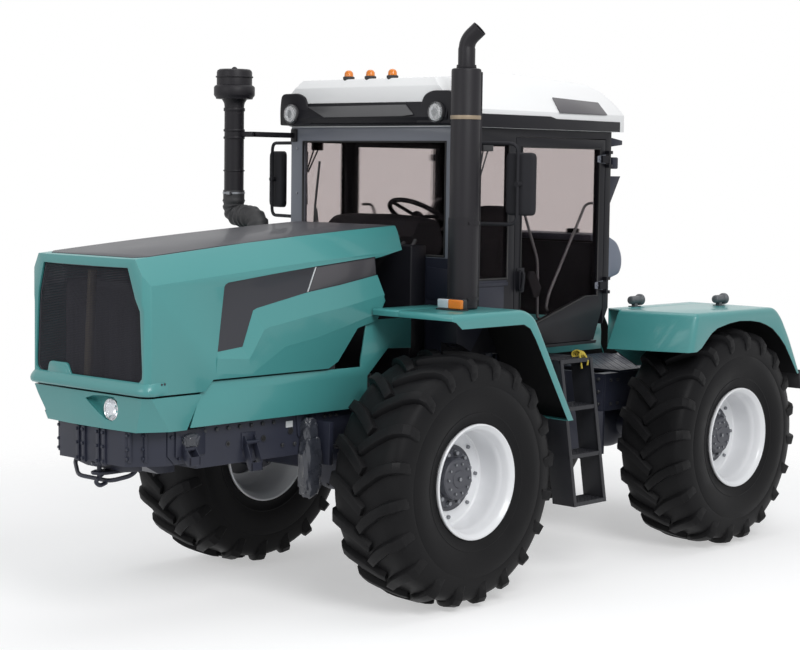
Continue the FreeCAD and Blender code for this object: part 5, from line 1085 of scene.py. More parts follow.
# ---- doors ----------------------------------------------------------------------------------------
# Black pressed steel door frames on two hinge straps each, with a latch handle outside and, inside, two
# grey bent tubes to hold on to and a moulded cover over the catch.
CAB_SIDE = 0.7605        # just off the cab's side faces
tube_grey = finish("tube_grey", (0.15, 0.155, 0.165), 0.3, metal=0.3, change=0.08, dust=0.05)
for hand, side_name in ((1, "left"), (-1, "right")):
    owner = "door_" + side_name
    leaf = softened(owner, owner + "_leaf", 0.004, 2, 40)
    dressed(leaf, frame_black, owner, "cab_paint", owner, smooth=35.0)
    seal = [(-0.165, 1.825), (0.473, 1.635), (0.533, 1.635), (0.533, 2.823), (-0.293, 2.823),
        (-0.293, 1.825)]
    strips = wires("door_seal_" + side_name, [[at(x, hand * CAB_SIDE, z) for x, z in seal + seal[:2]]],
        0.007, 1)
    dressed(strips, seal_rubber, owner, "black_plastic", smooth=60.0)
    front_tube = eased(run_of(hand, (0.5, 0.712, 2.42), (0.5, 0.69, 2.42), (0.43, 0.69, 2.42),
        (0.27, 0.69, 2.08), (0.262, 0.69, 1.7), (0.262, 0.712, 1.69)), 0.05, 4)
    rear_tube = eased(run_of(hand, (-0.3, 0.712, 2.455), (-0.28, 0.69, 2.455), (-0.23, 0.69, 2.44),
        (0.15, 0.69, 1.84), (0.17, 0.69, 1.76), (0.18, 0.712, 1.74)), 0.04, 4)
    dressed(wires("grab_tubes_" + side_name, [front_tube, rear_tube], 0.0095, 2), tube_grey, owner,
        "rod_chrome", smooth=60.0)
    handle = [boxed("latch_plate", (0.498, 0.57), (hand * CAB_SIDE, hand * 0.7665), (1.88, 2.04), 0.003, 2)]
    grip = eased(run_of(hand, (0.555, 0.764, 1.895), (0.555, 0.798, 1.9), (0.545, 0.802, 2.01),
        (0.545, 0.764, 2.02)), 0.018, 4)
    handle.append(wires("latch_grip", [grip], 0.01, 2))
    dressed(fused("door_handle_" + side_name, handle), trim_black, owner, "black_plastic", smooth=50.0)
    catch = [(0.255, 1.9), (0.33, 2.01), (0.375, 2.01), (0.395, 1.96), (0.33, 1.83), (0.28, 1.84)]
    dressed(slab("door_catch_" + side_name, catch, on_side(hand, 0.69), 0.03, 0.008), trim_black, owner,
        "black_plastic")
    straps = []
    for z in (1.86, 2.72):
        plate = [(-0.352, z + 0.002), (-0.264, z + 0.014), (-0.264, z + 0.056), (-0.352, z + 0.068)]
        straps.append(slab("hinge_plate", plate, on_side(hand, CAB_SIDE), 0.007, 0.002))
        straps.append(bolt_heads("hinge_bolts", (0, hand, 0), 0.015, 0.007,
            [at(x, hand * 0.7675, z + 0.035) for x in (-0.322, -0.284)]))
    dressed(fused("hinge_straps_" + side_name, straps), slate, owner, "cab_paint", smooth=30.0)

# ---- roof -----------------------------------------------------------------------------------------
# A white moulded plastic roof, bolted down on the cab's frame, whose front slopes down to a brow. A blank
# dark plate is stuck on each flank, and a black gutter runs below each edge.
roof_paint = finish("roof_white", (0.9, 0.905, 0.91), 0.38, coat=0.3, size=1.2, change=0.03, dust=0.0,
    bump=0.01)
cap = softened("cab_roof", "roof_cap", 0)
choose(cap, "edges", lambda mid, way: mid.z > 3.02 and (abs(mid.y) > 0.46 or mid.x > PIN_X + 1.0
    or mid.x < PIN_X - 0.3) and (abs(mid.y) > 0.778 or mid.z > 3.1))
bpy.ops.mesh.bevel(offset=0.06, segments=6, affect="EDGES", clamp_overlap=True)
leave()
bevelled(cap, 0.004, 2, 40)
dressed(cap, roof_paint, "front", "roof_white", "cab_roof", smooth=48.0)
plates = []
for hand in (1, -1):
    lift = Vector((0, hand * 0.6836, 0.7299))
    corners = []
    for x, y, z in ((0.16, 0.696, 3.153), (-0.312, 0.716, 3.1345), (-0.3, 0.8076, 3.049),
            (0.215, 0.8076, 3.049)):
        corners.append(at(x, hand * y, z) + lift * 0.001)
    plates.append(loft("roof_plate", [corners, [p + lift * 0.006 for p in corners]]))
dressed(bevelled(fused("roof_plates", plates), 0.002, 2, 30), plate_grey, "front", "black_plastic")

strips = []
for hand in (1, -1):
    strip_line = [(-0.455, 2.9415), (1.1, 2.9415), (1.1, 3.026), (0.3, 3.026), (0.24, 3.012),
        (-0.455, 3.008)]
    strips.append(slab("gutter", strip_line, on_side(hand, 0.7995), 0.006, 0.002))
dressed(fused("roof_gutters", strips), frame_black, "front", "black_plastic")

# ---- visor under the roof's edge ------------------------------------------------------------------
# A black moulded brow, screwed on below the roof's front edge, with a sloping shield in the middle painted
# grey as a painted sheen on the black brow, and a hump at each end that holds a lamp.
grey_plastic_and_painted_sheen = finish("grey_plastic_and_painted_sheen", (0.075, 0.075, 0.079), 0.34, coat=0.2, size=1.5, change=0.25, dust=0.0,
    bump=0.05)
dressed(softened("roof_visor", "visor_bar", 0.006, 3, 30), frame_black, "front", "black_plastic",
    "roof_visor", smooth=35.0)
# The shield's grey is a painted sheen on the black brow.
shield = [(-0.505, 3.074), (0.385, 3.078), (0.465, 3.014), (0.372, 3.004), (-0.332, 3.002)]
dressed(slab("visor_shield", shield, lambda y, z, d: at(1.2555 - max(0.0, z - 3.0) * 0.21 + d, y, z),
    0.012, 0.004), grey_plastic_and_painted_sheen, "front", "black_plastic")
humps = []
for hand in (1, -1):
    hump = [Vector((y, z)) for y, z in ((0.47, 2.96), (0.5, 3.06), (0.53, 3.14), (0.6, 3.168),
        (0.77, 3.166), (0.785, 3.05), (0.78, 2.95))]
    outline = eased(hump, 0.04, 4)
    ring_back = [at(1.12, hand * p.x, p.y) for p in outline]
    ring_front = [at(1.243, hand * (0.64 + (p.x - 0.64) * 0.97), 3.05 + (p.y - 3.05) * 0.97)
        for p in outline]
    humps.append(loft("lamp_hump", [ring_back, ring_front]))
dressed(bevelled(fused("lamp_humps", humps), 0.008, 3, 30), frame_black, "front", "black_plastic",
    smooth=40.0)

# ---- work lamps in the brow -----------------------------------------------------------------------
# Two round lamps set into the humps of the brow: a dish painted near white as a painted reflection,
# a grey plastic bezel pushed over it and a domed glass with upright ribs.
dish = [(0.0, -0.004), (0.018, -0.002), (0.04, 0.01), (0.056, 0.034), (0.0585, 0.046), (0.0575, 0.05),
    (0.054, 0.04), (0.038, 0.015), (0.016, 0.004), (0.0, 0.003)]
bezel = [(0.05, -0.03), (0.061, 0.02), (0.064, 0.044), (0.065, 0.056), (0.0615, 0.06), (0.0585, 0.054),
    (0.057, 0.02), (0.046, -0.03)]
dome = [(0.0, 0.066), (0.022, 0.065), (0.042, 0.061), (0.056, 0.054), (0.059, 0.049), (0.057, 0.047),
    (0.05, 0.052), (0.03, 0.059), (0.0, 0.062)]
ribs = []
for hand in (1, -1):
    for k in range(-4, 5):
        half = math.sqrt(max(0.0, 0.052 ** 2 - (k * 0.011) ** 2))
        ribs.append([at(1.2735 - 0.00004 * (k * k + j * j), hand * 0.655 + k * 0.011, 3.028 + half * j / 4)
            for j in range(-4, 5)])
# The dishes are painted near white, a painted reflection in place of a bright chromed reflector.
dish_white_painted_reflection = finish("dish_white_painted_reflection", (0.8, 0.81, 0.82), 0.25, metal=0.35, change=0.03, dust=0.0, bump=0.0)
lamp_dome = clear_glass("lamp_dome", (0.88, 0.9, 0.92), 0.08, 1.0, 1.3, 0.75, 0.5)
for name, section, finish_used, nodes in (("work_lamp_dishes", dish, dish_white_painted_reflection, ()),
        ("work_lamp_bezels", bezel, grey_plastic_and_painted_sheen, ("work_lamps",)), ("work_lamp_domes", dome, lamp_dome, ())):
    pair = [turned("work_part", section, Matrix.Translation(at(1.21, hand * 0.655, 3.028)) @ face_front,
        40) for hand in (1, -1)]
    dressed(fused(name, pair), finish_used, "front", "lamp_glass", *nodes, smooth=60.0)
dressed(wires("work_lamp_ribs", ribs, 0.0016, 0), chrome, "front", "lamp_glass", smooth=60.0)

# ---- marker lamps on the roof ---------------------------------------------------------------------
# Three small amber plastic domes side by side on the roof's sloping front, each pushed into a black
# rubber collar.
collar = [(0.0, -0.018), (0.036, -0.018), (0.0385, 0.004), (0.038, 0.01), (0.032, 0.014), (0.0, 0.014)]
globe = [(0.0, 0.0545), (0.012, 0.053), (0.022, 0.0465), (0.0285, 0.035), (0.03, 0.014), (0.0, 0.014)]
lay_up = Matrix.Rotation(math.radians(90), 4, "X")
collars, globes = [], []
for k in (-1, 0, 1):
    place = Matrix.Translation(at(1.172, k * 0.197, 3.256)) @ lay_up
    collars.append(turned("marker_collar", collar, place, 32))
    globes.append(turned("marker_globe", globe, place, 32))
dressed(fused("marker_collars", collars), lamp_rubber, "front", "amber_lens", smooth=50.0)
dressed(fused("marker_globes", globes), amber, "front", "amber_lens", "beacons", smooth=60.0)

# ---- wipers ---------------------------------------------------------------------------------------
# Black steel arms with a rubber blade: a pair on the motor at the foot of the windscreen, and one on a
# pivot at the top of each side pane.
arms = [run_of(1, (1.158, -0.47, 2.15), (1.178, -0.478, 2.2), (1.184, -0.486, 2.42)),
    run_of(1, (1.158, -0.44, 2.15), (1.176, -0.452, 2.2), (1.184, -0.476, 2.4))]
blades = [run_of(1, (1.178, -0.505, 2.235), (1.184, -0.49, 2.42), (1.182, -0.452, 2.715))]
for hand in (1, -1):
    arms.append(run_of(hand, (0.93, 0.766, 2.8), (0.985, 0.782, 2.64), (1.0, 0.78, 2.6)))
    arms.append(run_of(hand, (0.87, 0.766, 2.83), (0.97, 0.782, 2.64)))
    blades.append(run_of(hand, (0.985, 0.778, 2.78), (0.99, 0.78, 2.61), (0.985, 0.778, 2.42)))
wiper_set = [wires("wiper_arms", arms, 0.0055, 1), wires("wiper_blades", blades, 0.0085, 1)]
wiper_set.append(boxed("wiper_motor", (1.146, 1.176), (-0.5, -0.42), (2.128, 2.172), 0.008, 3))
for hand in (1, -1):
    wiper_set.append(boxed("wiper_pivot", (0.845, 0.945), (hand * 0.757, hand * 0.782), (2.79, 2.846),
        0.008, 3))
dressed(fused("wipers", wiper_set), lamp_rubber, "front", "black_plastic", smooth=60.0)

# ---- rear cab brackets ----------------------------------------------------------------------------
# Folded and painted steel plates, welded to the cab's rear upper corners, that carry a small floodlight
# on each side.
pieces = []
for hand in (1, -1):
    wedge = [(-0.422, 2.905), (-0.56, 2.885), (-0.56, 2.855), (-0.422, 2.84)]
    pieces.append(slab("rear_wedge", wedge, on_side(hand, 0.69), 0.06, 0.004))
    wing = [(-0.422, 2.64), (-0.555, 2.64), (-0.43, 2.43), (-0.422, 2.43)]
    pieces.append(slab("rear_wing", wing, on_side(hand, 0.735), 0.008, 0.002))
    pieces.append(boxed("rear_flood", (-0.54, -0.478), (hand * 0.655, hand * 0.735), (2.69, 2.77), 0.01, 3))
    pieces.append(boxed("rear_flood_arm", (-0.482, -0.4205), (hand * 0.685, hand * 0.705), (2.715, 2.745),
        0.004, 2))
dressed(fused("rear_cab_brackets", pieces), side_blue, "front", "cab_paint", smooth=35.0)

# ---- inside the cab -------------------------------------------------------------------------------
# A sprung seat with a sewn fabric cushion and back, a black moulded desk with a hooded instrument
# cover, and a thick-rimmed steering wheel.
desk = softened("dashboard", "dash_desk", 0.012, 3, 25)
dressed(desk, trim_black, "front", "black_plastic", "dashboard", smooth=40.0)
hood_line = [(0.82, 2.18), (0.8, 2.29), (0.83, 2.35), (0.9, 2.372), (1.0, 2.362), (1.072, 2.3),
    (1.085, 2.18)]
cover_rings = []
for y, share in ((-0.52, 0.86), (-0.495, 0.95), (-0.4, 1.0), (0.0, 1.02), (0.18, 0.98), (0.3, 0.9),
        (0.325, 0.82)):
    cover_rings.append([at(0.945 + (p.x - 0.945) * share, y, 2.18 + (p.y - 2.18) * share)
        for p in eased(hood_line, 0.045, 3)])
dressed(bevelled(loft("dash_hood", cover_rings), 0.008, 2, 40), trim_black, "front", "black_plastic",
    smooth=50.0)
WHEEL_LEAN = math.radians(32.0)
RIM_R = 0.202            # the steering wheel's
rim_way = Vector((-math.sin(WHEEL_LEAN), 0, math.cos(WHEEL_LEAN)))
flat_way = Vector((math.cos(WHEEL_LEAN), 0, math.sin(WHEEL_LEAN)))
hub_at = at(0.7, 0, 2.36)
rim_path = [hub_at + flat_way * RIM_R * math.cos(i * math.tau / 48)
    + Vector((0, RIM_R, 0)) * math.sin(i * math.tau / 48) for i in range(50)]
spoke_paths = []
for angle in (math.radians(90), math.radians(210), math.radians(330)):
    way = flat_way * math.cos(angle) + Vector((0, 1, 0)) * math.sin(angle)
    spoke_paths.append([hub_at - rim_way * 0.01, hub_at + way * 0.1 - rim_way * 0.004,
        hub_at + way * 0.196])
wheel_parts = [wires("steering_rim", [rim_path], 0.0165, 3), wires("steering_spokes", spoke_paths, 0.012,
    2)]
boss = [(0.0, -0.02), (0.03, -0.02), (0.038, -0.008), (0.038, 0.01), (0.03, 0.02), (0.0, 0.022)]
lean_back = Vector((0, 1, 0)).rotation_difference(rim_way).to_matrix().to_4x4()
wheel_parts.append(turned("steering_boss", boss, Matrix.Translation(hub_at) @ lean_back, 28))
dressed(fused("steering_wheel_rim", wheel_parts), trim_black, "front", "black_plastic", "steering_wheel",
    smooth=60.0)

seat_cloth = finish("seat_cloth", (0.05, 0.049, 0.054), 0.85, change=0.1, size=8.0, dust=0.0, grain=1400.0,
    bump=0.15, shine=0.05)
dressed(boxed("seat_base", (0.03, 0.27), (-0.13, 0.13), (1.5605, 1.8), 0.012, 3), trim_black, "front",
    "black_plastic", "seat")


def padded_form(name, outline, y_half, pinch):
    """Cushion from its side outline, rounded at the edges and drawn in between its corners."""
    rings = []
    for k in range(9):
        y = -y_half + y_half * k / 4
        draw = 1.0 - pinch * (1.0 - (1.0 - abs(y / y_half) ** 3))
        mid = sum((Vector(p) for p in outline), Vector((0, 0))) / len(outline)
        rings.append([at(mid.x + (x - mid.x) * draw, y, mid.y + (z - mid.y) * draw) for x, z in outline])
    return bevelled(loft(name, rings), 0.022, 3, 35)


def blown(pad, cap, voxel=0.006):
    """Lets the fabric swell as padding does, by no more than a cap."""
    applied(pad, "REMESH", mode="VOXEL", voxel_size=voxel)
    before = [v.co.copy() for v in pad.data.vertices]
    cloth = pad.modifiers.new("fabric", "CLOTH")
    cloth.settings.use_pressure = True
    cloth.settings.uniform_pressure_force = 4.0
    cloth.settings.effector_weights.gravity = 0.0
    for frame_number in range(1, 21):
        bpy.context.scene.frame_set(frame_number)
    shape = pad.evaluated_get(bpy.context.evaluated_depsgraph_get()).to_mesh()
    after = [v.co.copy() for v in shape.vertices]
    pad.modifiers.remove(cloth)
    for vertex, old, new in zip(pad.data.vertices, before, after):
        step = new - old
        vertex.co = old + (step.normalized() * cap if step.length > cap else step)
    bpy.context.scene.frame_set(1)
    return applied(pad, "SUBSURF", levels=1, render_levels=1)


seat_line = [(-0.06, 1.835), (0.385, 1.835), (0.398, 1.87), (0.38, 1.915), (0.2, 1.905), (-0.04, 1.92)]
back_line = [(-0.062, 1.85), (0.01, 1.88), (-0.05, 2.18), (-0.07, 2.43), (-0.12, 2.435), (-0.11, 2.18)]
for name, line, half, pinch in (("seat_cushion", seat_line, 0.235, 0.05),
        ("seat_back", back_line, 0.215, 0.1)):
    pad = blown(padded_form(name, line, half, pinch), 0.01)
    dressed(pad, seat_cloth, "front", "seat_cloth", smooth=60.0)
welts = []
for y in (-0.12, 0.12):
    welts.append([at(x, y, z + 0.009) for x, z in ((-0.02, 1.917), (0.08, 1.913), (0.2, 1.909),
        (0.3, 1.913), (0.37, 1.917))])
    welts.append([at(x + 0.008, y, z) for x, z in ((0.004, 1.95), (-0.022, 2.08), (-0.044, 2.2),
        (-0.06, 2.32), (-0.068, 2.41))])
dressed(wires("seat_welts", welts, 0.0035, 1), seal_rubber, "front", "seat_cloth", smooth=60.0)
levers = []
for x, y, top in ((0.56, -0.3, 1.98), (0.6, -0.36, 1.93), (0.54, 0.3, 1.9)):
    levers.append(wires("lever", [run_of(1, (x, y, 1.56), (x - 0.02, y, 1.8), (x - 0.05, y, top))], 0.009,
        1))
    levers.append(rounded_block("lever_knob", at(x - 0.072, y - 0.022, top - 0.01),
        at(x - 0.028, y + 0.022, top + 0.05), 0.014, 3))
levers.append(boxed("side_console", (-0.05, 0.56), (-0.64, -0.4), (1.5605, 1.96), 0.025, 3))
levers.append(boxed("left_console", (0.64, 1.08), (0.42, 0.64), (1.5605, 1.9), 0.025, 3))
dressed(fused("cab_levers", levers), trim_black, "front", "black_plastic", smooth=50.0)
dressed(softened("cowl", "firewall_box", 0.006, 2), frame_black, "front", "cab_paint", "cowl")
hoses = []
for k, (y, z, drop) in enumerate(((0.3, 2.12, 0.1), (0.35, 2.08, 0.16), (0.4, 2.14, 0.22),
        (0.25, 2.16, 0.14))):
    hoses.append(eased(run_of(1, (1.152, y, z + 0.08), (1.22, y + 0.01, z + 0.07 - 0.3 * drop),
        (1.26, y + 0.03, z - drop), (1.235, y + 0.06, 1.93), (1.2, y + 0.06, 1.82)), 0.06, 4))
dressed(wires("firewall_hoses", hoses, 0.013, 2), lamp_rubber, "front", "black_plastic", smooth=60.0)

# ---- exhaust silencer -----------------------------------------------------------------------------
# A rolled steel silencer in matt black with a lock seam, a tan clamp near the roof and a folded heat
# shield below. Its tail pipe bends outwards and is cut open at the mouth.
stack_black = finish("stack_black", (0.012, 0.011, 0.014), 0.48, change=0.18, size=3.0, dust=0.02,
    bump=0.12, shine=0.25)
# Near-black matt soot inside the tail pipe; the rail holes use the same finish as painted shade.
soot_and_hole_shade = finish("dark_soot_and_painted_hole_shade", (0.006, 0.006, 0.006), 0.9, change=0.2, dust=0.0)
tan_metal = finish("tan_clamp", (0.3, 0.235, 0.165), 0.45, metal=0.3, change=0.1, dust=0.0)


def bar_of_rings(name, path, radii, around=24, ends=(True, True)):
    """A round bar through points with a radius at each, its rings square to the run."""
    path = [Vector(p) for p in path]
    rings, side = [], None
    for i, point in enumerate(path):
        run = (path[min(i + 1, len(path) - 1)] - path[max(i - 1, 0)]).normalized()
        side = run.orthogonal().normalized() if side is None else (side - run * side.dot(run)).normalized()
        other = run.cross(side)
        radius = radii[i] if isinstance(radii, (list, tuple)) else radii
        rings.append([point
            + (side * math.cos(k * math.tau / around) + other * math.sin(k * math.tau / around)) * radius
            for k in range(around)])
    return loft(name, rings, ends)


PIPE_X, PIPE_Y = 1.265, 0.908
can_outline = [(0.0, 1.8155), (0.084, 1.8155), (0.092, 1.824), (0.092, 3.276), (0.0885, 3.286),
    (0.08, 3.29), (0.056, 3.2905), (0.055, 3.3), (0.0, 3.3)]


def turned_up(name, section, x, y, steps=48):
    """A body turned about an upright axis from (radius, height) corners."""
    return turned(name, section, Matrix.Translation(at(x, y, 0)) @ lay_up, steps)


can = turned_up("silencer_can", can_outline, PIPE_X, PIPE_Y)
bend_at = at(PIPE_X, PIPE_Y, 3.458)
mouth = bend_at + Vector((-0.035, 0.072, 0.075))
neck_line = eased([at(PIPE_X, PIPE_Y, 3.275), bend_at, mouth], 0.095, 10)
neck = bar_of_rings("tail_pipe", neck_line, [0.053] * 2 + [0.05] * (len(neck_line) - 2), 32, (True, False))
applied(neck, "SOLIDIFY", thickness=0.004, offset=-1.0)
seam = boxed("lock_seam", (PIPE_X - 0.07, PIPE_X - 0.056), (PIPE_Y + 0.0625, PIPE_Y + 0.074), (1.83, 3.27),
    0.002, 2)
collar_ring = turned_up("neck_collar", [(0.05, 3.288), (0.06, 3.288), (0.062, 3.294), (0.06, 3.312),
    (0.05, 3.312)], PIPE_X, PIPE_Y)
dressed(fused("silencer", [can, neck, seam, collar_ring]), stack_black, "front", "stack_paint",
    "exhaust_stack", smooth=38.0)
soot = bar_of_rings("tail_pipe_soot", neck_line[3:-1], 0.0452, 24)
dressed(soot, soot_and_hole_shade, "front", "stack_paint")
clamp_ring = turned_up("silencer_clamp", [(0.0915, 2.98), (0.0945, 2.98), (0.095, 2.984), (0.095, 3.0),
    (0.0945, 3.004), (0.0915, 3.004)], PIPE_X, PIPE_Y)
ear = boxed("clamp_ear", (PIPE_X - 0.15, PIPE_X - 0.088), (PIPE_Y - 0.018, PIPE_Y + 0.002), (2.968, 3.0),
    0.003, 2)
dressed(fused("silencer_clamps", [clamp_ring, ear]), tan_metal, "front", "stack_paint", smooth=40.0)
shield_rings = []
for k in range(25):
    angle = math.radians(-78 + k * 6.5)
    way = Vector((math.cos(angle), math.sin(angle), 0))
    middle = at(PIPE_X, PIPE_Y, 0)
    shield_rings.append([middle + way * r + Vector((0, 0, z)) for r, z in ((0.0945, 1.845),
        (0.0975, 1.845), (0.0975, 2.378), (0.0945, 2.378))])
heat_shield = bevelled(loft("heat_shield", shield_rings), 0.001, 1, 50)
rim_bands = [turned_up("shield_band", [(0.0915, z), (0.099, z), (0.099, z + 0.022), (0.0915, z + 0.022)],
    PIPE_X, PIPE_Y) for z in (1.87, 2.336)]
shield_bolts = bolt_heads("shield_bolts", (0.5, 0.866, 0), 0.014, 0.01,
    [at(PIPE_X + 0.05, PIPE_Y + 0.0865, z) for z in (1.881, 2.347)])
dressed(fused("silencer_shield", [heat_shield, *rim_bands, shield_bolts]), stack_black, "front",
    "stack_paint", smooth=38.0)
stays = wires("silencer_arms", [eased(run_of(1, (1.152, 0.735, z), (1.185, 0.76, z), (1.2, 0.855, z)),
    0.03, 3) for z in (2.365, 2.895)], 0.01, 1)
dressed(stays, frame_black, "front", "stack_paint", smooth=60.0)

# ---- air intake -----------------------------------------------------------------------------------
# A pre-cleaner bowl on a steel column, a ribbed rubber elbow held by worm clamps, and the air cleaner
# beside the bonnet. A flat steel stay ties the column to the cab.
INTAKE_X, INTAKE_Y = 1.545, -0.9
bowl = turned_up("intake_bowl", [(0.0, 3.318), (0.1, 3.318), (0.113, 3.31), (0.118, 3.296), (0.118, 3.214),
    (0.13, 3.207), (0.1365, 3.198), (0.1365, 3.148), (0.131, 3.138), (0.124, 3.13), (0.122, 3.121),
    (0.085, 3.1205), (0.08, 3.112), (0.072, 3.1), (0.068, 3.09), (0.0655, 3.07), (0.0655, 2.492),
    (0.0, 2.492)], INTAKE_X, INTAKE_Y, 56)
bands = []
for r, z, h in ((0.0665, 3.04, 0.022), (0.0665, 2.905, 0.016), (0.0665, 2.856, 0.016),
        (0.0665, 2.64, 0.01), (0.12, 3.262, 0.01)):
    bands.append(turned_up("column_band", [(r - 0.004, z), (r + 0.0035, z), (r + 0.005, z + 0.003),
        (r + 0.005, z + h - 0.003), (r + 0.0035, z + h), (r - 0.004, z + h)], INTAKE_X, INTAKE_Y, 40))
vanes = []
for k in range(24):
    angle = k * math.tau / 24
    way = Vector((math.cos(angle), math.sin(angle), 0))
    turn = Vector((-way.y, way.x, 0)) * 0.012
    vanes.append([at(INTAKE_X, INTAKE_Y, 3.1345) + way * 0.1255 + turn,
        at(INTAKE_X, INTAKE_Y, 3.205) + way * 0.1305 - turn * 0.2])
knob = turned_up("bowl_knob", [(0.0, 3.318), (0.02, 3.3175), (0.018, 3.326), (0.008, 3.334), (0.0, 3.335)],
    INTAKE_X, INTAKE_Y, 24)
cleaner_y, cleaner_z = -0.65, 1.77
canister = [(0.0, 0.0), (0.06, 0.0), (0.098, 0.008), (0.107, 0.022), (0.1075, 0.09), (0.1025, 0.094),
    (0.1025, 0.104), (0.1075, 0.108), (0.1075, 0.38), (0.103, 0.384), (0.103, 0.4), (0.1075, 0.404),
    (0.1075, 0.455), (0.1, 0.47), (0.07, 0.475), (0.0, 0.475)]
cleaner = turned("air_cleaner", canister, Matrix.Translation(at(1.69, cleaner_y, cleaner_z)) @ face_back,
    44)
stay_line = [boxed("intake_stay", (1.1505, 1.525), (-0.748, -0.728), (2.87, 2.905), 0.004, 2),
    boxed("intake_stay_side", (1.505, 1.545), (-0.905, -0.728), (2.87, 2.905), 0.004, 2),
    boxed("cleaner_bracket", (1.2155, 1.279), (-0.64, -0.4905), (1.75, 1.79), 0.004, 2),
    boxed("intake_stay_plate", (1.1505, 1.162), (-0.757, -0.7), (2.845, 2.93), 0.004, 2)]
dressed(fused("intake_tower", [bowl, cleaner, wires("bowl_vanes", vanes, 0.0022, 0), knob, *bands,
    *stay_line]), stack_black, "front", "stack_paint", "intake_stack", smooth=38.0)
elbow_line = eased(run_of(1, (INTAKE_X, INTAKE_Y, 2.515), (INTAKE_X, INTAKE_Y, 2.345),
    (INTAKE_X, cleaner_y, 2.345), (INTAKE_X, cleaner_y, 1.86)), 0.112, 14)
dense_line = [elbow_line[0]]
for a, b in zip(elbow_line, elbow_line[1:]):
    count = max(1, int((b - a).length / 0.011))
    dense_line += [a.lerp(b, (j + 1) / count) for j in range(count)]
run_length, lengths_along = 0.0, [0.0]
for a, b in zip(dense_line, dense_line[1:]):
    run_length += (b - a).length
    lengths_along.append(run_length)
elbow_radii = []
for length in lengths_along:
    smooth_end = min(length, run_length - length)
    ripple = 0.0 if smooth_end < 0.06 else 0.0048 * math.cos(length * math.tau / 0.036)
    elbow_radii.append(0.0715 + ripple)
rubber_elbow = bar_of_rings("rubber_elbow", dense_line, elbow_radii, 28)
dressed(rubber_elbow, lamp_rubber, "front", "stack_paint", smooth=50.0)
clamps = [turned_up("elbow_clamp", [(0.0705, z), (0.075, z), (0.075, z + 0.013), (0.0705, z + 0.013)],
    INTAKE_X, y, 40) for y, z in ((INTAKE_Y, 2.49), (cleaner_y, 1.9))]
clamps.append(boxed("clamp_screw", (INTAKE_X + 0.06, INTAKE_X + 0.086), (INTAKE_Y + 0.02, INTAKE_Y + 0.05),
    (2.486, 2.507), 0.003, 2))
dressed(fused("elbow_clamps", clamps), nut_steel, "front", "rod_chrome", smooth=40.0)

# ---- mirrors --------------------------------------------------------------------------------------
# Rectangular black plastic heads on bent tube loops from the front pillars, each with a ribbed back
# and a silvered glass that faces the driver.
mirror_glass = finish("mirror_glass", (0.7, 0.71, 0.72), 0.06, metal=1.0, change=0.01, dust=0.0, bump=0.0)
loops, heads, glasses = [], [], []
for hand in (1, -1):
    low, high = 2.338, 2.838
    loop = eased(run_of(hand, (1.105, 0.766, low), (1.0, 1.11, low), (1.0, 1.11, high),
        (1.105, 0.766, high)), 0.06, 6)
    loops.append(wires("mirror_loop", [loop], 0.0115, 2))
    for z in (low, high):
        loops.append(boxed("mirror_foot", (1.08, 1.13), (hand * CAB_SIDE, hand * 0.773),
            (z - 0.028, z + 0.028), 0.003, 2))
        loops.append(bolt_heads("mirror_bolts", (0, hand, 0), 0.012, 0.006,
            run_of(hand, (1.105, 0.773, z - 0.019), (1.105, 0.773, z + 0.019))))
    loops.append(bar_of_rings("mirror_clamp", run_of(hand, (0.962, 1.11, 2.588), (1.014, 1.11, 2.588)),
        0.017, 20))
    turn = Matrix.Translation(at(0.955, hand * 1.1, 2.588)) @ Matrix.Rotation(math.radians(hand * 15.0), 4,
        "Z")
    shape = eased([Vector(p) for p in ((0.0, -0.195), (0.098, -0.195), (0.098, 0.195), (-0.098, 0.195),
        (-0.098, -0.195), (-0.001, -0.195))], 0.036, 5)
    rings = [[turn @ Vector((x, p.x * k, p.y * (1 - (1 - k) * 0.5))) for p in shape]
        for x, k in ((-0.02, 0.985), (-0.014, 1.0), (0.006, 1.0), (0.018, 0.93), (0.0225, 0.8))]
    heads.append(bevelled(loft("mirror_head", rings), 0.004, 2, 30))
    glass_shape = [(p.x * 0.9, p.y * 0.94) for p in shape]
    glasses.append(loft("mirror_pane", [[turn @ Vector((x, y, z)) for y, z in glass_shape]
        for x in (-0.0225, -0.0195)]))
mirror_set = fused("mirror_heads", heads + loops)
dressed(mirror_set, trim_black, "front", "black_plastic", "mirrors", smooth=45.0)
dressed(fused("mirror_panes", glasses), mirror_glass, "front", "rod_chrome")

# ---- tank behind the cab --------------------------------------------------------------------------
# A rounded tank moulded in grey blue plastic, held against the cab's rear wall, with a black filler cap
# screwed into its top.
tank_blue = finish("tank_blue", (0.128, 0.15, 0.205), 0.4, coat=0.1, size=2.0, change=0.1, dust=0.05)
tank_low, tank_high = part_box("rear_tank")
WALL, BELLY = tank_high[0] - PIN_X, tank_low[2]
shape = [at(WALL - x, 0, BELLY + z) for x, z in ((0.0, 0.0), (0.16, 0.01), (0.195, 0.06), (0.235, 0.125),
    (0.35, 0.155), (0.382, 0.21), (0.382, 0.29), (0.325, 0.39), (0.18, 0.45), (0.0, 0.45))]
round_shape = [shape[0]] + eased(shape[1:-1], 0.075, 5) + [shape[-1]]
tank = slab("rear_tank_moulding", [(p.x - PIN_X, p.z) for p in round_shape],
    lambda x, z, d: at(x, tank_low[1] + d, z), tank_high[1] - tank_low[1], 0.03)
dressed(tank, tank_blue, "front", "cab_paint", "rear_tank", smooth=40.0)
filler = turned_up("filler_cap", [(0.0, 2.272), (0.04, 2.27), (0.046, 2.262), (0.046, 2.238),
    (0.03, 2.234), (0.0, 2.232)], -0.5, 0.38, 28)
dressed(filler, lamp_rubber, "front", "black_plastic", smooth=40.0)

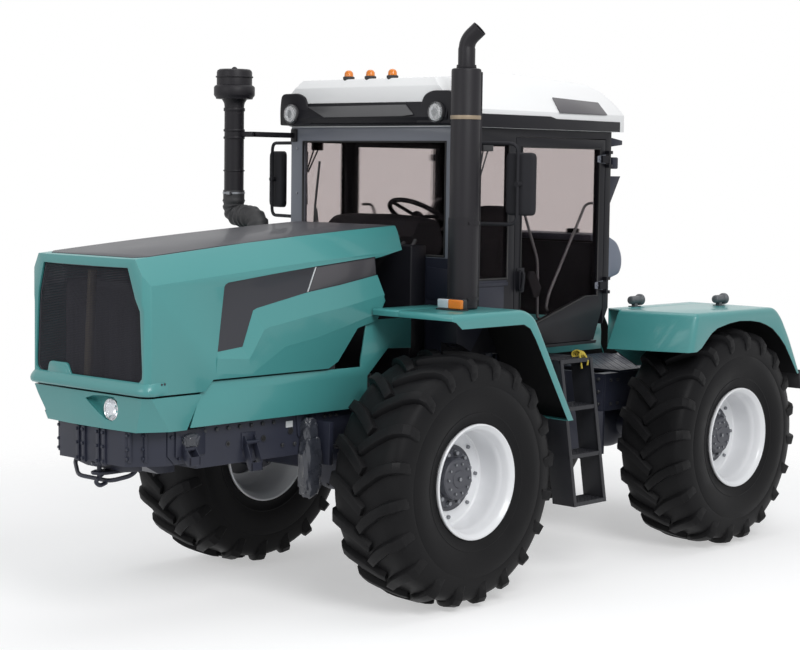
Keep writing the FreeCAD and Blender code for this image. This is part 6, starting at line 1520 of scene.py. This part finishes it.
# ---- front half frame -----------------------------------------------------------------------------
# Two welded channel rails with crossmembers, spring hangers and cab posts, in dark blue-grey chassis
# paint. Rows of bolts hold the brackets to the rails.
RAIL_SIDE = 0.4405       # just off the rails' outer faces
chassis = finish("chassis_paint", (0.02, 0.023, 0.039), 0.44, coat=0.05, size=4.0, change=0.2, dust=0.06,
    dust_top=1.25, grain=300.0, bump=0.15, shine=0.35)
steel_dark = finish("steel_dark", (0.05, 0.052, 0.058), 0.42, metal=0.5, change=0.2, dust=0.15, bump=0.1)
dressed(softened("front_frame", "front_frame_welded", 0.004, 2, 40), chassis, "front", "chassis_paint",
    "front_frame", smooth=35.0)
rows, holes = [], []
for hand in (1, -1):
    face = hand * 0.44
    for x0, x1, z, count in ((1.9, 2.0, 1.165, 3), (2.05, 2.35, 1.02, 4), (2.42, 2.96, 1.165, 7),
            (0.86, 1.1, 1.13, 3), (1.15, 1.33, 1.0, 2)):
        places = [at(x0 + (x1 - x0) * i / (count - 1), face, z) for i in range(count)]
        rows.append(bolt_heads("rail_bolts", (0, hand, 0), 0.024, 0.014, places))
    for x, z, rim_r, hole_r in ((2.5, 1.075, 0.02, 0.014), (2.64, 1.085, 0.028, 0.021),
            (2.78, 1.07, 0.016, 0.01), (2.28, 1.1, 0.022, 0.016)):
        rows.append(bar_of_rings("rail_hole_rim", [at(x, face, z), at(x, hand * 0.4445, z)], rim_r))
        # Each hole is a near-black disc in its rim, painted shade where the hole shows dark.
        holes.append(bar_of_rings("rail_hole", [at(x, hand * y, z) for y in (0.444, 0.4452)], hole_r))
dressed(fused("rail_bolt_rows", rows), steel_dark, "front", "rod_chrome", smooth=30.0)
dressed(fused("rail_holes", holes), soot_and_hole_shade, "front", "chassis_paint")
brackets = []
for hand in (1, -1):
    for x, top, low, wide in ((3.06, 1.11, 0.985, 0.076), (2.58, 1.105, 0.905, 0.086)):
        cheek = [(RAIL_SIDE, top), (0.462, top), (0.524, low + 0.052), (0.524, low), (0.496, low),
            (RAIL_SIDE, top - 0.066)]
        for edge in (x, x + wide - 0.007):
            brackets.append(slab("arm_cheek", cheek, facing(edge, hand), 0.007, 0.001))
        brackets.append(boxed("arm_end", (x, x + wide), (hand * 0.517, hand * 0.524), (low, low + 0.05),
            0.002, 1))
        brackets.append(boxed("arm_foot", (x - 0.012, x + wide + 0.012), (hand * RAIL_SIDE, hand * 0.4475),
            (top - 0.075, top + 0.02), 0.003, 2))
        brackets.append(bar_of_rings("arm_pin", run_of(hand, (x - 0.006, 0.474, top - 0.036),
            (x + wide + 0.006, 0.474, top - 0.036)), 0.012, 16))
    brackets.append(boxed("rail_step", (2.96, 3.18), (hand * RAIL_SIDE, hand * 0.452), (1.03, 1.185),
        0.004, 2))
dressed(fused("rail_brackets", brackets), chassis, "front", "chassis_paint", smooth=35.0)

# ---- nose carrier ---------------------------------------------------------------------------------
# A cast ballast carrier ahead of the rails, with paired steel straps bolted over it, a stepped lower
# plate, a tow jaw with its pin, and a bent guard bar.
dressed(softened("front_weights", "nose_carrier", 0.008, 3, 30), chassis, "front", "chassis_paint",
    "front_weights", smooth=35.0)
parts = []
for y, low in ((-0.365, 1.01), (-0.315, 1.01), (-0.12, 0.975), (-0.065, 0.975), (0.065, 0.975),
        (0.12, 0.975), (0.315, 1.01), (0.365, 1.01)):
    x_face = 3.425 if abs(y) < 0.3 else 3.425 - (abs(y) - 0.3) * 1.46
    line = [(y - 0.014, 1.186), (y + 0.014, 1.186), (y + 0.014, low), (y - 0.014, low)]
    parts.append(slab("carrier_strap", line, lambda a, z, d: at(x_face - 0.01 + d, a, z), 0.022, 0.003))
    parts.append(bolt_heads("strap_bolts", (1, 0, 0), 0.02, 0.012, [at(x_face + 0.012, y, z)
        for z in (1.165, 1.085, low + 0.022)]))
for hand in (1, -1):
    side_line = [(3.06, 1.18), (3.23, 1.18), (3.23, 1.04), (3.18, 0.99), (3.06, 0.99)]
    parts.append(slab("carrier_cheek", side_line, on_side(hand, 0.4305), 0.01, 0.003))
    parts.append(bolt_heads("cheek_bolts", (0, hand, 0), 0.022, 0.013,
        [at(x, hand * RAIL_SIDE, z) for x, z in ((3.085, 1.15), (3.085, 1.02), (3.15, 1.15), (3.205, 1.15),
        (3.15, 1.02))]))
parts.append(slab("carrier_lower_step", [(-0.3, 0.984), (0.3, 0.984), (0.3, 0.95), (0.18, 0.93),
    (-0.18, 0.93), (-0.3, 0.95)], facing(3.3), 0.02, 0.003))
for z in (0.96, 0.905):
    parts.append(slab("tow_jaw", [(3.18, -0.06), (3.36, -0.06), (3.405, -0.035), (3.42, 0.0),
        (3.405, 0.035), (3.36, 0.06), (3.18, 0.06)], lambda x, y, d: at(x, y, z + d), 0.018, 0.004))
parts.append(bar_of_rings("tow_pin", run_of(1, (3.37, 0, 0.88), (3.37, 0, 1.02)), 0.014, 20))
dressed(fused("carrier_fittings", parts), chassis, "front", "chassis_paint", smooth=32.0)
guard = eased(run_of(1, (3.2, -0.4, 0.985), (3.24, -0.4, 0.92), (3.33, -0.25, 0.865), (3.33, 0.05, 0.865),
    (3.25, 0.16, 0.905), (3.2, 0.17, 0.98)), 0.05, 5)
hook = eased(run_of(1, (3.3, 0.0, 0.93), (3.37, 0.0, 0.89), (3.4, 0.0, 0.86), (3.365, 0.0, 0.835),
    (3.32, 0.0, 0.85)), 0.025, 4)
dressed(wires("nose_guard_bar", [guard, hook], 0.013, 2), chassis, "front", "chassis_paint", smooth=60.0)

# ---- wrapped parts beside the rail ----------------------------------------------------------------
# A brake line valve wrapped in crumpled protective sheet, and an upright canister wrapped the same way
# that hangs from the left rail behind a small blank plate.
wrap_sheet = finish("wrap_sheet", (0.034, 0.038, 0.05), 0.34, coat=0.3, size=14.0, change=0.5, dust=0.1,
    grain=60.0, bump=1.0)


def crumpled(name, centre, size, rough, seed):
    """A sack-like body whose surface is pushed in and out at random."""
    alone()
    bpy.ops.mesh.primitive_ico_sphere_add(subdivisions=4, radius=1.0)
    sack = named(name)
    chance = random.Random(seed)
    waves = [(Vector((chance.uniform(-1, 1), chance.uniform(-1, 1), chance.uniform(-1,
        1))).normalized() * chance.uniform(4, 13), chance.uniform(0, 6.28)) for _ in range(9)]
    mesh = edit(sack)
    for corner in mesh.verts:
        p = corner.co.copy()
        push = sum(1 - 2 * abs((math.sin(p.dot(w) + shift) + 1) / 2 - 0.5) * 2
            for w, shift in waves) / len(waves)
        boxy = [math.copysign(abs(c) ** 0.62, c) for c in p]
        corner.co = [c0 + b * s * (1 + rough * push) for c0, b, s in zip(centre, boxy, size)]
    bmesh.update_edit_mesh(sack.data)
    leave()
    return sack


sacks = [crumpled("valve_wrap", at(3.08, 0.462, 1.12), (0.06, 0.024, 0.042), 0.22, 4),
    crumpled("canister_wrap", at(2.15, 0.475, 0.885), (0.074, 0.054, 0.205), 0.16, 9),
    crumpled("canister_cap", at(2.16, 0.47, 1.085), (0.056, 0.046, 0.095), 0.22, 12)]
dressed(fused("wrapped_parts", sacks), wrap_sheet, "front", "black_plastic", smooth=22.0)
rail_plate = [(2.262, 1.122), (2.318, 1.122), (2.318, 1.16), (2.262, 1.16)]
rail_plate_white = finish("rail_plate_white", (0.66, 0.67, 0.68), 0.4, change=0.03, dust=0.05)
dressed(slab("rail_plate", rail_plate, on_side(1, 0.4402), 0.0012), rail_plate_white, "front", "cab_paint")
bracket_line = [(2.08, 1.19), (2.24, 1.19), (2.225, 1.06), (2.095, 1.06)]
dressed(slab("canister_bracket", bracket_line, on_side(1, RAIL_SIDE), 0.012, 0.003), chassis, "front",
    "chassis_paint")

# ---- axles and springs ----------------------------------------------------------------------------
# Cast axle housings with bolted bowls and drums. The front one hangs on two leaf springs of five steel
# leaves, each clamped by a pair of U-bolts.
for node, name, owner in (("front_axle", "front_axle_casting", "front"),
        ("rear_axle", "rear_axle_casting", "rear")):
    dressed(softened(node, name, 0.008, 3, 35), chassis, owner, "chassis_paint", node, smooth=40.0)
leaves = []
for hand in (1, -1):
    for k in range(5):
        half = 0.598 - 0.075 * (4 - k) if k < 4 else 0.598
        low = 0.8955 + 0.0124 * k
        spring_rings = []
        for i in range(15):
            x = -half + 2 * half * i / 14
            z = low + 0.045 * (x / 0.6) ** 2
            spring_rings.append([at(1.43 + x, hand * y, z + d) for y, d in ((0.4855, 0.0), (0.5545, 0.0),
                (0.5545, 0.0112), (0.4855, 0.0112))])
        leaves.append(loft("spring_leaf", spring_rings))
    for x in (1.36, 1.5):
        leaves.append(wires("spring_clip", [eased(run_of(hand, (x, 0.478, 0.87), (x, 0.478, 0.972),
            (x, 0.562, 0.972), (x, 0.562, 0.87)), 0.012, 3)], 0.009, 1))
        leaves.append(bolt_heads("clip_nuts", (0, 0, -1), 0.026, 0.016,
            [at(x, hand * y, 0.876) for y in (0.478, 0.562)]))
    leaves.append(boxed("spring_plate", (1.335, 1.525), (hand * 0.482, hand * 0.558), (0.957, 0.969),
        0.003, 2))
dressed(fused("leaf_springs", leaves), steel_dark, "front", "chassis_paint", "front_springs", smooth=35.0)
for x_axle, owner, name in ((1.43, "front", "front_axle_bolts"), (-1.43, "rear", "rear_axle_bolts")):
    group = []
    for hand in (1, -1):
        ring = ring_of(at(x_axle, 0, 0.785), 0.115, 12, 0.0, 0.13)
        group.append(bolt_heads("drum_bolts", (0, -hand, 0), 0.02, 0.012,
            [Vector((p.x, hand * 0.719, p.z)) for p in ring]))
    face_sign = 1 if x_axle > 0 else -1
    group.append(bolt_heads("bowl_bolts", (face_sign, 0, 0), 0.02, 0.012,
        [at(x_axle + face_sign * 0.124, y, 0.785 + z) for y, z in round_of(0.15, 14)]))
    dressed(fused(name, group), steel_dark, owner, "rod_chrome", smooth=30.0)

# ---- centre hinge and steering cylinders ----------------------------------------------------------
# A heavy casting on a vertical pin with the trunnion for the rear half, and two hydraulic cylinders with
# chromed rods, gland nuts and hose fittings.
dressed(softened("centre_hinge", "hinge_casting", 0.006, 3, 35), chassis, "centre_hinge", "chassis_paint",
    "centre_hinge", smooth=40.0)
hinge_bolts = bolt_heads("hinge_bolts", (0, 0, 1), 0.02, 0.012, [at(x, y, 1.067)
    for x, y in round_of(0.034, 5)])
dressed(hinge_bolts, steel_dark, "centre_hinge", "rod_chrome")
barrel_grey = finish("barrel_grey", (0.03, 0.032, 0.04), 0.4, coat=0.2, change=0.12, dust=0.15)
rod_chrome = finish("rod_chrome", (0.7, 0.7, 0.72), 0.12, metal=1.0, change=0.04, dust=0.05, bump=0.02)
for hand, side_name in ((1, "left"), (-1, "right")):
    node = "steer_barrel_" + side_name
    dressed(softened(node, node + "_built", 0.003, 2, 40), barrel_grey, node, "barrel_paint", node,
        smooth=45.0)
    anchor, lug = at(1.01, hand * 0.33, 0.76), at(0, hand * 0.29, 0.76)
    way = (lug - anchor).normalized()
    reach = (lug - anchor).length
    gland = anchor + way * (0.06 + reach * 0.55 - 0.03)
    fittings = [bar_of_rings("gland_nut", [gland - way * 0.03, gland - way * 0.026, gland + way * 0.004,
        gland + way * 0.008], [0.04, 0.0435, 0.0435, 0.038], 32, (True, True))]
    for share in (0.11, 0.5):
        spot = anchor + way * share + Vector((0, 0, 0.036))
        fittings.append(bar_of_rings("hose_port", [spot, spot + Vector((0, 0, 0.02))], 0.013, 6))
        fittings.append(bar_of_rings("hose_nut", [spot + Vector((0, 0, 0.018)),
            spot + Vector((0, 0, 0.036))], 0.01, 16))
    pipe_run = eased([anchor + way * 0.11 + Vector((0, 0, 0.066)), anchor + way * 0.11
        + Vector((0, 0, 0.082)), anchor + way * 0.3 + Vector((0, 0, 0.052)),
        anchor + way * 0.48 + Vector((0, 0, 0.052)), anchor + way * 0.5 + Vector((0, 0, 0.066))], 0.018, 3)
    fittings.append(wires("cylinder_pipe", [pipe_run], 0.006, 1))
    dressed(fused("steer_fittings_" + side_name, fittings), steel_dark, node, "barrel_paint", smooth=40.0)
    node = "steer_rod_" + side_name
    dressed(softened(node, node + "_built", 0.002, 2, 40), rod_chrome, node, "rod_chrome", node,
        smooth=45.0)

# ---- rear half frame ------------------------------------------------------------------------------
# The roll bearing's tube and cheeks, two channel rails, the deck plate of chequered steel, the hitch
# frame with power take-off and drawbar, and the cast lift housing.
for node, width in (("roll_bearing", 0.006), ("rear_rails", 0.003), ("hitch", 0.004)):
    dressed(softened(node, node + "_built", width, 2, 40), chassis, "rear", "chassis_paint", node,
        smooth=38.0)
dressed(softened("rockshaft_housing", "lift_housing", 0.006, 3, 35), cast_grey, "rear", "chassis_paint",
    "rockshaft_housing", smooth=38.0)
deck_plate = softened("deck", "deck_plate", 0.002, 2, 40)
studs = []
stud = boxed("stud", (-1.004 - 0.022, -1.004 - 0.004), (-0.003, 0.003), (1.2345, 1.2375), 0.0012, 1)
for i in range(24):
    for j in range(21):
        x, y = -0.024 - 0.039 * i, -0.405 + 0.0405 * j
        turn = Matrix.Rotation(math.radians(45 if (i + j) % 2 else -45), 4, "Z")
        middle = at(-1.017, 0, 0)
        studs.append(twin(stud, "stud_%d_%d" % (i, j), Matrix.Translation(middle + Vector((x, y, 0)))
            @ turn @ Matrix.Translation(-middle)))
bpy.data.objects.remove(stud)
dressed(fused("chequered_deck", [deck_plate] + studs), chassis, "rear", "chassis_paint", "deck",
    smooth=30.0)
rear_bolts = []
for hand in (1, -1):
    rear_bolts.append(bolt_heads("rear_rail_bolts", (0, hand, 0), 0.024, 0.014,
        [at(x, hand * 0.44, z) for x in (-0.9, -0.98, -2.1, -2.18) for z in (1.0, 1.17)]))
    rear_bolts.append(bolt_heads("plate_bolts", (1, 0, 0), 0.026, 0.016,
        [at(-0.82, hand * y, z) for y in (0.3, 0.4) for z in (1.0, 1.09, 1.18)]))
rear_bolts.append(bolt_heads("boss_bolts", (-1, 0, 0), 0.018, 0.01,
    [at(-2.2255, y, 0.8 + z) for y, z in round_of(0.115, 8)]))
rear_bolts.append(bolt_heads("housing_bolts", (0, 0, 1), 0.02, 0.012,
    [at(x, y, 1.41) for x in (-2.21, -2.0) for y in (-0.22, -0.07, 0.07, 0.22)]))
dressed(fused("rear_frame_bolts", rear_bolts), steel_dark, "rear", "rod_chrome", smooth=30.0)
splines = wires("pto_spline_teeth", [[at(x, y, 0.8 + z) for x in (-2.228, -2.322)]
    for y, z in round_of(0.0165, 6)], 0.003, 1)
dressed(splines, nut_steel, "rear", "rod_chrome", smooth=50.0)

# ---- three-point linkage --------------------------------------------------------------------------
# Forged steel lift arms and lower links with ball eyes, joined by screwed lift rods with a crank, and a
# top link whose turnbuckle has a bent handle.
for node in ("lift_arms", "lift_rods", "lower_links", "top_link"):
    dressed(softened(node, node + "_built", 0.004, 3, 35), chassis, node, "chassis_paint", node,
        smooth=42.0)
sleeves = []
for hand in (1, -1):
    top = at(-2.47, hand * 0.367, 1.335)
    foot = at(-2.47, hand * 0.367, 0.574)
    sleeves.append(bar_of_rings("rod_sleeve", [top.lerp(foot, 0.42), top.lerp(foot, 0.43),
        top.lerp(foot, 0.64), top.lerp(foot, 0.65)], [0.017, 0.022, 0.022, 0.017], 24))
    sleeves.append(wires("crank", [[top.lerp(foot, 0.4), top.lerp(foot, 0.4) + Vector((-0.11, 0, -0.01))]],
        0.007, 1))
dressed(fused("lift_rod_sleeves", sleeves), steel_dark, "lift_rods", "rod_chrome", smooth=40.0)
link_a, link_b = at(-2.29, 0, 1.335), at(-2.79, 0, 1.205)
nut = [bar_of_rings("turnbuckle", [link_a.lerp(link_b, t) for t in (0.26, 0.28, 0.74, 0.76)],
    [0.024, 0.029, 0.029, 0.024], 28), wires("turnbuckle_handle", [eased([link_a.lerp(link_b, 0.5)
    + Vector((0, 0, 0.026)), link_a.lerp(link_b, 0.5) + Vector((0, 0, 0.06)),
    link_a.lerp(link_b, 0.62) + Vector((0, 0, 0.066))], 0.012, 3)], 0.006, 1)]
dressed(fused("top_link_turnbuckle", nut), steel_dark, "top_link", "rod_chrome", smooth=40.0)

# ---- floor and light ------------------------------------------------------------------------------
# A plain pale studio: a matt floor that keeps the shadow and fades into the backdrop, broad soft lamps
# and an even pale sky.
def seen_share(tree, least=0.0):
    """One for rays from the camera, a mirror or a pane; the least for those that light the tractor."""
    rays = tree.nodes.new("ShaderNodeLightPath")
    most = None
    for label in ("Is Camera Ray", "Is Glossy Ray", "Is Transmission Ray"):
        larger = tree.nodes.new("ShaderNodeMath")
        larger.operation = "MAXIMUM"
        tree.links.new(rays.outputs[label], larger.inputs[0])
        larger.inputs[1].default_value = least
        if most:
            tree.links.new(most, larger.inputs[1])
        most = larger.outputs[0]
    return most


floor_paint = bpy.data.materials.new("studio_floor")
floor_paint.use_nodes = True
tree = floor_paint.node_tree
shader = tree.nodes["Principled BSDF"]
shader.inputs["Base Color"].default_value = (0.66, 0.66, 0.665, 1)
shader.inputs["Roughness"].default_value = 0.9
shader.inputs["Specular IOR Level"].default_value = 0.1
shader.inputs["Emission Color"].default_value = (1, 1, 1, 1)
seen = seen_share(tree, 0.5)
glow = tree.nodes.new("ShaderNodeMath")
glow.operation = "MULTIPLY"
glow.inputs[1].default_value = 0.45
tree.links.new(seen, glow.inputs[0])
tree.links.new(glow.outputs[0], shader.inputs["Emission Strength"])
place = tree.nodes.new("ShaderNodeTexCoord")
reach = tree.nodes.new("ShaderNodeVectorMath")
reach.operation = "LENGTH"
fade = tree.nodes.new("ShaderNodeMapRange")
fade.interpolation_type = "SMOOTHERSTEP"
for label, value in (("From Min", 3.2), ("From Max", 6.6), ("To Min", 1.0), ("To Max", 0.0)):
    fade.inputs[label].default_value = value
tree.links.new(place.outputs["Object"], reach.inputs[0])
tree.links.new(reach.outputs["Value"], fade.inputs["Value"])
tree.links.new(fade.outputs["Result"], shader.inputs["Alpha"])
alone()
bpy.ops.mesh.primitive_circle_add(vertices=96, radius=9.0, fill_type="NGON", location=(0, 0, 0))
floor = bpy.context.object
floor.name = "studio_floor"
floor.data.materials.append(floor_paint)


def soft_lamp(name, place, aim, size, power):
    bpy.ops.object.light_add(type="AREA", location=place)
    lamp = bpy.context.object
    lamp.name = name
    lamp.data.shape, lamp.data.size, lamp.data.energy = "DISK", size, power
    lamp.rotation_euler = (Vector(aim) - Vector(place)).to_track_quat("-Z", "Y").to_euler()


soft_lamp("key_lamp", (5.5, 9.5, 9.0), (0.5, 0.5, 1.2), 6.0, 770.0)
soft_lamp("front_lamp", (12.0, -1.0, 6.0), (2.0, 0, 1.2), 6.0, 205.0)
soft_lamp("top_lamp", (-1.0, 0.0, 11.0), (0, 0, 1.0), 9.0, 290.0)

scene = bpy.context.scene
scene.view_settings.view_transform = "Standard"
sky = scene.world or bpy.data.worlds.new("sky")
scene.world = sky
sky.use_nodes = True
tree = sky.node_tree
backdrop = tree.nodes["Background"]
backdrop.inputs["Color"].default_value = (0.93, 0.95, 0.97, 1)
backdrop.inputs["Strength"].default_value = 0.41
white = tree.nodes.new("ShaderNodeBackground")
white.inputs["Color"].default_value = (1, 1, 1, 1)
blend = tree.nodes.new("ShaderNodeMixShader")
tree.links.new(seen_share(tree), blend.inputs[0])
tree.links.new(backdrop.outputs[0], blend.inputs[1])
tree.links.new(white.outputs[0], blend.inputs[2])
tree.links.new(blend.outputs[0], tree.nodes["World Output"].inputs["Surface"])
